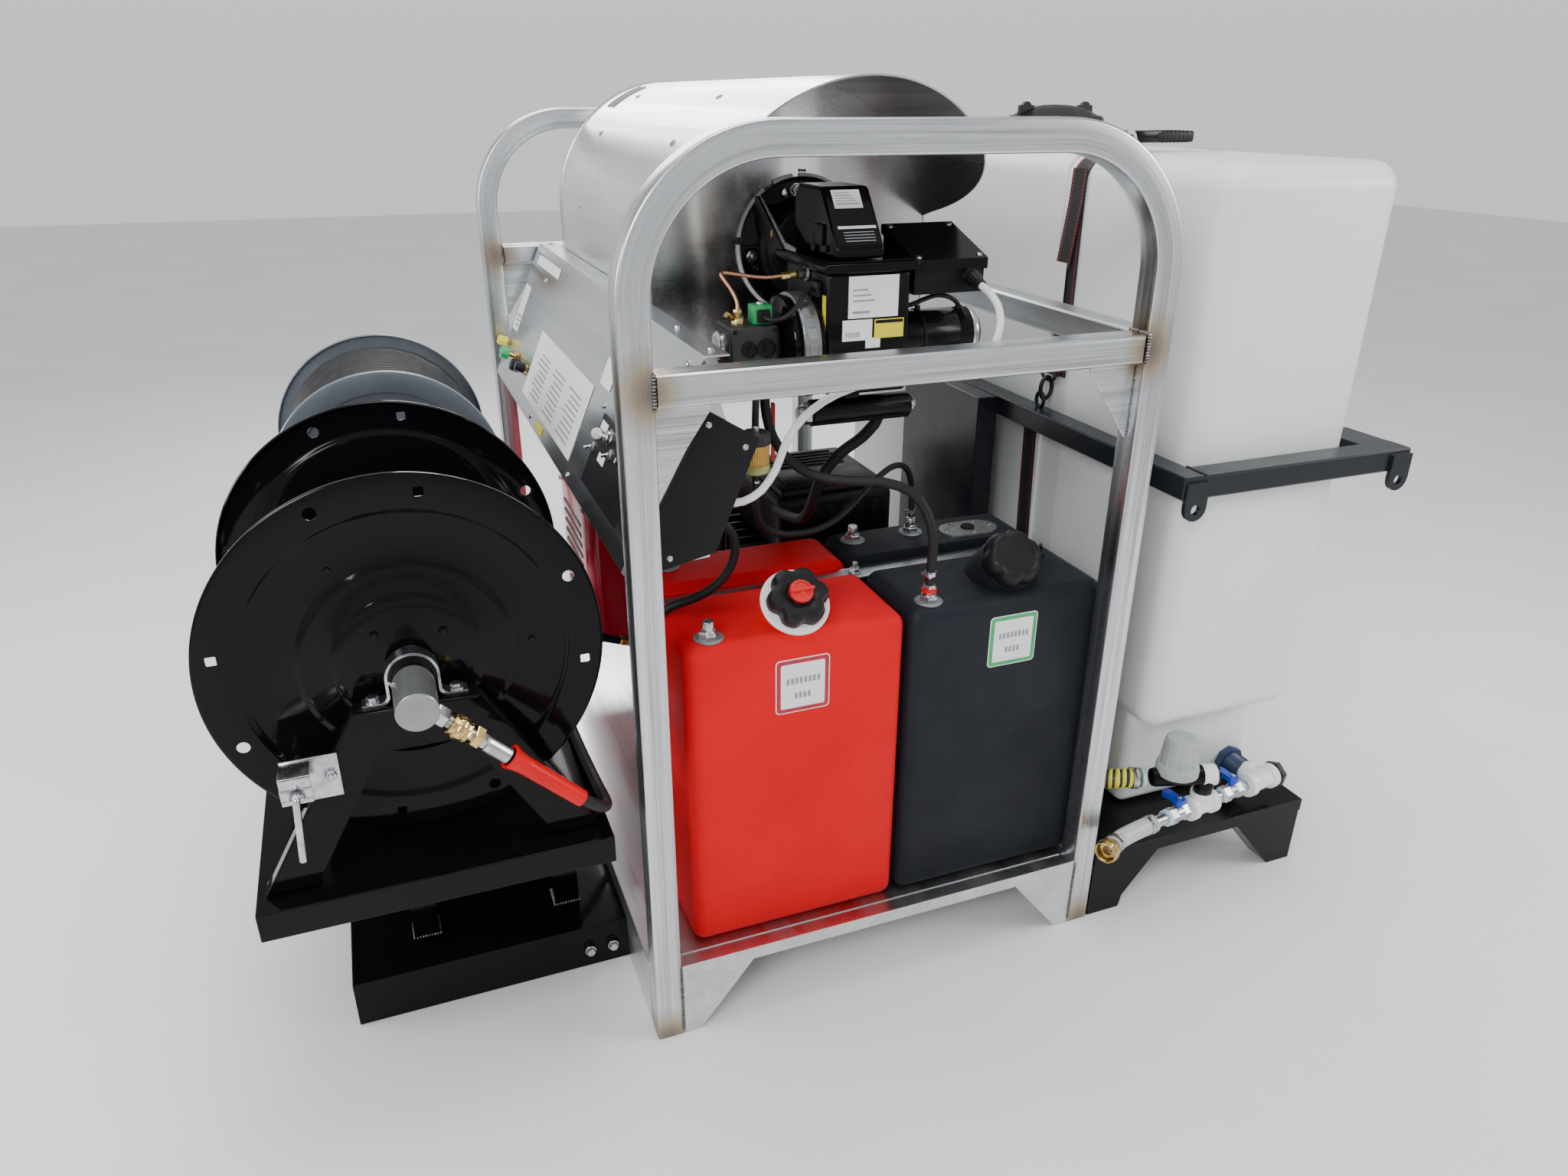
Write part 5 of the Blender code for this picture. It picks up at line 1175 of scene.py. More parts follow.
def make_frame():
    for name, y in (("front_hoop", 0.0), ("rear_hoop", FRAME_L)):
        Piece(name + "_tube", "tube").sweep(hoop_path(y), tube_outline(), side=BACK).done(
            name, "aluminium")
    for name in ("front_cross_bar", "rear_cross_bar"):
        dress(name, "bar", 0.0025)
    dress("right_side_rail", "rail", 0.0025)
    dress("skid_base", "sheet", 0.0012)
    beads = Piece("frame_welds", "bead")
    low, high, near, far = BAR_Z, BAR_Z + TUBE, TUBE - 0.001, FRAME_W - TUBE + 0.001
    for y in (0.0, FRAME_L):
        for x in (near, far):
            beads.bead([(x, y - 0.0005, low), (x, y - 0.0005, high)], 0.0038)
            beads.bead([(x, y, high + 0.0005), (x, y + TUBE, high + 0.0005)], 0.0035)
            beads.bead([(x, y + TUBE + 0.0005, low), (x, y + TUBE + 0.0005, high)], 0.0032)
        for x in (near, far):
            beads.bead([(x, y + TUBE / 2 - 0.004, low - 0.012),
                        (x, y + TUBE / 2 - 0.004, low - 0.130)], 0.0026)
    for y in (0.0, FRAME_L + TUBE):
        for x in (near, far):
            beads.bead([(x, y, 0.012), (x, y, 0.155)], 0.0032)
    beads.bead([(FRAME_W - TUBE, TUBE + 0.0002, high + 0.0005),
                (FRAME_W, TUBE + 0.0002, high + 0.0005)], 0.0032)
    for y in (0.800, 1.280):
        beads.bead([(FRAME_W - TUBE - 0.0005, y, 1.265),
                    (FRAME_W - TUBE - 0.0005, y + 0.040, 1.265)], 0.003)
    beads.done()


make_frame()


# ---------------------------------------------------------------- fuel tanks
def bung(piece, x, y, z, height=0.034):
    """Stained washer, hexagon and stub of a tank fitting."""
    piece.paint("cast").lathe([(0, -0.002), (0.026, -0.002), (0.027, 0.001), (0.024, 0.0035),
                               (0, 0.0035)],
                              (x, y, z), UP, 32)
    piece.paint("zinc").hexagon((x, y, z + 0.0035), UP, 0.030, 0.010)
    piece.lathe([(0, 0), (0.0125, 0), (0.0125, 0.004), (0.0105, 0.0055), (0.0105, height - 0.016),
                 (0.0095, height - 0.014), (0, height - 0.014)], (x, y, z + 0.0125), UP, 28)


def tank_shell(name, look, x):
    """A rotationally moulded block: wide corners, strap groove."""
    shape = bmesh.new()
    bmesh.ops.create_cube(shape, size=1.0)
    low, high = Vector((x[0], TANK_FRONT, 0.150)), Vector((x[1], TANK_BACK, TANK_TOP))
    size = high - low
    bmesh.ops.scale(shape, vec=size, verts=shape.verts)
    bmesh.ops.translate(shape, vec=(low + high) / 2, verts=shape.verts)
    bmesh.ops.bevel(shape, geom=shape.edges[:], offset=0.026, segments=6, profile=0.5,
                    affect="EDGES")
    piece = Piece(name, look)
    piece.merge(shape, Matrix.Translation(FOOT))
    made = piece.done()
    tools = []
    top = TANK_TOP
    spans = [
        ((x[0] - 0.02, x[1] + 0.02), STRAP_GROOVE, (top - 0.022, top + 0.03)),
        ((x[0] - 0.02, x[0] + 0.016), STRAP_GROOVE, (top - 0.14, top + 0.02)),
        ((x[1] - 0.016, x[1] + 0.02), STRAP_GROOVE, (top - 0.14, top + 0.02)),
    ]
    for span in spans:
        tools.append(cutter(lambda p, s=span: p.box(*s)))
    cut(made, tools)
    soften(made, 0.0055, 3)
    return made


def make_fuel_tanks():
    top = TANK_TOP
    red = tank_shell("gasoline_tank_shell", "red_tank", (0.095, 0.515))
    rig.replaces(red, "gasoline_tank")
    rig.slot(red, "tank_red")
    black = tank_shell("diesel_tank_shell", "black_tank", (0.525, 0.945))
    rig.replaces(black, "diesel_tank")
    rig.slot(black, "tank_black")
    fittings = Piece("tank_fittings", "zinc")
    for x, y in ((0.150, 0.098), (0.164, 0.425), (0.570, 0.425), (0.706, 0.425)):
        bung(fittings, x, y, top)
    bung(fittings, 0.577, 0.098, top, 0.030)
    fittings.paint("red_gloss").lathe([(0.0105, 0), (0.0145, 0), (0.0145, 0.006), (0.0105, 0.006)],
                                      (0.577, 0.098, top + 0.0205), UP, 24)
    fittings.paint("zinc").hexagon((0.577, 0.098, top + 0.0265), UP, 0.022, 0.008)
    fittings.clamp((0.578, 0.098, top + 0.056), UP, 0.0092, 0.009, 200)
    fittings.done(slot="zinc")
    neck = Piece("gas_cap_ring", "red_tank")
    neck.lathe([(0, -0.110), (0.0585, -0.110), (0.0585, -0.006), (0, -0.006)], GAS_AT, GAS_AXIS,
               64)
    neck.paint("white").lathe([(0, -0.009), (0.062, -0.009), (0.0635, -0.007), (0.0635, -0.003),
                               (0.0585, -0.0005),
                               (0, -0.0005)], GAS_AT, GAS_AXIS, 64)
    neck.done(slot="pvc_white")
    seat = Piece("diesel_neck", "black_tank")
    seat.lathe([(0, -0.130), (0.070, -0.130), (0.0665, -0.070), (0.0600, -0.020), (0.0535, -0.006),
                (0.0515, -0.0005),
                (0, -0.0005)], DIESEL_AT, DIESEL_AXIS, 64)
    seat.paint("moulded").box((0.884, 0.902), (0.206, 0.216), (top - 0.004, top + 0.004), 0.001)
    grip = DIESEL_AT + turned(DIESEL_AXIS, (0.0515, 0.012, -0.006))
    tether = bend((0.893, 0.211, top + 0.003), (-0.010, -0.010, 0.040), grip,
                  (-0.050, -0.020, 0.0), 14)
    seat.pipe(tether, 0.0024, 8)
    seat.done(slot="tank_black")
    plate = Piece("gauge_plate", "stained")
    at = (0.830, 0.395)
    outline = [*arc((at[0] + 0.028, at[1]), 0.038, -90, 90, 20),
               *arc((at[0] - 0.028, at[1]), 0.038, 90, 270, 20)]
    plate.prism(outline, "Z", (top - 0.003, top + 0.0040))
    for x, y in ((-0.052, 0.0), (-0.026, 0.026), (0.026, 0.026), (0.052, 0.0), (0.0, -0.026)):
        plate.paint("zinc").bolt((at[0] + x, at[1] + y, top + 0.004), UP, 0.0055)
    plate.paint("moulded").rod((at[0], at[1] + 0.002, top + 0.004),
                               (at[0], at[1] + 0.002, top + 0.0085), 0.015, 32, bevel=0.001)
    plate.done(bevel=0.001)
    dress("tank_strap", "band", 0.0006)
    nuts = Piece("strap_bolts", "zinc")
    z = top - 0.022 + 0.006
    nuts.bolt((0.520, 0.302, z), UP, 0.012, thread=0.012)
    nuts.bolt((0.112, 0.302, z), UP, 0.010)
    nuts.bolt((0.928, 0.302, z), UP, 0.010)
    nuts.done()
    for name, look, x, z in (("red_tank_label", "maroon", (0.2585, 0.3620), (0.6290, 0.7370)),
                             ("black_tank_label", "green", (0.6900, 0.7930), (0.6420, 0.7480))):
        note = Piece(name, "label")
        for inset, paint, lift in ((0.0, "label", 0.0010), (0.0018, look, 0.0013),
                                   (0.0095, "label", 0.0016)):
            sheet = rounded((x[0] + inset, x[1] - inset), (z[0] + inset, z[1] - inset),
                            0.008 - inset * 0.5)
            note.paint(paint).prism(sheet, "Y", (TANK_FRONT - lift, TANK_FRONT + 0.001))
        note.paint("grey_ink")
        for row, (start, count) in enumerate(((0.0205, 8), (0.036, 4))):
            high = z[0] + 0.070 - 0.030 * row
            for letter in range(count):
                left = x[0] + start + 0.0084 * letter
                note.box((left, left + 0.0052), (TANK_FRONT - 0.0019, TANK_FRONT),
                         (high - 0.012, high))
        note.done()


def lobed(count, depth, sharp=3.0):
    """Scalloped outline with rounded lobes."""
    def reach(angle):
        wave = 0.5 + 0.5 * math.cos(count * angle)
        return 1.0 - depth * (1 - wave) ** sharp
    return reach


def make_caps():
    cap = Piece("gas_cap_lobes", "moulded", "gas_cap")
    grip = lobed(6, 0.17, 2.0)
    cap.lathe([(0, 0), (0.0530, 0), (0.0555, 0.002), (0.0560, 0.012), (0.0550, 0.027),
               (0.0515, 0.0325),
               (0.0440, 0.0350), (0.0300, 0.0335), (0.0250, 0.0315), (0.0238, 0.0333),
               (0, 0.0338)],
              GAS_AT + GAS_AXIS * 0.0005, GAS_AXIS, 144, grip)
    cap.done("gas_cap", "cap_black")
    knob = Piece("gas_cap_vent_knob", "red_knob", "gas_cap_vent")
    top = GAS_AT + GAS_AXIS * 0.0350
    knob.lathe([(0, 0), (0.0210, 0), (0.0218, 0.002), (0.0218, 0.0075), (0.0195, 0.0105),
                (0.0160, 0.0110),
                (0.0150, 0.0092), (0, 0.0092)], top, GAS_AXIS, 72)
    place = Matrix.Translation(spot(top)) @ turn_to(GAS_AXIS)
    knob.box((-0.0225, 0.0225), (-0.0032, 0.0032), (0.005, 0.0185), 0.0022, 3, place)
    knob.box((-0.0045, 0.0045), (-0.0120, 0.0120), (0.005, 0.0110), 0.0018, 3, place)
    knob.done("gas_cap_vent", "cap_red")
    cap = Piece("diesel_cap_lobes", "moulded", "diesel_cap")
    grip = lobed(6, 0.10, 3.0)
    cap.lathe([(0, 0), (0.0540, 0), (0.0565, 0.003), (0.0565, 0.020), (0.0535, 0.030),
               (0.0480, 0.0370),
               (0.0430, 0.0400), (0.0400, 0.0405), (0, 0.0405)],
              DIESEL_AT + DIESEL_AXIS * 0.0005, DIESEL_AXIS, 144, grip)
    ring = [DIESEL_AT + turned(DIESEL_AXIS,
                               (0.0345 * math.cos(turn), 0.0345 * math.sin(turn), 0.0410))
            for turn in (math.radians(5 * step) for step in range(73))]
    cap.pipe(ring, 0.0009, 8)
    cap.done("diesel_cap", "cap_black")


make_fuel_tanks()
make_caps()


# ---------------------------------------------------------------- heater
def visor_y(angle):
    """How far forward the wrap reaches, by angle from the right-hand side."""
    away = abs(90 - angle)
    if away >= 82:
        return 0.560
    share = away / 82
    return 0.195 + 0.075 * share ** 1.6 + 0.29 * share ** 7


def arch_points(radius, foot, steps=96):
    points = [(HEATER_X + radius, foot, 0.0)]
    for step in range(steps + 1):
        angle = 180 * step / steps
        turn = math.radians(angle)
        points.append((HEATER_X + radius * math.cos(turn), HEATER_Z + radius * math.sin(turn),
                       angle))
    points.append((HEATER_X - radius, foot, 180.0))
    return points


def make_heater():
    wrap = Piece("heater_wrap", "wrap")
    outer, inner = arch_points(HEATER_R, 1.10), arch_points(HEATER_R - 0.003, 1.10)
    rows = []
    for outline in (outer, inner):
        lines = []
        for share in (0.0, 0.35, 0.7, 1.0):
            lines.append([wrap.mesh.verts.new(spot(x, visor_y(a) + (1.45 - visor_y(a)) * share, z))
                          for x, z, a in outline])
        rows.append(lines)
    made = {"wrap": [], "lining": [], "steel": []}
    count = len(outer)
    for step in range(count - 1):
        after = step + 1
        for a, b in zip(rows[0], rows[0][1:]):
            made["wrap"].append(wrap.mesh.faces.new((a[step], a[after], b[after], b[step])))
        for a, b in zip(rows[1], rows[1][1:]):
            made["lining"].append(wrap.mesh.faces.new((a[step], b[step], b[after], a[after])))
        for end in (0, -1):
            o, i = rows[0][end], rows[1][end]
            made["steel"].append(wrap.mesh.faces.new((o[step], o[after], i[after], i[step])))
    for end in (0, -1):
        for (a, b), (c, d) in zip(zip(rows[0], rows[0][1:]), zip(rows[1], rows[1][1:])):
            made["steel"].append(wrap.mesh.faces.new((a[end], b[end], d[end], c[end])))
    for look, faces in made.items():
        wrap.paint(look).take(faces)
    rim = [(x, 1.4485 - 0.002, z) for x, z, a in arch_points(HEATER_R - 0.0005, 1.10)]
    round_wire = [(0.004 * math.cos(t), 0.004 * math.sin(t))
                  for t in (2 * math.pi * s / 8 for s in range(8))]
    wrap.paint("steel").sweep(rim, round_wire, side=BACK)
    shell = wrap.done("heater_housing", "stainless")
    tools = []
    for row in range(3):
        for side in (-1, 1):
            x = HEATER_X + side * 0.13
            y = 1.30 + 0.026 * row
            tools.append(cutter(lambda p, x=x,
                                y=y: p.box((x - 0.045, x + 0.045), (y, y + 0.007), (1.58, 1.70),
                                           0.003, 2)))
    cut(shell, tools)
    ends = Piece("heater_ends", "plate")
    for y, look in ((0.561, "plate"), (1.446, "wrap")):
        flat = [(x, z) for x, z, a in arch_points(HEATER_R - 0.0031, 1.102)]
        ends.paint(look).prism(flat, "Y", (y, y + 0.003))
    front = ends.done(slot="stainless")
    hole = cutter(lambda p: p.rod((BURNER_X, 0.54, BURNER_Z), (BURNER_X, 0.58, BURNER_Z), 0.066,
                                  48))
    cut(front, [hole])
    trim = Piece("heater_screws", "steel")
    for angle in (38, 62, 90, 118, 142, 176):
        for y in (0.585, 1.20):
            turn = math.radians(angle)
            out = Vector((math.cos(turn), 0, math.sin(turn)))
            base = Vector((HEATER_X, y, HEATER_Z)) + out * (HEATER_R - 0.0005)
            trim.lathe([(0, 0), (0.0075, 0), (0.0072, 0.0016), (0.0045, 0.0032), (0, 0.0036)],
                       base, out, 20)
    for row in range(3):
        for side in (-1, 1):
            x, y = HEATER_X + side * 0.13, 1.3085 + 0.026 * row
            points = []
            for step in range(9):
                across = -0.042 + 0.084 * step / 8
                angle = math.acos((x + across - HEATER_X) / HEATER_R)
                points.append((x + across, y, HEATER_Z + HEATER_R * math.sin(angle) + 0.001))
            trim.pipe(points, 0.0032, 8)
    trim.box((HEATER_X - 0.286, HEATER_X + 0.286), (0.556, 0.5605), (1.115 - 0.012, 1.115 + 0.006),
             0.001)
    heat = Piece("heater_tint", "tint")
    heat.bead([(0.497, 0.5595, 1.5085), (0.508, 0.5595, 1.508)], 0.0030)
    heat.done()
    trim.done()
    dress("heating_coil", "steel")


# ---------------------------------------------------------------- burner
def disc_segment(piece, middle, y, inner, outer, start, end, thick, steps=24):
    outline = [*arc(middle, outer, start, end, steps),
               *reversed(arc(middle, inner, start, end, steps))]
    return piece.prism(outline, "Y", (y, y + thick))


def make_burner():
    bx, bz = BURNER_X, BURNER_Z
    flange = Piece("burner_flange", "gloss")
    flange.lathe([(0, 0), (0.125, 0), (0.128, 0.002), (0.128, 0.008), (0, 0.008)], (bx, 0.548, bz),
                 BACK, 96)
    made = flange.done(slot="gloss_black")
    tools = []
    for step in range(4):
        middle = 90 * step + 12
        def slot_shape(p, middle=middle):
            outline = [*arc((bx, bz), 0.113, middle - 8, middle + 8, 8),
                       *arc((bx + FLANGE_BOLTS * math.cos(math.radians(middle + 8)),
                             bz + FLANGE_BOLTS * math.sin(math.radians(middle + 8))), 0.0068,
                            middle + 20, middle + 170, 6),
                       *reversed(arc((bx, bz), 0.099, middle - 8, middle + 8, 8)),
                       *arc((bx + FLANGE_BOLTS * math.cos(math.radians(middle - 8)),
                             bz + FLANGE_BOLTS * math.sin(math.radians(middle - 8))), 0.0068,
                            middle + 190, middle + 340, 6)]
            p.prism(outline, "Y", (0.53, 0.57))
        tools.append(cutter(slot_shape))
    cut(made, tools)
    soften(made, 0.0010, 2)
    gasket = Piece("burner_gasket", "gasket")
    for start, end in ((98, 116), (126, 171), (177, 238), (243, 262), (60, 92), (-60, 20)):
        disc_segment(gasket, (bx, bz), 0.5565, 0.120, 0.134, start, end, 0.0030)
    gasket.done()
    cone = Piece("burner_cone", "satin")
    cone.lathe([(0, 0), (0.070, 0), (0.078, 0.004), (0.079, 0.012), (0.084, 0.016), (0.086, 0.028),
                (0.093, 0.034), (0.095, 0.047), (0, 0.047)], (bx, 0.5005, bz), BACK, 80)
    cone.lathe([(0.052, 0), (0.060, 0), (0.060, 0.10), (0.052, 0.10)], (bx, 0.540, bz), BACK,
               48)
    cone.lathe(puck(0.056, 0.125), (bx, 0.395, 1.325), BACK, 48)
    cone.paint("zinc")
    for step in range(4):
        angle = math.radians(90 * step + 12 - 4)
        at = (bx + FLANGE_BOLTS * math.cos(angle), 0.548, bz + FLANGE_BOLTS * math.sin(angle))
        cone.bolt(at, FORWARD, 0.0115, thread=0.006)
    cone.done()
    body = Piece("burner_body", "enamel")
    body.box((0.408, 0.562), (0.200, 0.400), (1.160, 1.369), 0.009, 4)
    body.paint("gloss").box((0.396, 0.574), (0.190, 0.431), (1.3675, 1.3845), 0.006, 4)
    body.box((0.402, 0.568), (0.196, 0.425), (1.3845, 1.3865), 0.001, 1)
    body.done("burner_housing", "gloss_black")
    scroll = Piece("burner_fan", "gloss")
    scroll.lathe([(0.0, 0.0), (0.060, 0), (0.074, 0.003), (0.084, 0.006), (0.0865, 0.010),
                  (0.0865, 0.0135),
                  (0.080, 0.016), (0.080, 0.019), (0.0855, 0.0215), (0.0, 0.0215)],
                 (0.3455, FAN_Y, FAN_Z), RIGHT, 96)
    scroll.paint("silver").lathe([(0, 0), (0.0890, 0), (0.0905, 0.001), (0.0905, 0.031),
                                  (0.0890, 0.032), (0, 0.032)],
                                 (0.3665, FAN_Y, FAN_Z), RIGHT, 96)
    scroll.paint("gloss").lathe([(0, 0), (0.092, 0), (0.0935, 0.0012), (0.0935, 0.005),
                                 (0.092, 0.0065), (0, 0.0065)],
                                (0.3985, FAN_Y, FAN_Z), RIGHT, 96)
    for angle in (112, 134, 158, 176):
        turn = math.radians(angle)
        out = Vector((0, math.cos(turn), math.sin(turn)))
        along = Vector((0, -math.sin(turn), math.cos(turn)))
        base = Vector((0.3825, FAN_Y, FAN_Z)) + out * 0.0899
        frame_here = Matrix.Translation(spot(base)) @ Matrix((
            (1, along.x, out.x), (0, along.y, out.y), (0, along.z, out.z))).to_4x4()
        scroll.paint("silver").box((-0.0085, 0.0085), (-0.010, 0.010), (0, 0.0016), 0.0007, 1,
                                   frame_here)
        scroll.paint("steel").box((-0.0065, 0.0065), (-0.008, 0.008), (0.0012, 0.0020), 0.0003, 1,
                                  frame_here)
    scroll.paint("zinc")
    for angle in (60, 130, 200, 270):
        turn = math.radians(angle)
        at = (0.3595, FAN_Y + 0.083 * math.cos(turn), FAN_Z + 0.083 * math.sin(turn))
        scroll.bolt(at, LEFT, 0.0055)
    scroll.done(slot="gloss_black")
    arm = Piece("burner_bracket", "satin")
    outline = [(0.402, 1.388), (0.402, 1.372), (0.470, 1.372), (0.5455, 1.420), (0.5455, 1.466),
               (0.532, 1.466)]
    arm.prism([(y, z) for y, z in outline], "X", (0.4005, 0.4035))
    outline = [(0.345, 1.3865), (0.402, 1.3865), (0.532, 1.4660), (0.526, 1.470), (0.395, 1.398),
               (0.345, 1.393)]
    arm.paint("zinc").prism(outline, "X", (0.4035, 0.4065))
    arm.paint("brass").box((0.3990, 0.4005), (0.450, 0.462), (1.400, 1.414), 0.0005)
    arm.done(bevel=0.0006)
    nose = Piece("igniter_shell", "gloss", "igniter_cover")
    outline = [(0.205, 1.3885), (0.205, 1.407), (0.278, 1.499), (0.385, 1.499), (0.402, 1.480),
               (0.402, 1.3885)]
    nose.prism(outline, "X", (0.424, 0.512))
    nose.paint("label")
    slope = Vector((0, 0.073, 0.092)).normalized()
    lean = Vector((0, -0.092, 0.073)).normalized()
    face = Matrix((( 1, slope.x, lean.x), (0, slope.y, lean.y), (0, slope.z, lean.z))).to_4x4()
    start = Matrix.Translation(spot(0.468, 0.205, 1.407)) @ face
    nose.done("igniter_cover", "gloss_black", bevel=0.007, segments=4)
    notes = Piece("igniter_labels", "label", "igniter_cover")
    notes.box((-0.030, 0.022), (0.075, 0.110), (0.0002, 0.0010), 0.0, 1, start)
    notes.paint("grey_ink").box((-0.025, 0.017), (0.082, 0.084), (0.0006, 0.0013), 0.0, 1, start)
    for row in range(4):
        notes.box((-0.025, 0.012 - 0.004 * row), (0.088 + 0.005 * row, 0.0895 + 0.005 * row),
                  (0.0006, 0.0013), 0.0, 1, start)
    notes.paint("label").box((-0.034, 0.036), (0.036, 0.041), (0.0002, 0.0010), 0.0, 1, start)
    for row in range(4):
        notes.paint("grey_ink").box((-0.026, 0.030), (0.012 + 0.0055 * row, 0.0135 + 0.0055 * row),
                                    (0.0002, 0.0008), 0.0, 1, start)
    notes.done()
    side = Piece("igniter_side_boss", "satin", "igniter_cover")
    for x, way in ((0.4235, -1), (0.5125, 1)):
        side.rod((x, 0.300, 1.400), (x + way * 0.0055, 0.300, 1.400), 0.008, 24, bevel=0.001)
        side.rod((x, 0.250, 1.402), (x + way * 0.004, 0.250, 1.402), 0.006, 24, bevel=0.001)
    side.box((0.4185, 0.4240), (0.262, 0.300), (1.405, 1.440), 0.002, 2)
    side.done()
    labels = Piece("burner_labels", "label")
    y = 0.2000
    labels.box((0.444, 0.538), (y - 0.0008, y + 0.0004), (1.292, 1.362), 0.0003, 1)
    labels.box((0.434, 0.490), (y - 0.0009, y + 0.0004), (1.254, 1.2895), 0.0003, 1)
    labels.box((0.478, 0.506), (y - 0.0010, y + 0.0004), (1.240, 1.2575), 0.0003, 1)
    labels.paint("yellow").box((0.494, 0.550), (y - 0.0012, y + 0.0004), (1.256, 1.2885), 0.0003,
                               1)
    labels.paint("grey_ink").box((0.452, 0.484), (y - 0.0014, y), (1.300, 1.3040))
    for row in range(3):
        labels.box((0.452, 0.492 - 0.006 * row), (y - 0.0014, y),
                   (1.320 + 0.009 * row, 1.3225 + 0.009 * row))
    for step in range(7):
        labels.box((0.440 + 0.004 * step, 0.4418 + 0.004 * step), (y - 0.0014, y), (1.260, 1.269))
    labels.paint("moulded").box((0.496, 0.548), (y - 0.0018, y), (1.2815, 1.2870))
    labels.done()
    strip = Piece("burner_side_label", "yellow")
    strip.box((0.4072, 0.4084), (0.2120, 0.2260), (1.262, 1.330), 0.0002, 1)
    strip.done()


def make_junction_box():
    box = Piece("junction_box_body", "satin")
    outline = [(0.226, 1.320), (0.226, 1.374), (0.356, 1.4185), (0.356, 1.320)]
    box.prism(outline, "X", (0.581, 0.719))
    lid = [(0.2205, 1.360), (0.2205, 1.3790), (0.3605, 1.4270), (0.3605, 1.4110), (0.3575, 1.4110),
           (0.3575, 1.4230), (0.2235, 1.3765), (0.2235, 1.360)]
    box.paint("enamel").prism(lid, "X", (0.5775, 0.7225))
    box.prism([(0.2205, 1.360), (0.2205, 1.3790), (0.3605, 1.4270), (0.3605, 1.4110)], "X",
              (0.5775, 0.5800))
    box.prism([(0.2205, 1.360), (0.2205, 1.3790), (0.3605, 1.4270), (0.3605, 1.4110)], "X",
              (0.7200, 0.7225))
    box.box((0.5745, 0.585), (0.30, 0.34), (1.372, 1.382), 0.001)
    box.done("junction_box", "satin_black", bevel=0.0018, segments=3)
    lean = Vector((0, -0.048, 0.140)).normalized()
    extra = Piece("junction_box_screws", "zinc")
    for x, share in ((0.590, 0.08), (0.710, 0.08), (0.590, 0.92), (0.710, 0.92)):
        at = Vector((x, 0.2205 + 0.140 * share, 1.3790 + 0.048 * share))
        extra.lathe([(0, 0), (0.006, 0), (0.0055, 0.002), (0.003, 0.0032), (0, 0.0032)], at, lean,
                    18)
    extra.paint("moulded")
    way = Vector((0, -0.958, -0.288)).normalized()
    base = Vector((0.690, 0.2265, 1.3505))
    extra.rod(base, base + way * 0.008, 0.0165, 6, bevel=0.001)
    ridge = lambda angle: 1.0 + 0.035 * math.cos(14 * angle)
    extra.lathe([(0.0072, 0), (0.0148, 0), (0.0150, 0.010), (0.0132, 0.016), (0.0114, 0.022),
                 (0.0098, 0.030),
                 (0.0090, 0.0395), (0.0072, 0.0395)], base + way * 0.008, way, 84, ridge)
    extra.done()


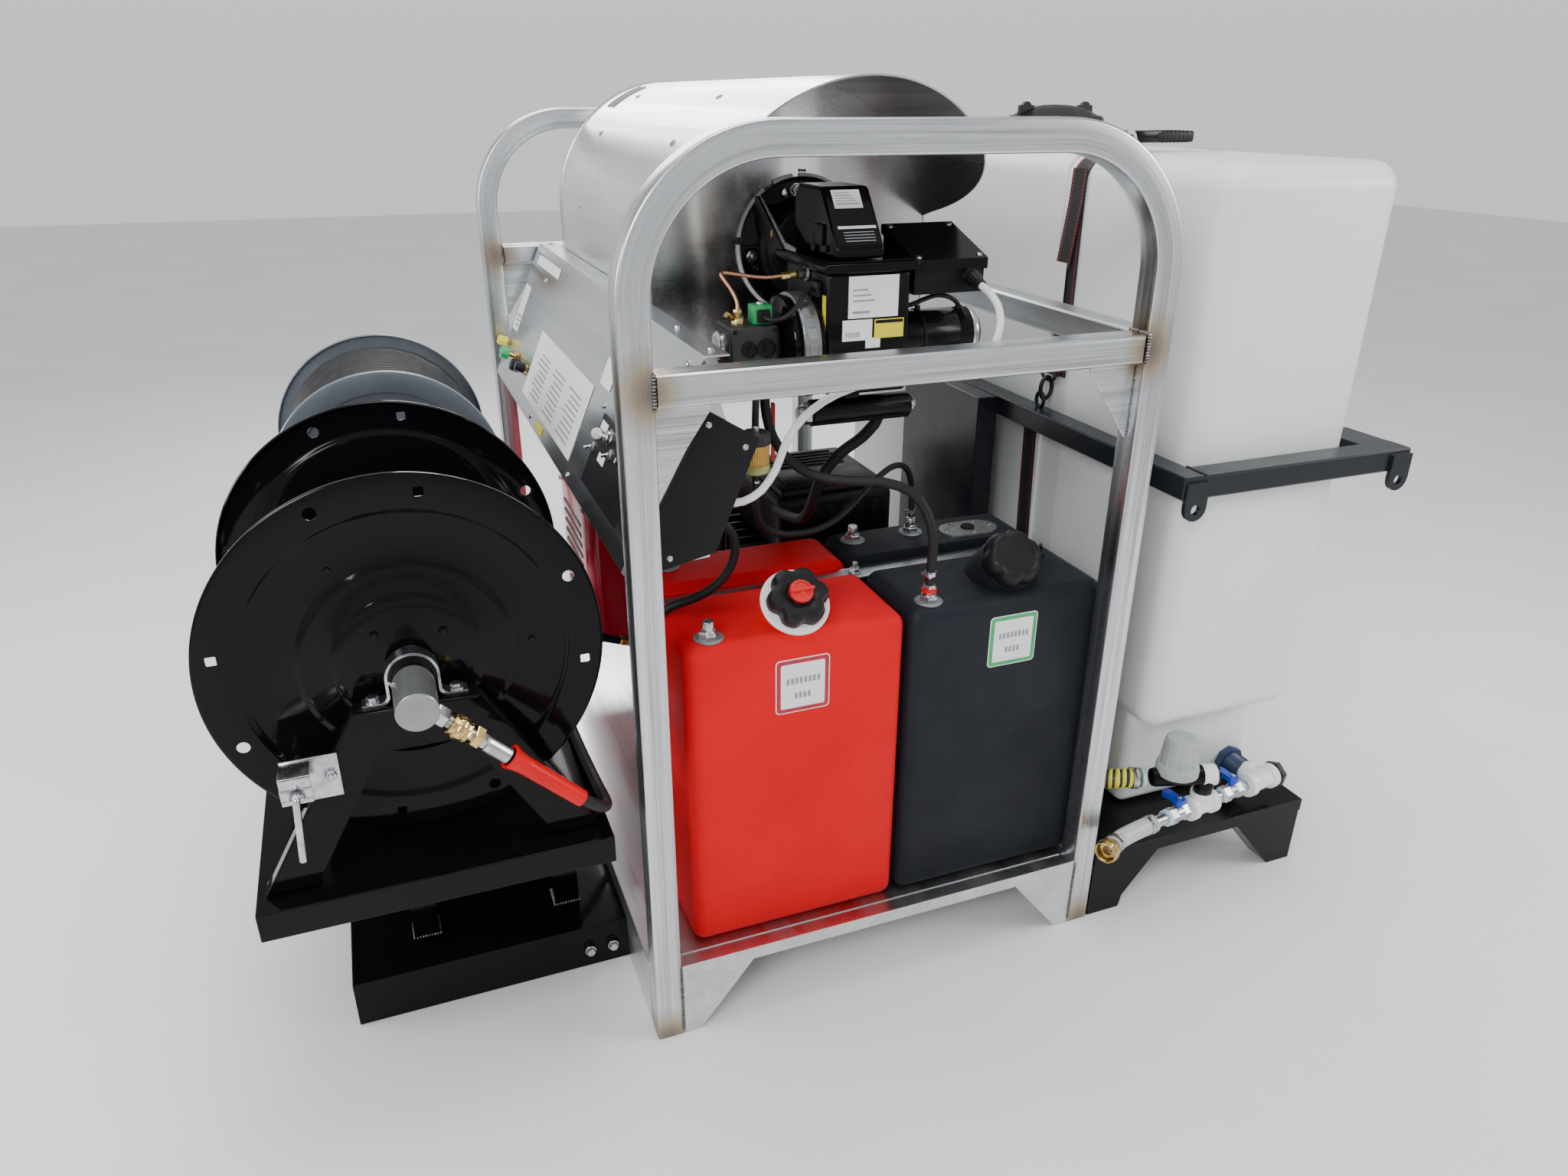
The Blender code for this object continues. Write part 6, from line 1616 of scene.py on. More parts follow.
def make_fuel_pump():
    pump = Piece("fuel_pump_body", "block")
    pump.box((0.250, 0.336), (0.247, 0.333), (1.205, 1.280), 0.004, 3)
    pump.box((0.2465, 0.340), (0.252, 0.328), (1.212, 1.273), 0.003, 2)
    pump.paint("satin")
    for x, z, r in ((0.283, 1.242, 0.015), (0.313, 1.242, 0.017)):
        pump.lathe([(0, 0), (r, 0), (r, 0.003), (r * 0.82, 0.004), (r * 0.8, 0.002),
                    (r * 0.35, 0.002),
                    (r * 0.3, 0.005), (0, 0.005)], (x, 0.247, z), FORWARD, 40)
    for x, z in ((0.2565, 1.273), (0.3290, 1.273), (0.2565, 1.212), (0.3290, 1.212)):
        pump.bolt((x, 0.2475, z), FORWARD, 0.0045, washer=False)
    pump.paint("zinc").lathe([(0, 0), (0.0245, 0), (0.0245, 0.008), (0.022, 0.010), (0, 0.010)],
                             (0.2465, FAN_Y, 1.245), LEFT, 48)
    pump.paint("label").lathe(puck(0.0215, 0.001),
                              (0.2365, FAN_Y, 1.245), LEFT, 48)
    pump.paint("grey_ink")
    for angle in (50, 90, 130, 230, 310):
        turn = math.radians(angle)
        middle = Vector((0.2354, FAN_Y + 0.014 * math.cos(turn), 1.245 + 0.014 * math.sin(turn)))
        tip = Vector((0, math.cos(turn), math.sin(turn)))
        pump.rod(middle - tip * 0.004, middle + tip * 0.004, 0.0009, 8)
    pump.paint("block").rod((0.3275, FAN_Y, FAN_Z), (0.3455, FAN_Y, FAN_Z), 0.030, 40, bevel=0.002)
    pump.paint("brass").hexagon((0.275, 0.285, 1.2795), UP, 0.020, 0.012)
    pump.rod((0.275, 0.285, 1.2915), (0.275, 0.285, 1.300), 0.0065, 20, bevel=0.001)
    pump.hexagon((0.275, 0.285, 1.299), UP, 0.0135, 0.006)
    pump.rod((0.262, 0.285, 1.2895), (0.252, 0.280, 1.2985), 0.0055, 16, bevel=0.001)
    pump.paint("zinc").rod((0.318, 0.272, 1.190), (0.318, 0.272, 1.207), 0.0065, 20, bevel=0.0008)
    pump.paint("green").box((0.296, 0.330), (0.262, 0.294), (1.2805, 1.3125), 0.002, 2)
    pump.paint("moulded").box((0.301, 0.325), (0.2555, 0.263), (1.284, 1.306), 0.003, 2)
    pump.paint("zinc").hexagon((0.313, 0.278, 1.3125), UP, 0.010, 0.004)
    pump.done("fuel_pump", "satin_black")
    line = Piece("nozzle_line", "copper")
    top = smooth_route([(0.275, 0.285, 1.302), (0.275, 0.290, 1.318), (0.268, 0.302, 1.337),
                        (0.258, 0.315, 1.355), (0.262, 0.322, 1.361), (0.290, 0.316, 1.357),
                        (0.330, 0.306, 1.352), (0.366, 0.300, 1.354)], 6)
    line.pipe(top, 0.0034, 14)
    line.paint("brass").rod((0.362, 0.301, 1.354), (0.376, 0.298, 1.355), 0.0062, 6)
    line.rod((0.376, 0.298, 1.355), (0.386, 0.296, 1.356), 0.0048, 18, bevel=0.0006)
    line.hexagon((0.384, 0.296, 1.356), (1, -0.1, 0), 0.0135, 0.008)
    line.paint("zinc").rod((0.391, 0.2955, 1.3565), (0.4085, 0.294, 1.3575), 0.0095, 6)
    line.paint("steel").rod((0.4030, 0.294, 1.3575), (0.4075, 0.294, 1.3575), 0.0140, 28,
                            bevel=0.001)
    line.done()


def make_motor():
    motor = Piece("burner_motor_can", "enamel")
    motor.lathe([(0, 0), (0.046, 0), (0.046, 0.128), (0.0453, 0.129), (0.0453, 0.131),
                 (0.046, 0.132),
                 (0.046, 0.158), (0, 0.158)], (0.5625, FAN_Y, FAN_Z), RIGHT, 80)
    motor.paint("zinc").lathe([(0, 0), (0.0467, 0), (0.0472, 0.001), (0.0472, 0.008),
                               (0.045, 0.012), (0, 0.012)],
                              (0.7195, FAN_Y, FAN_Z), RIGHT, 80)
    motor.paint("moulded").lathe([(0, 0), (0.036, 0), (0.034, 0.009), (0.010, 0.0115),
                                  (0, 0.0115)],
                                 (0.7315, FAN_Y, FAN_Z), RIGHT, 60)
    motor.paint("silver").lathe(puck(0.0455, 0.004),
                                (0.5620, FAN_Y, FAN_Z), RIGHT, 60)
    motor.paint("moulded").lathe([(0.0462, 0), (0.0476, 0), (0.0476, 0.0045), (0.0462, 0.0045)],
                                 (0.6180, FAN_Y, FAN_Z), RIGHT, 64)
    motor.box((0.6165, 0.6240), (0.2790, 0.2890), (1.2830, 1.2915), 0.0012, 2)
    motor.done("burner_motor", "satin_black")
    can = Piece("manifold_can", "enamel")
    can.lathe([(0, 0), (0.021, 0), (0.024, 0.003), (0.024, 0.192), (0.0222, 0.195), (0, 0.195)],
              (0.395, 0.250, 1.120), RIGHT, 56)
    can.box((0.46, 0.49), (0.242, 0.258), (1.136, 1.1595), 0.002, 2)
    can.paint("zinc").hexagon((0.5895, 0.250, 1.120), RIGHT, 0.026, 0.0105)
    can.rod((0.586, 0.250, 1.120), (0.590, 0.250, 1.120), 0.0195, 36, bevel=0.001)
    can.rod((0.600, 0.250, 1.120), (0.6045, 0.250, 1.120), 0.009, 24, bevel=0.001)
    can.hexagon((0.3950, 0.250, 1.120), LEFT, 0.036, 0.012)
    can.rod((0.3835, 0.250, 1.120), (0.3725, 0.250, 1.120), 0.013, 28, bevel=0.001)
    can.done("outlet_manifold", "satin_black")


make_heater()
make_burner()
make_junction_box()
make_fuel_pump()
make_motor()


# ---------------------------------------------------------------- console
SLOPE = Vector((PANEL_LOW[0] - PANEL_TOP[0], 0, PANEL_LOW[1] - PANEL_TOP[1]))
SLOPE_LENGTH = SLOPE.length
SLOPE.normalize()
OFF_PANEL = Vector((SLOPE.z, 0, -SLOPE.x))


def panel_point(along, down, lift=0.0):
    """A point on the sloping panel: Y, share of the slope, height off the sheet's top."""
    place = Vector((PANEL_TOP[0], along, PANEL_TOP[1])) + SLOPE * SLOPE_LENGTH * down
    return place + OFF_PANEL * (0.003 + lift)


def panel_matrix(along, down, lift=0.0, turn=0.0):
    """Local X runs towards the rear, local Y down the slope, local Z off the panel."""
    axes = Matrix(((0, SLOPE.x, OFF_PANEL.x), RIGHT, (0, SLOPE.z, OFF_PANEL.z))).to_4x4()
    return Matrix.Translation(spot(panel_point(along, down,
                                               lift))) @ axes @ Matrix.Rotation(math.radians(turn),
                                                                                4, "Z")


def panel_sheet(piece, along, down, thick=0.0006, lift=0.0003):
    """A flat rectangle between two places along and two shares down the slope."""
    middle = panel_matrix(sum(along) / 2, sum(down) / 2, lift)
    half = ((along[1] - along[0]) / 2, (down[1] - down[0]) * SLOPE_LENGTH / 2)
    return piece.box((-half[0], half[0]), (-half[1], half[1]), (0, thick), 0, 1, middle)


def make_console():
    dress("control_panel", "panel", 0.0022, 3)
    dress("console_cover", "satin", 0.0008)
    notes = Piece("panel_labels", "label")
    panel_sheet(notes, (0.588, 1.186), (0.470, 0.907))
    panel_sheet(notes, (1.205, 1.512), (0.060, 0.128))
    panel_sheet(notes, (1.480, 1.560), (0.300, 0.640))
    panel_sheet(notes, (0.478, 0.560), (0.285, 0.430))
    panel_sheet(notes, (0.405, 0.452), (0.560, 0.605), lift=0.0012)
    panel_sheet(notes, (0.358, 0.404), (0.700, 0.745), lift=0.0012)
    notes.paint("grey_ink")
    for row in range(9):
        for column in range(3):
            along = (0.640 + 0.175 * column,
                     0.765 + 0.175 * column - 0.010 * ((row * 7 + column) % 4))
            panel_sheet(notes, along, (0.585 + 0.033 * row, 0.595 + 0.033 * row), lift=0.0008)
    for row in range(3):
        panel_sheet(notes, (1.492, 1.548 - 0.010 * row),
                    (0.520 + 0.035 * row, 0.535 + 0.035 * row), lift=0.0008)
    notes.paint("yellow")
    panel_sheet(notes, (0.862, 0.948), (0.930, 0.985))
    notes.done()
    plate = Piece("switch_plate", "satin")
    panel_sheet(plate, (0.181, 0.460), (0.530, 0.900), thick=0.0012, lift=0.0001)
    plate.done(bevel=0.0004)
    screws = Piece("panel_screws", "zinc")
    for along, down in ((1.345, 0.190), (1.023, 0.965), (0.560, 0.965), (0.484, 0.505),
                        (1.500, 0.05), (0.130, 0.06)):
        base = panel_point(along, down)
        screws.lathe([(0, -0.001), (0.0065, -0.001), (0.0062, 0.0014), (0.004, 0.0030),
                      (0, 0.0034)], base, OFF_PANEL, 20)
    for y in (0.110, 0.300, 0.780, 1.260, 1.540):
        screws.bolt((0.172, y, PANEL_TOP[1] + 0.0030), UP, 0.0060)
    for at in ((0.152, 0.0685, 1.170), (0.080, 0.0685, 0.955), (0.212, 0.0685, 1.128)):
        screws.lathe([(0, 0), (0.006, 0), (0.0055, 0.0014), (0.0035, 0.0030), (0, 0.0032)], at,
                     FORWARD, 20)
    screws.done()
    key = Piece("key_switch_parts", "zinc", "key_switch")
    base = panel_point(0.375, 0.600, 0.0006)
    key.lathe([(0, 0), (0.0150, 0), (0.0150, 0.002), (0.0120, 0.0035), (0.0120, 0.009),
               (0.0105, 0.010), (0, 0.010)],
              base, OFF_PANEL, 40)
    key.paint("label").box((-0.0012, 0.0012), (-0.0075, 0.0075), (0.008, 0.0215), 0.0005, 1,
                           Matrix.Translation(spot(base)) @ turn_to(OFF_PANEL))
    key.lathe([(0, 0), (0.0090, 0), (0.0105, 0.0006), (0.0105, 0.0018), (0.0090, 0.0024),
               (0, 0.0024)],
              base + OFF_PANEL * 0.0260 + Vector((0, -0.0012, 0)), BACK, 28)
    key.done("key_switch", "zinc")
    for name, along, down in (("burner_switch", 0.452, 0.715), ("pump_switch", 0.336, 0.665)):
        base = panel_point(along, down, 0.0015)
        collar = Piece(name + "_collar", "zinc")
        collar.lathe([(0.0, 0), (0.0118, 0), (0.0118, 0.0022), (0.0080, 0.0030), (0.0078, 0.0046),
                      (0.0, 0.0048)], base, OFF_PANEL, 6)
        collar.done()
        lever = Piece(name + "_toggle", "zinc", name)
        lever.lathe([(0.0, 0.0050), (0.0030, 0.0053), (0.0040, 0.0070), (0.0032, 0.0088),
                     (0.0, 0.0092)], base, OFF_PANEL, 24)
        lever.rod(base + OFF_PANEL * 0.0075, base + OFF_PANEL * 0.0165 + SLOPE * 0.0060, 0.0022,
                  20, 0.0036, 0.0006)
        lever.done(name, "satin_black")
    base = panel_point(0.240, 0.600, 0.0008)
    dial = Piece("thermostat_dial", "moulded", "thermostat_knob")
    flute = lambda angle: 1.0 - 0.05 * (0.5 + 0.5 * math.cos(12 * angle)) ** 2
    dial.lathe([(0, 0), (0.0200, 0), (0.0200, 0.003), (0.0172, 0.0045), (0.0160, 0.0185),
                (0.0145, 0.0198), (0, 0.0198)],
               base, OFF_PANEL, 96, flute)
    dial.paint("label").rod(base + OFF_PANEL * 0.0196 + SLOPE * 0.005,
                            base + OFF_PANEL * 0.0204 + SLOPE * 0.0135, 0.0012, 8)
    dial.done("thermostat_knob", "satin_black")
    base = panel_point(1.360, 0.765, 0.0006)
    valve = Piece("chemical_valve_knob", "green", "chemical_valve")
    valve.paint("brass").hexagon(base, OFF_PANEL, 0.022, 0.009)
    valve.rod(base + OFF_PANEL * 0.008, base + OFF_PANEL * 0.030, 0.0072, 24, bevel=0.0006)
    valve.paint("green").lathe([(0, 0), (0.0150, 0), (0.0165, 0.002), (0.0165, 0.017),
                                (0.0150, 0.0195), (0, 0.0195)],
                               base + OFF_PANEL * 0.026, OFF_PANEL, 96, lobed(8, 0.06, 1.0))
    valve.done("chemical_valve", "valve_green")
    taps = Piece("panel_fittings", "yellow")
    for along, down, look, size in ((1.535, 0.752, "yellow", 0.013),
                                    (1.455, 0.790, "green", 0.011),
                                    (1.275, 0.790, "moulded", 0.016),
                                    (1.215, 0.765, "moulded", 0.013)):
        at = panel_point(along, down, 0.0004)
        taps.paint("brass").hexagon(at, OFF_PANEL, size * 1.5, 0.008)
        taps.paint(look).lathe([(0, 0), (size, 0), (size, 0.020), (size * 0.8, 0.024), (0, 0.024)],
                               at + OFF_PANEL * 0.007, OFF_PANEL, 60, lobed(8, 0.07, 1.0))
    taps.done()
    gland = Piece("lead_gland", "moulded")
    gland.rod((0.158, 0.098, 1.0405), (0.145, 0.098, 1.048), 0.0120, 20, bevel=0.001)
    gland.done()


# ---------------------------------------------------------------- engine and pump
def make_engine():
    block = Piece("engine_block", "block")
    block.box((0.400, 0.780), (0.640, 1.360), (0.200, 0.560), 0.020, 4)
    for side in range(2):
        x = (0.410, 0.580) if side == 0 else (0.600, 0.770)
        for step in range(13):
            y = 0.700 + 0.050 * step
            block.box(x, (y, y + 0.006), (0.400, 0.688), 0.002, 1)
        block.box((x[0] + 0.025, x[1] - 0.025), (0.690, 1.330), (0.420, 0.670), 0.010, 2)
    for y in (0.700, 1.240):
        block.box((0.430, 0.750), (y, y + 0.060), (0.1468, 0.212), 0.004, 2)
    block.lathe([(0, 0), (0.110, 0), (0.114, 0.004), (0.114, 0.040), (0, 0.040)],
                (0.600, 0.606, 0.420), BACK, 72)
    block.lathe([(0, 0), (0.037, 0), (0.040, 0.002), (0.040, 0.060), (0, 0.060)],
                (0.600, 0.5785, 0.420), BACK, 48)
    block.paint("zinc")
    for step in range(6):
        angle = math.radians(60 * step + 30)
        block.bolt((0.600 + 0.096 * math.cos(angle), 0.606, 0.420 + 0.096 * math.sin(angle)),
                   FORWARD, 0.009)
    for x in (0.445, 0.735):
        for y in (0.730, 1.270):
            block.bolt((x, y, 0.212), UP, 0.011)
    block.done("engine", "engine_black")
    cleaner = Piece("air_cleaner", "moulded")
    cleaner.box((0.470, 0.750), (0.600, 0.900), (0.690, 0.826), 0.018, 4)
    cleaner.box((0.482, 0.738), (0.612, 0.888), (0.820, 0.842), 0.010, 4)
    for step in range(6):
        x = 0.515 + 0.036 * step
        cleaner.box((x, x + 0.020), (0.5970, 0.6030), (0.722, 0.800), 0.003, 2)
    cleaner.box((0.505, 0.715), (0.630, 0.742), (0.8385, 0.8455), 0.003, 2)
    for step in range(5):
        y = 0.765 + 0.022 * step
        cleaner.box((0.520, 0.700), (y, y + 0.008), (0.8390, 0.8450), 0.002, 1)
    cleaner.paint("zinc").bolt((0.610, 0.668, 0.8455), UP, 0.008)
    cleaner.done()
    shroud = Piece("engine_cover", "engine_red")
    shroud.box((0.110, 0.399), (1.000, 1.340), (0.330, 0.730), 0.034, 6)
    shroud.paint("block")
    for step in range(9):
        z = 0.420 + 0.028 * step
        shroud.box((0.1075, 0.114), (1.060, 1.280), (z, z + 0.012), 0.003, 2)
    shroud.box((0.150, 0.350), (1.050, 1.290), (0.7250, 0.7345), 0.003, 2)
    shroud.paint("zinc")
    for y, z in ((1.030, 0.370), (1.310, 0.370), (1.030, 0.700), (1.310, 0.700)):
        shroud.bolt((0.1105, y, z), LEFT, 0.007)
    shroud.done("engine_shroud", "engine_red")
    pump = Piece("pump_head", "cast")
    pump.box((0.180, 0.380), (0.640, 0.820), (0.270, 0.460), 0.012, 4)
    pump.box((0.195, 0.365), (0.800, 0.900), (0.285, 0.445), 0.009, 4)
    pump.box((0.200, 0.360), (0.680, 0.780), (0.1468, 0.280), 0.004, 2)
    for step in range(5):
        z = 0.292 + 0.036 * step
        pump.box((0.1765, 0.3835), (0.650, 0.795), (z, z + 0.010), 0.003, 2)
    pump.rod((0.280, 0.595, 0.365), (0.280, 0.650, 0.365), 0.045, 48, bevel=0.003)
    port, inner = Vector((0.400, 0.611, 0.278)), Vector((0.335, 0.655, 0.298))
    pump.rod(inner, port, 0.0195, 36, bevel=0.001)
    outlet, facing = Vector((0.1485, 0.860, 0.415)), Vector((-0.955, 0, 0.296)).normalized()
    pump.paint("brass").rod(outlet - facing * 0.060, outlet - facing * 0.026, 0.0128, 30,
                            bevel=0.001)
    pump.hexagon(outlet - facing * 0.026, facing, 0.0225, 0.0245)
    pump.rod((0.330, 0.860, 0.440), (0.330, 0.860, 0.498), 0.0135, 30, bevel=0.002)
    for z in (0.320, 0.365, 0.410):
        pump.paint("brass").hexagon((0.1955, 0.850, z), LEFT, 0.026, 0.010)
    pump.paint("zinc")
    for x in (0.205, 0.355):
        for z in (0.295, 0.435):
            pump.bolt((x, 0.6405, z), FORWARD, 0.009)
    pump.done("high_pressure_pump", "cast_grey")
    for node in ("engine_pulley", "pump_pulley"):
        dress(node, "cast", 0.0008)
    dress("drive_belt", "rubber", 0.0006)


def make_filter():
    x, y = 0.275, 0.200
    rib = lambda angle: 1.0 + 0.018 * math.cos(36 * angle)
    bowl = Piece("filter_bowl", "amber")
    bowl.lathe([(0, 0), (0.0225, 0), (0.0238, 0.002), (0.0243, 0.040), (0, 0.040)], (x, y, 1.052),
               UP, 288, rib)
    bowl.paint("bowl").lathe([(0, 0), (0.0140, 0), (0.0235, 0.005), (0.0250, 0.0085),
                              (0.0250, 0.0150), (0.0236, 0.0180), (0, 0.0180)],
                             (x, y, 1.0355), UP, 72)
    bowl.paint("moulded").rod((x, y, 1.022), (x, y, 1.038), 0.0068, 20, bevel=0.001)
    bowl.paint("zinc").hexagon((x, y, 1.0195), UP, 0.013, 0.005)
    bowl.paint("block").lathe([(0, 0), (0.0262, 0), (0.0278, 0.002), (0.0278, 0.014),
                               (0.0255, 0.018), (0.0225, 0.0215), (0, 0.0215)],
                              (x, y, 1.0905), UP, 96, lobed(10, 0.04, 1.0))
    bowl.box((0.195, 0.262), (0.190, 0.210), (1.0955, 1.1075), 0.002, 2)
    bowl.paint("zinc").rod((x, y, 1.1115), (x, y, 1.122), 0.0070, 20, bevel=0.0008)
    bowl.done("fuel_filter", "amber")


def make_small_hoses():
    """The loose hoses and cables about the filter, the manifold and the burner."""
    ends = [
        ("manifold_hose", "rubber", 0.022, join_routes(
            [(0.540, 0.2655, 1.096)],
            smooth_route([(0.536, 0.272, 1.080), (0.520, 0.292, 1.050), (0.490, 0.312, 1.020),
                          (0.468, 0.330, 0.985),
                          (0.455, 0.345, 0.945), (0.452, 0.365, 0.905), (0.456, 0.400, 0.868),
                          (0.461, 0.450, 0.838),
                          (0.463, 0.505, 0.822), (0.463, 0.560, 0.812), (0.463, 0.598, 0.806)],
                         3))),
        ("return_hose", "rubber", 0.0125, join_routes(
            [(0.275, 0.200, 1.0185), (0.276, 0.203, 1.000)],
            smooth_route([(0.279, 0.210, 0.975), (0.288, 0.224, 0.944), (0.306, 0.240, 0.916),
                          (0.336, 0.254, 0.895),
                          (0.376, 0.262, 0.886), (0.420, 0.268, 0.886), (0.466, 0.278, 0.897),
                          (0.508, 0.294, 0.917),
                          (0.548, 0.314, 0.938), (0.588, 0.338, 0.955), (0.628, 0.364, 0.960),
                          (0.664, 0.390, 0.948),
                          (0.690, 0.411, 0.920), (0.702, 0.421, 0.882), (0.7055, 0.4245, 0.845),
                          (0.706, 0.425, 0.8205)], 3))),
        ("feed_hose", "rubber", 0.0125, join_routes(
            [(0.275, 0.200, 1.1215), (0.2755, 0.2010, 1.132)],
            smooth_route([(0.278, 0.206, 1.150), (0.283, 0.217, 1.168), (0.290, 0.231, 1.183),
                          (0.296, 0.244, 1.194),
                          (0.299, 0.2535, 1.2035)], 4))),
        ("motor_cable", "rubber", 0.0085, join_routes(
            [(0.5635, 0.262, 1.296)],
            smooth_route([(0.574, 0.254, 1.296), (0.592, 0.248, 1.301), (0.618, 0.252, 1.308),
                          (0.646, 0.262, 1.311),
                          (0.674, 0.270, 1.306), (0.694, 0.276, 1.296), (0.703, 0.2795, 1.2865)],
                         3))),
        ("solenoid_cable", "rubber", 0.0085, join_routes(
            [(0.313, 0.2555, 1.295)],
            smooth_route([(0.314, 0.246, 1.293), (0.321, 0.232, 1.292), (0.334, 0.221, 1.297),
                          (0.350, 0.217, 1.308),
                          (0.364, 0.222, 1.322), (0.376, 0.232, 1.333), (0.390, 0.240, 1.338),
                          (0.4075, 0.243, 1.339)], 3))),
        ("console_cable", "rubber", 0.0165, join_routes(
            [(0.152, 0.190, 0.9705), (0.172, 0.190, 0.9700)],
            smooth_route([(0.190, 0.190, 0.966), (0.214, 0.191, 0.952), (0.230, 0.193, 0.926),
                          (0.233, 0.196, 0.894),
                          (0.224, 0.199, 0.864), (0.204, 0.202, 0.838), (0.176, 0.206, 0.819),
                          (0.150, 0.210, 0.8085),
                          (0.122, 0.214, 0.8010), (0.100, 0.219, 0.7880), (0.0885, 0.224, 0.765),
                          (0.0855, 0.228, 0.735),
                          (0.0855, 0.231, 0.690), (0.0855, 0.234, 0.560), (0.0855, 0.236, 0.400),
                          (0.0855, 0.237, 0.250),
                          (0.0855, 0.238, 0.1475)], 2))),
    ]
    for name, look, diameter, route in ends:
        lay_cord(name, look, route, diameter, "medium", replaced=(), sides=16, slot="rubber_black")
    bits = Piece("hose_fittings", "zinc")
    bits.clamp((0.706, 0.425, 0.832), UP, 0.0066, 0.008, 200)
    bits.paint("moulded")
    bits.rod((0.5625, 0.262, 1.296), (0.5680, 0.259, 1.296), 0.0080, 20, bevel=0.001)
    bits.rod((0.4085, 0.243, 1.339), (0.3985, 0.2415, 1.3385), 0.0100, 20, 0.0075, 0.001)
    bits.box((0.3960, 0.4085), (0.228, 0.256), (1.326, 1.352), 0.003, 2)
    bits.rod((0.703, 0.2795, 1.2810), (0.703, 0.2795, 1.2880), 0.0068, 20, bevel=0.001)
    bits.paint("red_knob").box((0.344, 0.350), (0.300, 0.312), (1.020, 1.130), 0.002, 2)
    bits.done()


make_console()
make_engine()
make_filter()
make_small_hoses()


# ---------------------------------------------------------------- hose reels
def reel_disc(piece, radius, x, z, face, way, shaft):
    """One pressed disc: rolled rim, stepped rings and a domed hub, as a thin closed shell."""
    r = radius
    outer = [
        (shaft, 0.022), (0.30 * r, 0.014), (0.345 * r, 0.0125), (0.370 * r, 0.0085),
             (0.385 * r, 0.0060),
        (0.50 * r, 0.0060), (0.520 * r, 0.0050), (0.535 * r, 0.0010), (0.550 * r, 0.0),
             (0.78 * r, 0.0),
        (0.795 * r, 0.0012), (0.805 * r, 0.0048), (0.820 * r, 0.0058), (0.975 * r, 0.0058),
        (0.985 * r, 0.0054), (0.9925 * r, 0.0036), (0.9925 * r + 0.0002, 0.0000),
             (0.990 * r, -0.0024),
    ]
    back = [(0.982 * r, -0.0040), (0.9805 * r, 0.0030), (0.9700 * r, 0.0038), (0.822 * r, 0.0038),
            (0.808 * r, 0.0028), (0.798 * r, -0.0006), (0.785 * r, -0.0020), (0.545 * r, -0.0020),
            (0.530 * r, -0.0008), (0.515 * r, 0.0030), (0.500 * r, 0.0040), (0.385 * r, 0.0040),
            (0.370 * r, 0.0060), (0.345 * r, 0.0105), (0.30 * r, 0.0120), (shaft, 0.0200)]
    profile = [*outer[:-1], (0.9915 * r, -0.0024), (0.9860 * r, -0.0042), *back]
    return piece.lathe(profile, (x, face, z), (0, way, 0), 160)


def make_black_reel():
    y0, y1 = 0.100, 0.545
    for tag, face, way in (("front", y0 + 0.006, -1), ("rear", y1 - 0.006, 1)):
        disc = Piece("black_reel_disc_" + tag, "gloss", "black_reel")
        reel_disc(disc, REEL_R, REEL_X, REEL_Z, face, way, 0.020)
        made = disc.done()
        tools = []
        for number, angle in enumerate((22, 80, 112, 170, 202, 260, 292, 350)):
            turn = math.radians(angle)
            at = (REEL_X + 0.90 * REEL_R * math.cos(turn), REEL_Z + 0.90 * REEL_R * math.sin(turn))
            if number % 2:
                tools.append(cutter(lambda p,
                                    at=at: p.box((at[0] - 0.0075, at[0] + 0.0075),
                                                 (face - 0.03, face + 0.03),
                                                           (at[1] - 0.0075, at[1] + 0.0075), 0.002,
                                                           2)))
            else:
                tools.append(cutter(lambda p,
                                    at=at: p.rod((at[0], face - 0.03, at[1]),
                                                 (at[0], face + 0.03, at[1]), 0.0098, 28)))
        cut(made, tools)
        made.data.shade_smooth()
        made.data.set_sharp_from_angle(angle=math.radians(48))
        if tag == "front":
            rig.replaces(made, "hose_reel_black")
            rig.slot(made, "gloss_black")
    core = Piece("black_reel_drum", "enamel", "black_reel")
    core.lathe([(0.116, 0), (0.120, 0), (0.120, 0.437), (0.116, 0.437)],
               (REEL_X, y0 + 0.004, REEL_Z), BACK, 96)
    core.lathe(puck(0.017, 0.615), (REEL_X, y0 - 0.085, REEL_Z),
               BACK, 48)
    core.lathe([(0.017, 0), (0.027, 0.004), (0.034, 0.016), (0.052, 0.018), (0.056, 0.024),
                (0.017, 0.026)],
               (REEL_X, y0 - 0.028, REEL_Z), BACK, 64)
    core.paint("enamel")
    for step in range(4):
        angle = math.radians(90 * step + 40)
        at = (REEL_X + 0.072 * math.cos(angle), y0 - 0.0135, REEL_Z + 0.072 * math.sin(angle))
        core.bolt(at, FORWARD, 0.0065)
    for x, z in ((0.19, 0.0), (-0.095, 0.1645), (-0.095, -0.1645)):
        at = (REEL_X + x, y0 + 0.0055, REEL_Z + z)
        core.bolt(at, FORWARD, 0.0060, washer=False)
    core.done()


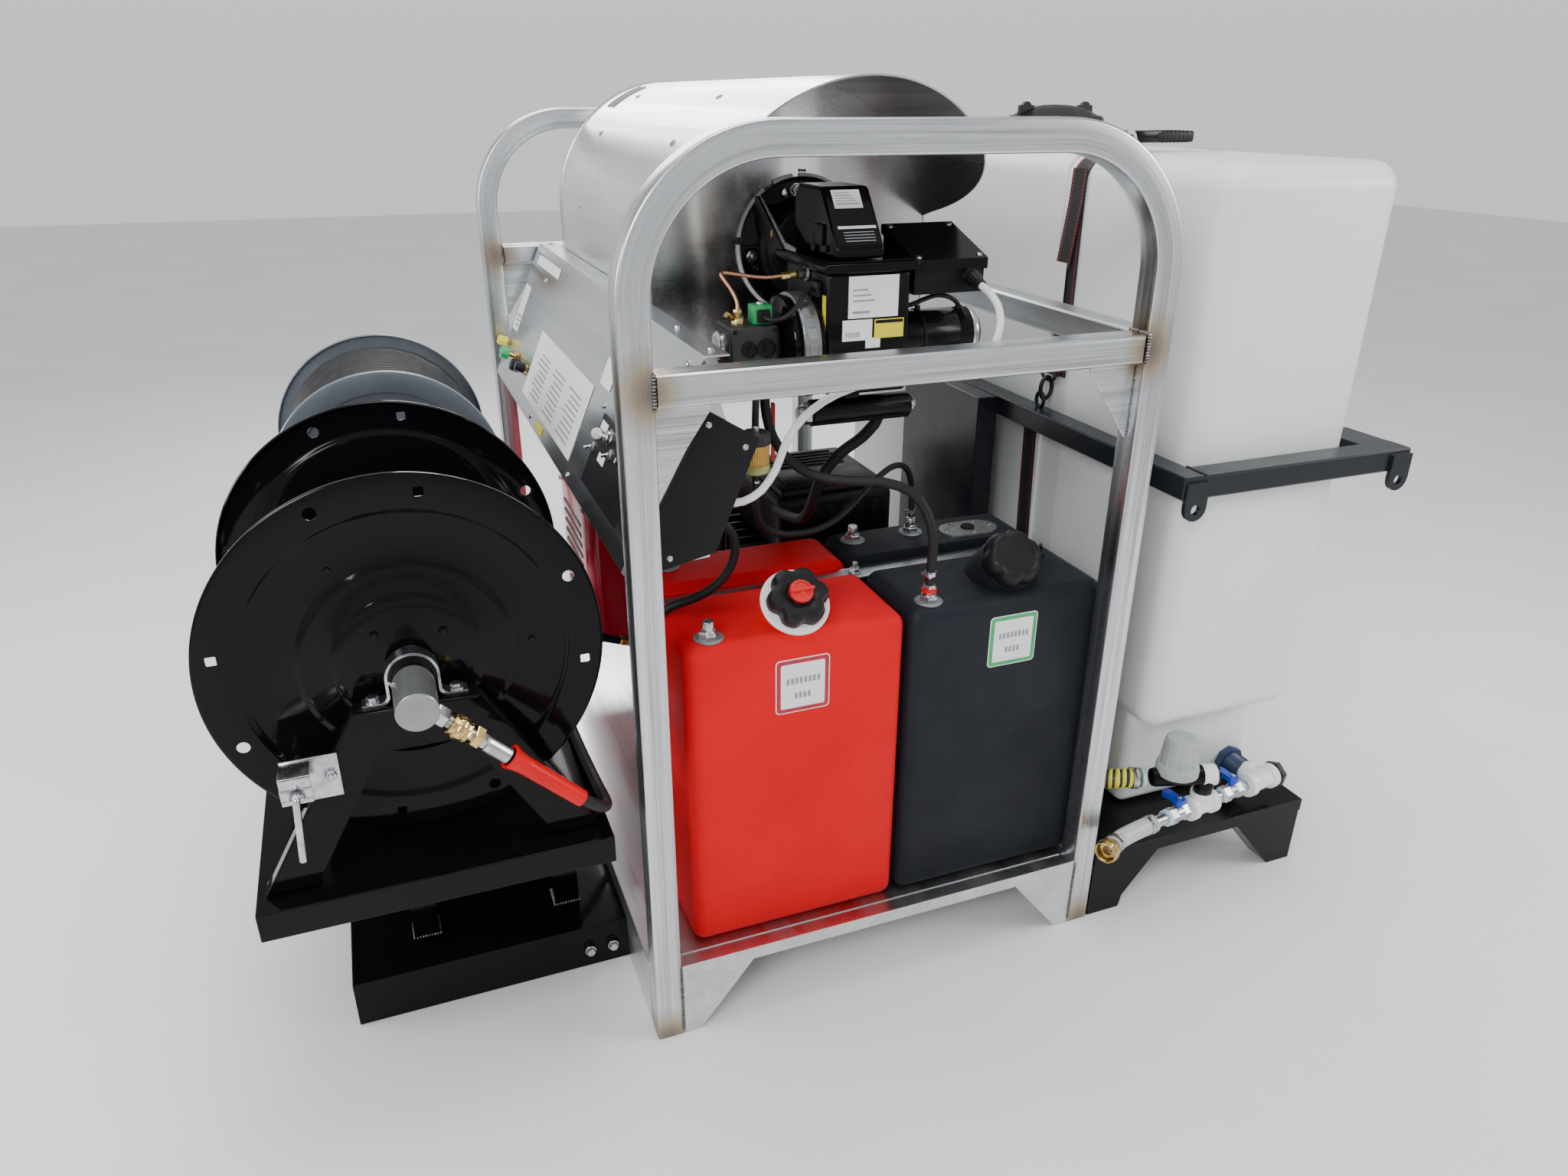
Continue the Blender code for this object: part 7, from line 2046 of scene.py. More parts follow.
def make_grey_reel():
    y0, y1 = 0.740, 1.130
    discs = Piece("grey_reel_discs", "hammer", "grey_reel")
    for face, way in ((y0 + 0.006, -1), (y1 - 0.006, 1)):
        reel_disc(discs, GREY_R, GREY_X, GREY_Z, face, way, 0.0)
    discs.lathe([(0.106, 0), (0.110, 0), (0.110, 0.378), (0.106, 0.378)],
                (GREY_X, y0 + 0.006, GREY_Z), BACK, 80)
    discs.paint("zinc").lathe(puck(0.017, 0.480),
                              (GREY_X, y0 - 0.045, GREY_Z), BACK, 40)
    discs.done("hose_reel_grey", "grey_hammer")
    size, gap = 0.0234, 0.0235
    turns, layers = 15, 4
    route = []
    low, high = y0 + 0.012 + size / 2, y1 - 0.012 - size / 2
    for layer in range(layers):
        radius = 0.1108 + size / 2 + layer * gap
        steps = turns * 24
        first, last = (low, high) if layer % 2 == 0 else (high, low)
        for step in range(steps + (1 if layer == layers - 1 else 0)):
            share = step / steps
            angle = 2 * math.pi * (layer * turns + share * turns) + 1.1
            ease = min(1.0, max(0.0, (step - 18) / (steps - 36)))
            lift = 0.0
            if layer and step < 12:
                lift = -gap * (1 - step / 12)
            reach = radius + lift
            route.append((GREY_X + reach * math.cos(angle), first + (last - first) * ease,
                          GREY_Z + reach * math.sin(angle)))
    points = [Vector(p) for p in route]
    look = Look("wound", (0.014, 0.014, 0.015), 0.42)
    place = look.coords((1, 1, 1), "UV")
    split = look.node("SeparateXYZ")
    look.link(place, split.inputs[0])
    # A narrow copper-brown line along one side of the wound hose is a painted highlight on the black rubber.
    side = look.math("ABSOLUTE", look.math("SUBTRACT", split.outputs[0], 0.022))
    cloud = look.noise(look.coords(), 60.0)
    dark = look.mix(look.span(cloud, 0.3, 0.7), (0.010, 0.010, 0.011), (0.022, 0.022, 0.023))
    color = look.mix(look.span(side, 0.0022, 0.0030, 1.0, 0.0), dark, (0.40, 0.16, 0.05))
    LOOKS["wound"] = look.use(color, look.span(cloud, 0.3, 0.7, 0.34, 0.52),
                              look.noise(look.coords(), 900.0), 0.2)
    piece = Piece("wound_hose_run", "wound", "grey_reel").pipe(points, size / 2, 10)
    made = piece.done("wound_hose", "rubber_black")
    end = points[-1]
    way = (points[-1] - points[-2]).normalized()
    tip = Piece("wound_hose_end", "brass", "grey_reel")
    tip.hexagon(end, way, 0.021, 0.010)
    tip.rod(end + way * 0.010, end + way * 0.026, 0.0075, 24, bevel=0.001)
    tip.paint("zinc").clamp(end - way * 0.012, way, size / 2 + 0.0003, 0.010, 90)
    tip_made = tip.done()
    path = [tuple(spot(p)) for p in points]
    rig.cord(made, exit=path[0], length=round(length_of(points), 2), diameter=size,
            far_end="fitting",
            stiffness="medium", lay="coiled", path=path, with_pieces=[tip_made])


def make_stands():
    for name, y in (("front_reel_stand", 0.040), ("rear_reel_stand", 0.586)):
        top, low = REEL_Z - 0.042, 0.4925
        piece = Piece(name + "_plate", "gloss")
        x, half_top, half_foot = REEL_X, 0.092, 0.264
        outline = [
            (x - half_foot, low), (x - half_top, top), (x + half_top, top), (x + half_foot, low),
            (x + half_foot - 0.075, low), (x + half_top - 0.030, top - 0.075),
            (x - half_top + 0.030, top - 0.075), (x - half_foot + 0.075, low),
        ]
        piece.prism(outline, "Y", (y, y + 0.006))
        piece.box((x - half_top, x + half_top), (y - 0.012, y + 0.030),
                  (top - 0.006, top + 0.0005), 0.0012)
        piece.box((x - half_top + 0.030, x + half_top - 0.030), (y + 0.001, y + 0.006),
                  (top - 0.079, top - 0.073))
        for near in (x - half_foot, x + half_foot - 0.077):
            piece.box((near, near + 0.077), (y, y + 0.036), (0.4908, 0.4965), 0.001)
        for side in (-1, 1):
            a = Vector((x + side * half_foot, y + 0.003, low))
            b = Vector((x + side * half_top, y + 0.003, top))
            out = Vector((side * 0.003, 0, 0))
            start, end = a - out, b - out
            middle = (start + end) / 2
            along = (end - start)
            turn = Matrix.Rotation(math.atan2(along.x, along.z), 4, "Y")
            piece.box((-0.0028, 0.0028), (-0.003, 0.022),
                      (-along.length / 2 + 0.004, along.length / 2 - 0.003), 0.001, 1,
                      Matrix.Translation(spot(middle)) @ turn)
        piece.done(name, "gloss_black", bevel=0.0009)
        at = y + 0.014
        strap = Piece(name + "_bearing", "zinc")
        z = REEL_Z
        inner = [(-0.078, z - 0.0410), (-0.046, z - 0.0410), (-0.0405, z - 0.0375),
                 (-0.036, z - 0.030),
                 *[(px, pz) for px, pz in reversed(arc((0, z), 0.036, 0, 180, 18))],
                 (0.036, z - 0.030), (0.0405, z - 0.0375), (0.046, z - 0.0410),
                 (0.078, z - 0.0410)]
        outer = [(0.078, z - 0.0365), (0.048, z - 0.0365), (0.0445, z - 0.0340),
                 (0.0402, z - 0.027),
                 *arc((0, z), 0.0402, 0, 180, 18),
                 (-0.0402, z - 0.027), (-0.0445, z - 0.0340), (-0.048, z - 0.0365),
                 (-0.078, z - 0.0365)]
        strap.prism([(REEL_X + px, pz) for px, pz in [*inner, *outer]], "Y",
                    (at - 0.013, at + 0.013))
        for side in (-1, 1):
            strap.bolt((REEL_X + side * 0.062, at, z - 0.0365), UP, 0.0105)
        strap.done(bevel=0.0009)
        insert = Piece(name + "_insert", "moulded")
        insert.lathe([(0.0178, 0), (0.0225, -0.001), (0.0235, 0.003), (0.029, 0.004), (0.030, 0.0),
                      (0.0355, 0.0), (0.0355, 0.022), (0.0178, 0.022)], (REEL_X, at - 0.011, z),
                     BACK, 56)
        insert.box((REEL_X - 0.034, REEL_X - 0.020), (at - 0.010, at + 0.010),
                   (z - 0.0410, z - 0.018), 0.002)
        insert.box((REEL_X + 0.020, REEL_X + 0.034), (at - 0.010, at + 0.010),
                   (z - 0.0410, z - 0.018), 0.002)
        insert.done()


def make_lock_pin():
    x, z = -0.520, 0.700
    clip = Piece("lock_pin_clip", "zinc")
    clip.box((x - 0.022, x + 0.060), (0.0345, 0.0390), (z - 0.045, z + 0.030), 0.001)
    clip.box((x - 0.022, x + 0.022), (-0.0115, 0.0385), (z + 0.025, z + 0.0285), 0.001)
    for low_, high_ in ((z - 0.018, z - 0.008), (z + 0.008, z + 0.028)):
        clip.box((x - 0.022, x + 0.022), (-0.0115, -0.0080), (low_, high_), 0.0008)
    for side in (-1, 1):
        clip.box((x + side * 0.015 - 0.0075, x + side * 0.015 + 0.0075), (-0.0115, -0.0080),
                 (z - 0.010, z + 0.010), 0.0004)
    clip.bolt((x + 0.047, 0.0345, z - 0.004), FORWARD, 0.010, thread=0.004)
    clip.done(bevel=0.0005)
    spring = Piece("lock_pin_spring", "steel")
    coil = []
    for step in range(5 * 16 + 1):
        angle = 2 * math.pi * step / 16
        coil.append((x + 0.0090 * math.cos(angle), -0.0065 + 0.0225 * step / 80,
                     z + 0.0090 * math.sin(angle)))
    spring.pipe(coil, 0.0010, 6)
    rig.squash(spring.done(), "lock_pin_pull", axis=BACK, anchor=tuple(spot(x, -0.0075, z)),
              keep=0.16)
    pin = Piece("lock_pin_rod", "zinc", "lock_pin")
    pin.rod((x, -0.024, z), (x, 0.092, z), 0.0061, 28, bevel=0.0015)
    pin.rod((x, 0.018, z), (x, 0.023, z), 0.0108, 28, bevel=0.0008)
    pin.pipe(join_routes([(x, -0.010, z), (x, -0.016, z)],
                         bend((x, -0.017, z), (0, -0.009, 0), (x - 0.0010, -0.026, z - 0.010),
                              (0, 0, -0.006), 8),
                         [(x - 0.008, -0.026, z - 0.108)]), 0.0055, 16)
    pin.done("lock_pin", "zinc")


def make_swivel():
    hub = Piece("reel_swivel_hub", "silver")
    hub.lathe([(0, 0), (0.0295, 0), (0.031, 0.0015), (0.031, 0.088), (0.0285, 0.090),
               (0.0285, 0.097),
               (0.027, 0.100), (0.0178, 0.100), (0.0178, 0.080), (0, 0.080)],
              (REEL_X, -0.072, REEL_Z), BACK, 80)
    side = Vector((-0.906, 0, 0.423))
    base = Vector((REEL_X, 0.002, REEL_Z)) + side * 0.0305
    hub.paint("steel").lathe([(0, 0), (0.004, 0), (0.004, 0.003), (0.0022, 0.0045),
                              (0.0030, 0.0065), (0.0022, 0.0085), (0, 0.009)],
                             base, side, 16)
    out = SWIVEL
    hub.paint("zinc").rod(out + HOSE_DIR * 0.026, out + HOSE_DIR * 0.034, 0.0125, 28)
    hub.lathe([(0, 0), (0.0150, 0), (0.0165, 0.0015), (0.0165, 0.0185), (0.0145, 0.021),
               (0, 0.021)],
              out + HOSE_DIR * 0.031, HOSE_DIR, 6)
    thread = [(0, 0)]
    for step in range(6):
        thread += [(0.0098, 0.0012 * step * 1.4), (0.0108, 0.0012 * step * 1.4 + 0.0008)]
    thread += [(0.0098, 0.0112), (0, 0.0112)]
    hub.lathe(thread, out + HOSE_DIR * 0.050, HOSE_DIR, 32)
    hub.lathe(puck(0.0098, 0.058), out + HOSE_DIR * 0.056, HOSE_DIR,
              40)
    hub.paint("brass").lathe([(0.0100, 0), (0.0165, 0), (0.0180, 0.0015), (0.0180, 0.0137),
                              (0.0165, 0.0152), (0.0100, 0.0152)],
                             out + HOSE_DIR * 0.1004, HOSE_DIR, 6)
    hub.paint("zinc").hexagon(out + HOSE_DIR * 0.1155, HOSE_DIR, 0.0225, 0.009)
    crimp = lambda angle: 1.0 - 0.025 * (0.5 + 0.5 * math.cos(8 * angle)) ** 6
    hub.lathe([(0, 0), (0.0108, 0), (0.0135, 0.0015), (0.0138, 0.010), (0.0132, 0.0105),
               (0.0132, 0.012),
               (0.0138, 0.0125), (0.0138, 0.0440), (0.0125, 0.0455), (0, 0.0455)],
              out + HOSE_DIR * 0.1245, HOSE_DIR, 96, crimp)
    hub.done("reel_swivel", "zinc")
    sleeve = Piece("coupler_ring", "brass", "coupler_sleeve")
    ring = lobed(12, 0.035, 1.0)
    sleeve.lathe([(0.0104, 0.0), (0.0165, 0.0), (0.0178, 0.0012), (0.0180, 0.004),
                  (0.0162, 0.0055), (0.0160, 0.0085),
                  (0.0185, 0.0105), (0.0200, 0.0130), (0.0202, 0.0200), (0.0190, 0.0235),
                  (0.0172, 0.0250),
                  (0.0170, 0.0290), (0.0180, 0.0305), (0.0178, 0.0312), (0.0104, 0.0312)],
                 out + HOSE_DIR * 0.0605, HOSE_DIR, 96, ring)
    sleeve.done("coupler_sleeve", "brass")


def make_rack():
    dress("reel_rack", "gloss", 0.0022, 3)
    dress("grey_reel_stand", "hammer", 0.0015)
    extras = Piece("rack_bolts", "zinc")
    for x in (-0.080, -0.033):
        extras.bolt((x, 0.2315, 0.046), FORWARD, 0.0105)
    for x, y in ((REEL_X - 0.226, 0.064), (REEL_X + 0.226, 0.064), (REEL_X - 0.226, 0.604),
                 (REEL_X + 0.226, 0.604)):
        extras.bolt((x, y, 0.4965), UP, 0.009, thread=0.004)
    for x in (GREY_X - 0.14, GREY_X + 0.14):
        for y in (0.68, 1.156):
            extras.bolt((x, y, 0.4965), UP, 0.009)
    extras.done()
    beads = Piece("rack_welds", "bead")
    for x in (-0.410, -0.130):
        for y in (0.330, 0.800):
            for a, b in (((x, y), (x + 0.05, y)), ((x, y), (x, y + 0.05)),
                         ((x + 0.05, y), (x + 0.05, y + 0.05))):
                beads.bead([(*a, 0.1005), (*b, 0.1005)], 0.0028)
    beads.done()


make_black_reel()
make_grey_reel()
make_stands()
make_lock_pin()
make_swivel()
make_rack()


# ---------------------------------------------------------------- water tank
def make_water_tank():
    x, y, z = (1.095, 1.490), (0.047, 1.600), (0.400, POLY_TOP)
    tank = Piece("water_tank_shell", "poly")
    tank.box(x, y, z, 0.050, 9)
    shell = tank.done("water_tank", "poly_white")
    tools = [
        cutter(lambda p: p.box((x[0] - 0.02, x[1] + 0.02), (0.462, 0.547),
                               (z[1] - 0.006, z[1] + 0.02))),
        cutter(lambda p: p.box((x[0] - 0.02, x[0] + 0.006), (0.462, 0.547), (0.36, 1.60))),
        cutter(lambda p: p.box((x[1] - 0.006, x[1] + 0.02), (0.462, 0.547), (0.36, 1.60))),
    ]
    for side in (1, -1):
        near = x[0] + 0.006 if side > 0 else x[1] - 0.006
        high = z[1] - 0.006
        middle = (near + side * 0.050, high - 0.050)
        turn = (180, 90) if side > 0 else (0, 90)
        outline = [*arc(middle, 0.050, *turn, 10), (middle[0], high + 0.03),
                   (near - side * 0.03, high + 0.03),
                   (near - side * 0.03, middle[1])]
        tools.append(cutter(lambda p, o=outline: p.prism(o, "Y", (0.462, 0.547))))
    cut(shell, tools)
    soften(shell, 0.004, 3)
    foot = Piece("water_tank_sump", "poly")
    foot.box((1.120, 1.465), (0.130, 1.500), (0.1670, 0.430), 0.022, 6)
    foot.done(slot="poly_white")
    neck = Piece("water_tank_neck", "poly")
    profile = [(0, -0.004), (0.112, -0.004), (0.109, 0.001), (0.104, 0.003)]
    for step in range(3):
        profile += [(0.1040, 0.005 + 0.005 * step), (0.1062, 0.007 + 0.005 * step)]
    profile += [(0.1040, 0.0198), (0, 0.0198)]
    neck.lathe(profile, (*LID, POLY_TOP), UP, 96)
    neck.done(slot="poly_white")
    z0 = POLY_TOP + 0.0205
    lid = Piece("tank_lid_dome", "moulded", "tank_lid")
    grip = lambda angle: 1.0 - 0.012 * (0.5 + 0.5 * math.cos(30 * angle)) ** 3
    lid.lathe([(0, 0.001), (0.108, 0.001), (0.108, 0), (0.112, 0), (0.114, 0.003), (0.114, 0.037),
               (0.1115, 0.0405)],
              (*LID, z0), UP, 240, grip)
    lid.lathe([(0, 0.004), (0.1125, 0.004), (0.1125, 0.039), (0.108, 0.0425), (0.102, 0.0440),
               (0.100, 0.0430),
               (0.096, 0.0450), (0.078, 0.0550), (0.055, 0.0620), (0.030, 0.0660), (0, 0.0675)],
              (*LID, z0), UP, 96)
    for side in (-1, 1):
        cx = LID[0] + side * 0.082
        outline = [(cx - 0.020, z0 + 0.040), (cx - 0.018, z0 + 0.066),
                   *arc((cx, z0 + 0.062), 0.0118, 165, 15, 10),
                   (cx + 0.018, z0 + 0.066), (cx + 0.020, z0 + 0.040)]
        lid.prism(outline, "Y", (LID[1] - 0.006, LID[1] + 0.006))
    for step in range(8):
        angle = math.radians(45 * step + 22)
        a = Vector((LID[0] + 0.045 * math.cos(angle), LID[1] + 0.045 * math.sin(angle),
                    z0 + 0.0625))
        b = Vector((LID[0] + 0.096 * math.cos(angle), LID[1] + 0.096 * math.sin(angle),
                    z0 + 0.0445))
        lid.rod(a, b, 0.0024, 8)
    lid.done("tank_lid", "cap_black", bevel=0.0008)


def make_belt():
    dress("belt_frame", "bluish", 0.0022)
    dress("tank_bracket", "enamel", 0.0020)
    beads = Piece("belt_welds", "block")
    for x in (1.030, 1.080):
        beads.bead([(x + 0.0, 0.042, 1.0055), (x + 0.0, -0.012, 1.0055)], 0.0026)
    for x in (1.032, 1.533):
        beads.bead([(x, -0.0165, 0.9595), (x + 0.048, -0.0165, 0.9595)], 0.0026)
    beads.bead([(0.975, -0.001, 0.1655), (1.160, -0.001, 0.1655)], 0.0024)
    beads.bead([(1.335, -0.001, 0.1655), (1.530, -0.001, 0.1655)], 0.0024)
    beads.bead([(0.9815, 0.640, 1.000), (1.030, 0.640, 1.000)], 0.0026)
    beads.done()


def make_strap():
    left, right, top = 1.101, 1.484, POLY_TOP - 0.006
    radius, rise = 0.050, 0.0022
    out = [(left - rise, 1.074), (left - rise, 1.25),
           *arc((left + radius, top - radius), radius + rise, 180, 90, 14),
           *arc((right - radius, top - radius), radius + rise, 90, 0, 14), (right + rise, 0.60)]
    path = [(x, 0.5045, z) for x, z in out]
    half = 0.0245
    section = [(half, 0.0010), (-half, 0.0010), (-half, -0.0010), (half, -0.0010)]
    band = Piece("tie_down_web", "webbing")
    band.sweep(path, section, side=BACK)
    fold = [(1.0925, 0.507, 1.200), (1.0915, 0.509, 1.140), (1.0905, 0.511, 1.074)]
    band.sweep(fold, [(half * 0.82, 0.0010), (-half * 0.82, 0.0010), (-half * 0.82, -0.0010),
                      (half * 0.82, -0.0010)],
               side=BACK)
    band.sweep([(1.0935, 0.585, 0.955), (1.0930, 0.580, 0.80), (1.0925, 0.572, 0.62),
                (1.0932, 0.566, 0.45)],
               section, side=BACK)
    band.sweep([(1.0950, 0.498, 1.505), (1.0948, 0.503, 1.44), (1.0946, 0.514, 1.37),
                (1.0944, 0.526, 1.305)],
               section, side=BACK)
    band.done("tie_down_strap", "web_black")
    tag = Piece("strap_tag", "label")
    tag.box((1.0930, 1.0937), (0.510, 0.549), (1.195, 1.315))
    tag.done()
    ring = Piece("strap_shackle", "moulded")
    loop = [(1.073 + 0.017 * math.cos(t), 0.509 + 0.004 * math.cos(t), 1.048 + 0.024 * math.sin(t))
            for t in (2 * math.pi * s / 28 for s in range(28))]
    ring.pipe(loop, 0.0048, 12, loop=True)
    second = [(1.060, 0.509 + 0.014 * math.cos(t), 1.022 + 0.017 * math.sin(t))
              for t in (2 * math.pi * s / 24 for s in range(24))]
    ring.pipe(second, 0.0042, 12, loop=True)
    ring.pipe([(1.076, 0.509 + 0.024 * math.cos(t), 1.076 + 0.010 * math.sin(t))
               for t in (2 * math.pi * s / 24 for s in range(24))], 0.0036, 10, loop=True)
    ring.done()
    x, y, z = 1.190, 0.5045, POLY_TOP + 0.028
    low = POLY_TOP - 0.0030
    body = Piece("ratchet_base", "zinc")
    body.box((x - 0.055, x + 0.045), (y - 0.030, y + 0.030), (low, low + 0.0035), 0.001)
    for near in (y - 0.030, y + 0.0275):
        outline = [(x - 0.045, low + 0.002), (x - 0.045, low + 0.014),
                   *arc((x, z), 0.0150, 150, 20, 10), (x + 0.030, low + 0.002)]
        body.prism(outline, "Y", (near, near + 0.0025))
    body.rod((x - 0.048, y - 0.033, low + 0.010), (x - 0.048, y + 0.033, low + 0.010), 0.0045, 20)
    body.done(bevel=0.0005)
    roll = Piece("ratchet_roll", "webbing", "ratchet_handle")
    roll.lathe([(0.0066, 0), (0.0105, 0), (0.0105, 0.038), (0.0066, 0.038)], (x, y - 0.019, z),
               BACK, 40)
    roll.done()
    lever = Piece("ratchet_lever", "enamel", "ratchet_handle")
    lever.rod((x, y - 0.034, z), (x, y + 0.034, z), 0.0064, 32, bevel=0.001)
    for near in (y - 0.0255, y + 0.0225):
        teeth = [(x + r * math.cos(a), z + r * math.sin(a)) for s in range(36)
                 for a, r in ((2 * math.pi * s / 36, 0.0135 if s % 3 else 0.0108),)]
        lever.prism(teeth, "Y", (near, near + 0.003))
        lever.box((x - 0.002, x + 0.080), (near, near + 0.0025), (z - 0.010, z + 0.012), 0.001)
    lever.paint("moulded").box((x + 0.068, x + 0.165), (y - 0.026, y + 0.026),
                               (z - 0.010, z + 0.012), 0.005, 4)
    for step in range(7):
        lever.box((x + 0.085 + 0.010 * step, x + 0.089 + 0.010 * step), (y - 0.0265, y + 0.0265),
                  (z - 0.0105, z + 0.0125), 0.001)
    lever.done("ratchet_handle", "satin_black", bevel=0.0004)


# ---------------------------------------------------------------- plumbing
def tee(piece, middle, way, branch, reach, branch_reach, radius, inner):
    """A moulded tee with thick collars on its three ends."""
    middle, way, branch = Vector(middle), Vector(way), Vector(branch)
    collar = [(0, 0), (radius, 0), (radius + 0.0005, 0.0015), (radius + 0.0005, 0.015),
              (radius - 0.001, 0.0165),
              (inner, 0.0180), (inner, reach), (0, reach)]
    piece.lathe(collar, middle + way * reach, -way, 48)
    piece.lathe(collar, middle - way * reach, way, 48)
    up = [(0, 0), (radius - 0.003, 0), (radius - 0.0025, 0.0015), (radius - 0.0025, 0.013),
          (inner - 0.001, 0.0155),
          (inner - 0.001, branch_reach), (0, branch_reach)]
    piece.lathe(up, middle + branch * branch_reach, -branch, 48)
    return piece


def ball_valve(piece, low, high, way):
    """Chrome body with hexagon ends and a round waist."""
    low, high, way = Vector(low), Vector(high), Vector(way)
    piece.lathe([(0, 0), (0.0175, 0), (0.0188, 0.0012), (0.0188, 0.017), (0.0175, 0.0185),
                 (0, 0.0185)], low, way, 6)
    piece.lathe([(0, 0), (0.0175, 0), (0.0188, 0.0012), (0.0188, 0.020), (0.0175, 0.0215),
                 (0, 0.0215)],
                high - way * 0.0215, way, 6)
    piece.rod(low + way * 0.015, high - way * 0.018, 0.0168, 36)
    stem = (low + high) / 2
    piece.rod(stem + UP * 0.010, stem + UP * 0.0188, 0.0085, 24, bevel=0.0008)


def threads(piece, base, way, radius, length, pitch=0.0022, depth=0.0010):
    profile = [(0, 0), (radius - depth, 0)]
    count = int(length / pitch)
    for step in range(count):
        profile += [(radius - depth, pitch * step + 0.0001), (radius, pitch * (step + 0.5))]
    profile += [(radius - depth, length), (0, length)]
    return piece.lathe(profile, base, way, 40)


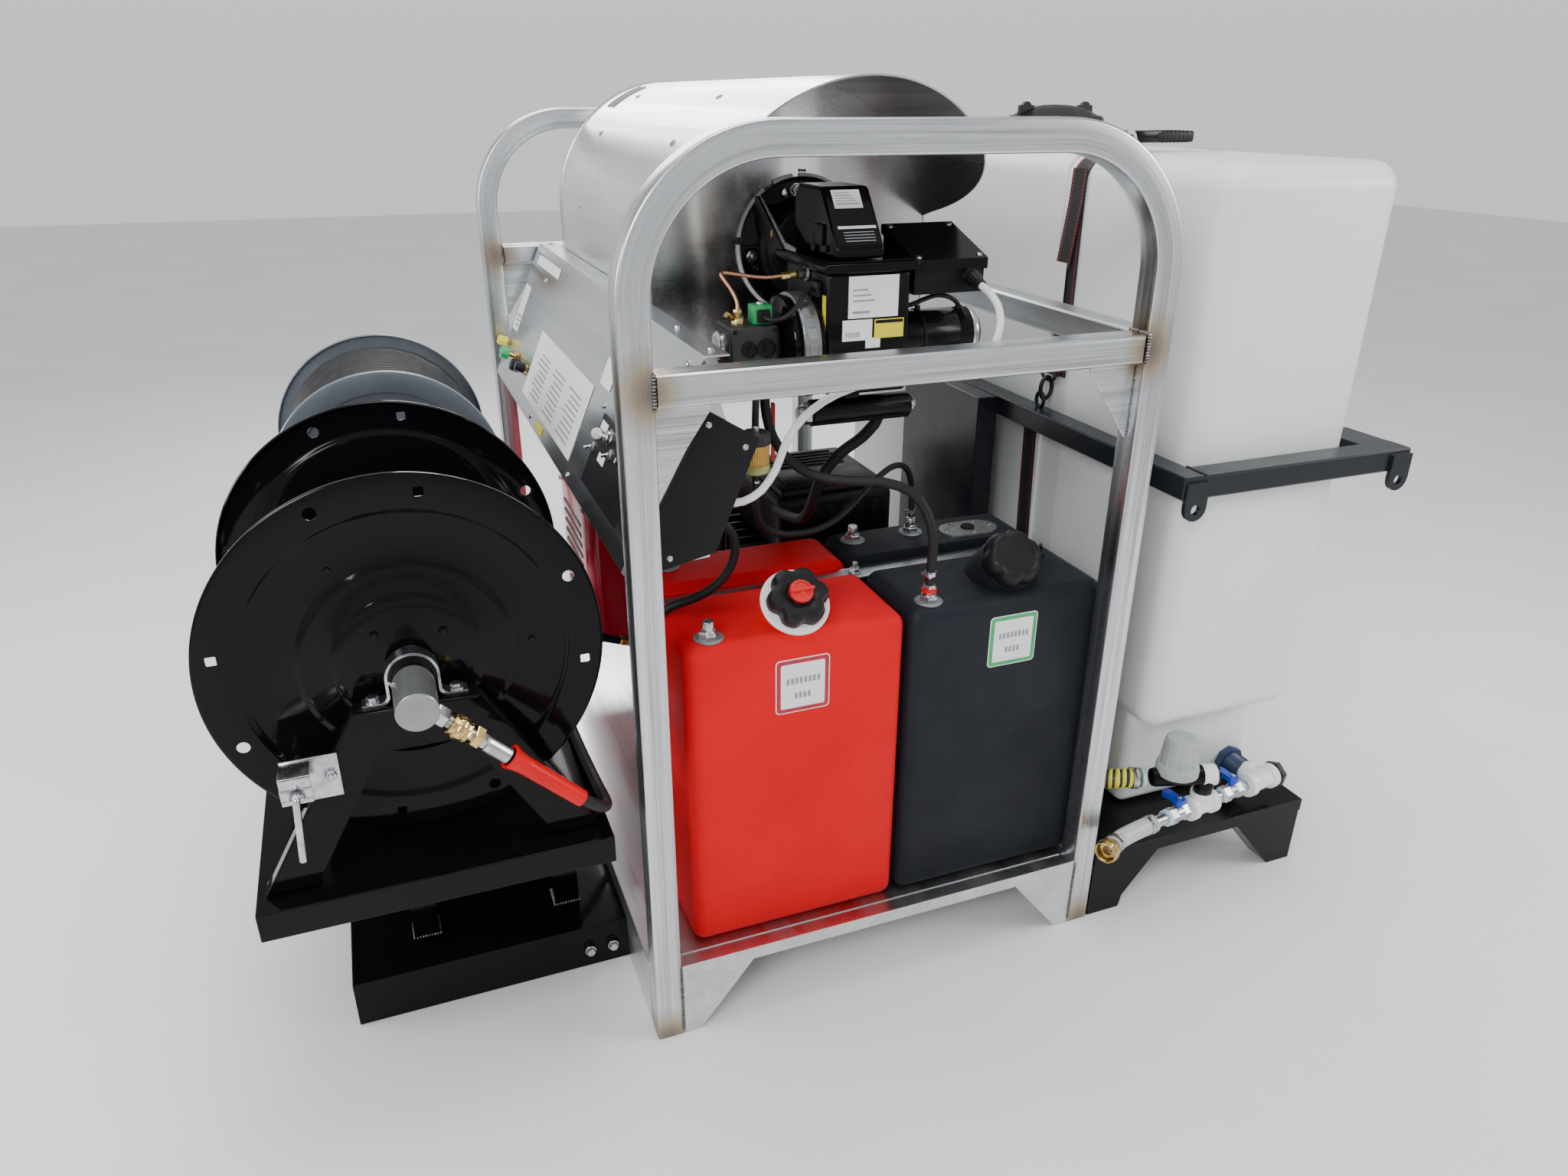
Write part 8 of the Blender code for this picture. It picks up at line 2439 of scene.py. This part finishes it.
def make_plumbing():
    at, run = PLUMB_AT, PLUMB_DIR
    wall = Vector((at.x - 0.004, 0.1290, at.z))
    bulk = Piece("bulkhead", "navy")
    bulk.lathe([(0, 0), (0.0345, 0), (0.0350, 0.001), (0.0350, 0.0135), (0.0335, 0.0155),
                (0, 0.0155)], wall, FORWARD, 8)
    threads(bulk, wall + FORWARD * 0.014, FORWARD, 0.0235, 0.044)
    bulk.paint("tape").lathe([(0, 0), (0.0205, 0), (0.0212, 0.002), (0.0212, 0.006), (0, 0.006)],
                             wall + FORWARD * 0.056, FORWARD, 40)
    bulk.done()
    white = Piece("plumbing_tees", "white")
    tee(white, at, run, BACK, 0.043, 0.042, 0.0275, 0.0225)
    second = at + run * 0.190
    tee(white, second, run, (0, 0, 1), 0.038, 0.036, 0.0265, 0.0215)
    white.done("tank_plumbing", "pvc_white")
    fitting = Piece("plumbing_fittings", "moulded")
    fitting.lathe(puck(0.0205, 0.006), at - run * 0.049, run, 36)
    fitting.lathe([(0, 0), (0.0285, 0), (0.0298, 0.001), (0.0298, 0.0125), (0.0285, 0.0140),
                   (0, 0.0140)],
                  at - run * 0.062, run, 6)
    ridge = lambda angle: 1.0 + 0.04 * (0.5 + 0.5 * math.cos(10 * angle)) ** 3
    fitting.lathe([(0, 0), (0.0190, 0), (0.0195, 0.002), (0.0190, 0.014), (0.0215, 0.016),
                   (0.0215, 0.019), (0, 0.019)],
                  second + UP * 0.034, UP, 80, ridge)
    start, back = TUBE_AT, TUBE_DIR
    fitting.paint("gloss").lathe([(0, 0), (0.0222, 0), (0.0222, 0.024), (0.0205, 0.027),
                                  (0, 0.027)],
                                 start - UP * 0.0275, UP, 44)
    fitting.lathe([(0, 0), (0.0215, 0.0005), (0.0228, 0.003), (0.0228, 0.040), (0.0210, 0.043),
                   (0.0210, 0.140),
                   (0.0190, 0.146), (0, 0.146)], start - back * 0.026, back, 56)
    fitting.paint("moulded").lathe([(0, 0), (0.0300, 0.0), (0.0300, 0.030), (0, 0.030)],
                                   start + back * 0.066 - UP * 0.004, UP, 44)
    fitting.paint("label").lathe([(0.0226, 0), (0.0232, 0), (0.0232, 0.030), (0.0226, 0.030)],
                                 start - back * 0.020, back, 56)
    fitting.paint("grey_cap")
    cap_at = start + back * 0.066 + UP * 0.010
    fitting.lathe([(0, 0), (0.0425, 0), (0.0450, 0.0020), (0.0455, 0.0150), (0.0440, 0.0220),
                   (0.0405, 0.0260),
                   (0.0385, 0.0280), (0.0370, 0.0600), (0.0340, 0.0790), (0.0325, 0.0840),
                   (0.0290, 0.0872),
                   (0.012, 0.0880), (0, 0.0880)], cap_at, UP, 72)
    for step in range(8):
        angle = math.radians(45 * step + 10)
        out = Vector((math.cos(angle), math.sin(angle), 0))
        fitting.rod(cap_at + out * 0.0385 + UP * 0.024, cap_at + out * 0.0330 + UP * 0.083, 0.0030,
                    10, 0.0022)
    fitting.paint("tape").lathe([(0, 0), (0.0205, 0), (0.0213, 0.002), (0.0213, 0.007),
                                 (0, 0.008)],
                                start + back * 0.1375, back, 44)
    fitting.lathe([(0, 0), (0.0170, 0), (0.0180, 0.002), (0.0180, 0.009), (0, 0.010)],
                  at + run * 0.2870, run, 40)
    for reach in (0.0585, 0.1195, 0.2290):
        fitting.lathe([(0, 0), (0.0155, 0), (0.0160, 0.002), (0.0160, 0.007), (0, 0.009)],
                      at + run * (reach - 0.001), run, 36)
    fitting.done()
    chrome = Piece("plumbing_valves", "steel")
    for low, high in ((0.066, 0.122), (0.234, 0.290)):
        ball_valve(chrome, at + run * low, at + run * high, run)
    chrome.rod(at + run * 0.036, at + run * 0.290, 0.0120, 24)
    chrome.rod(at + run * 0.288, at + run * 0.3290, 0.0128, 28)
    chrome.done(slot="zinc")
    for name, reach in (("tank_valve_handle", 0.094), ("inlet_valve_handle", 0.262)):
        base = at + run * reach + Vector((0, 0, 0.0195))
        lever = Piece(name + "_lever", "blue", name)
        turned_place = Matrix.Translation(spot(base)) @ Matrix.Rotation(math.radians(100), 4, "Z")
        outline = [*arc((0, 0), 0.0130, 110, 250, 10), (0.013, -0.0088),
                   *arc((0.030, 0), 0.0118, -70, 70, 8), (0.013, 0.0088)]
        lever.prism(outline, "Z", (0.0090, 0.0215), turned_place)
        lever.rod(base, base + UP * 0.012, 0.0065, 24)
        lever.paint("steel").hexagon(base + UP * 0.0215, UP, 0.009, 0.0045)
        lever.done(name, "handle_blue", bevel=0.0024, segments=3)
    barb = at + run * 0.331
    route = bend(barb, run * 0.050, INLET_END, INLET_FACING * 0.040, 40)
    look = Look("braid", (0.74, 0.77, 0.79), 0.16)
    look.shader.inputs["Transmission Weight"].default_value = 0.35
    place = look.coords((1, 1, 1), "UV")
    split = look.node("SeparateXYZ")
    look.link(place, split.inputs[0])
    best = None
    for sign in (1, -1):
        lead = look.math("ADD", look.math("MULTIPLY", split.outputs[0], 220.0 * sign),
                         look.math("MULTIPLY", split.outputs[1], 230.0))
        thread = look.math("ABSOLUTE", look.math("SUBTRACT", look.math("FRACT", lead), 0.5))
        best = thread if best is None else look.math("MINIMUM", best, thread)
    line = look.span(best, 0.06, 0.16, 1.0, 0.0)
    color = look.mix(line, (0.58, 0.62, 0.65), (0.94, 0.95, 0.96))
    LOOKS["braid"] = look.use(color, look.span(line, 0, 1, 0.12, 0.34), line, 0.35, 0.0006)
    hose = Piece("inlet_hose_run", "braid").pipe(route, 0.0189, 40)
    hose.done("inlet_hose", "hose_clear")
    clamps = Piece("hose_clamps", "steel")
    clamps.clamp(route[4], run, 0.0192, 0.0125, 62)
    coarse = bend(barb, run * 0.050, INLET_END, INLET_FACING * 0.040, 12)
    facing = (coarse[-1] - coarse[-2]).normalized()
    clamps.clamp(route[-5], facing, 0.0192, 0.0125, 62)
    clamps.clamp(TUBE_AT + TUBE_DIR * 0.1600, TUBE_DIR, 0.0223, 0.0130, 55)
    clamps.done()
    start = INLET_END + facing * 0.001
    tail = Piece("connector_tail_piece", "brass")
    tail.lathe([(0.0105, 0), (0.0150, 0), (0.0150, 0.018), (0.0172, 0.0185), (0.0172, 0.0215),
                (0.0105, 0.0215)], start, facing, 44)
    tail.done("connector_tail", "brass")
    nut = Piece("garden_connector_nut", "brass", "garden_connector")
    lobes = lambda angle: 1.0 + 0.022 * math.cos(8 * angle)
    profile = [(0.0156, 0.0), (0.0218, 0.0), (0.0232, 0.0015), (0.0240, 0.0040), (0.0240, 0.0165),
               (0.0222, 0.0180),
               (0.0230, 0.0195), (0.0230, 0.0230), (0.0220, 0.0238), (0.0205, 0.0238)]
    for step in range(5):
        profile += [(0.0192, 0.0225 - 0.0030 * step), (0.0186, 0.0210 - 0.0030 * step)]
    profile += [(0.0186, 0.0075), (0.0156, 0.0075)]
    nut.lathe(profile, start + facing * 0.009, facing, 96, lobes)
    nut.done("garden_connector", "brass")


make_water_tank()
make_belt()
make_strap()
make_plumbing()

# ---------------------------------------------------------------- close
low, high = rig.bounds()
with open("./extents.json", "w") as out:
    json.dump({"cad": [list(cad_low), list(cad_high)], "visual": [list(low), list(high)]}, out)
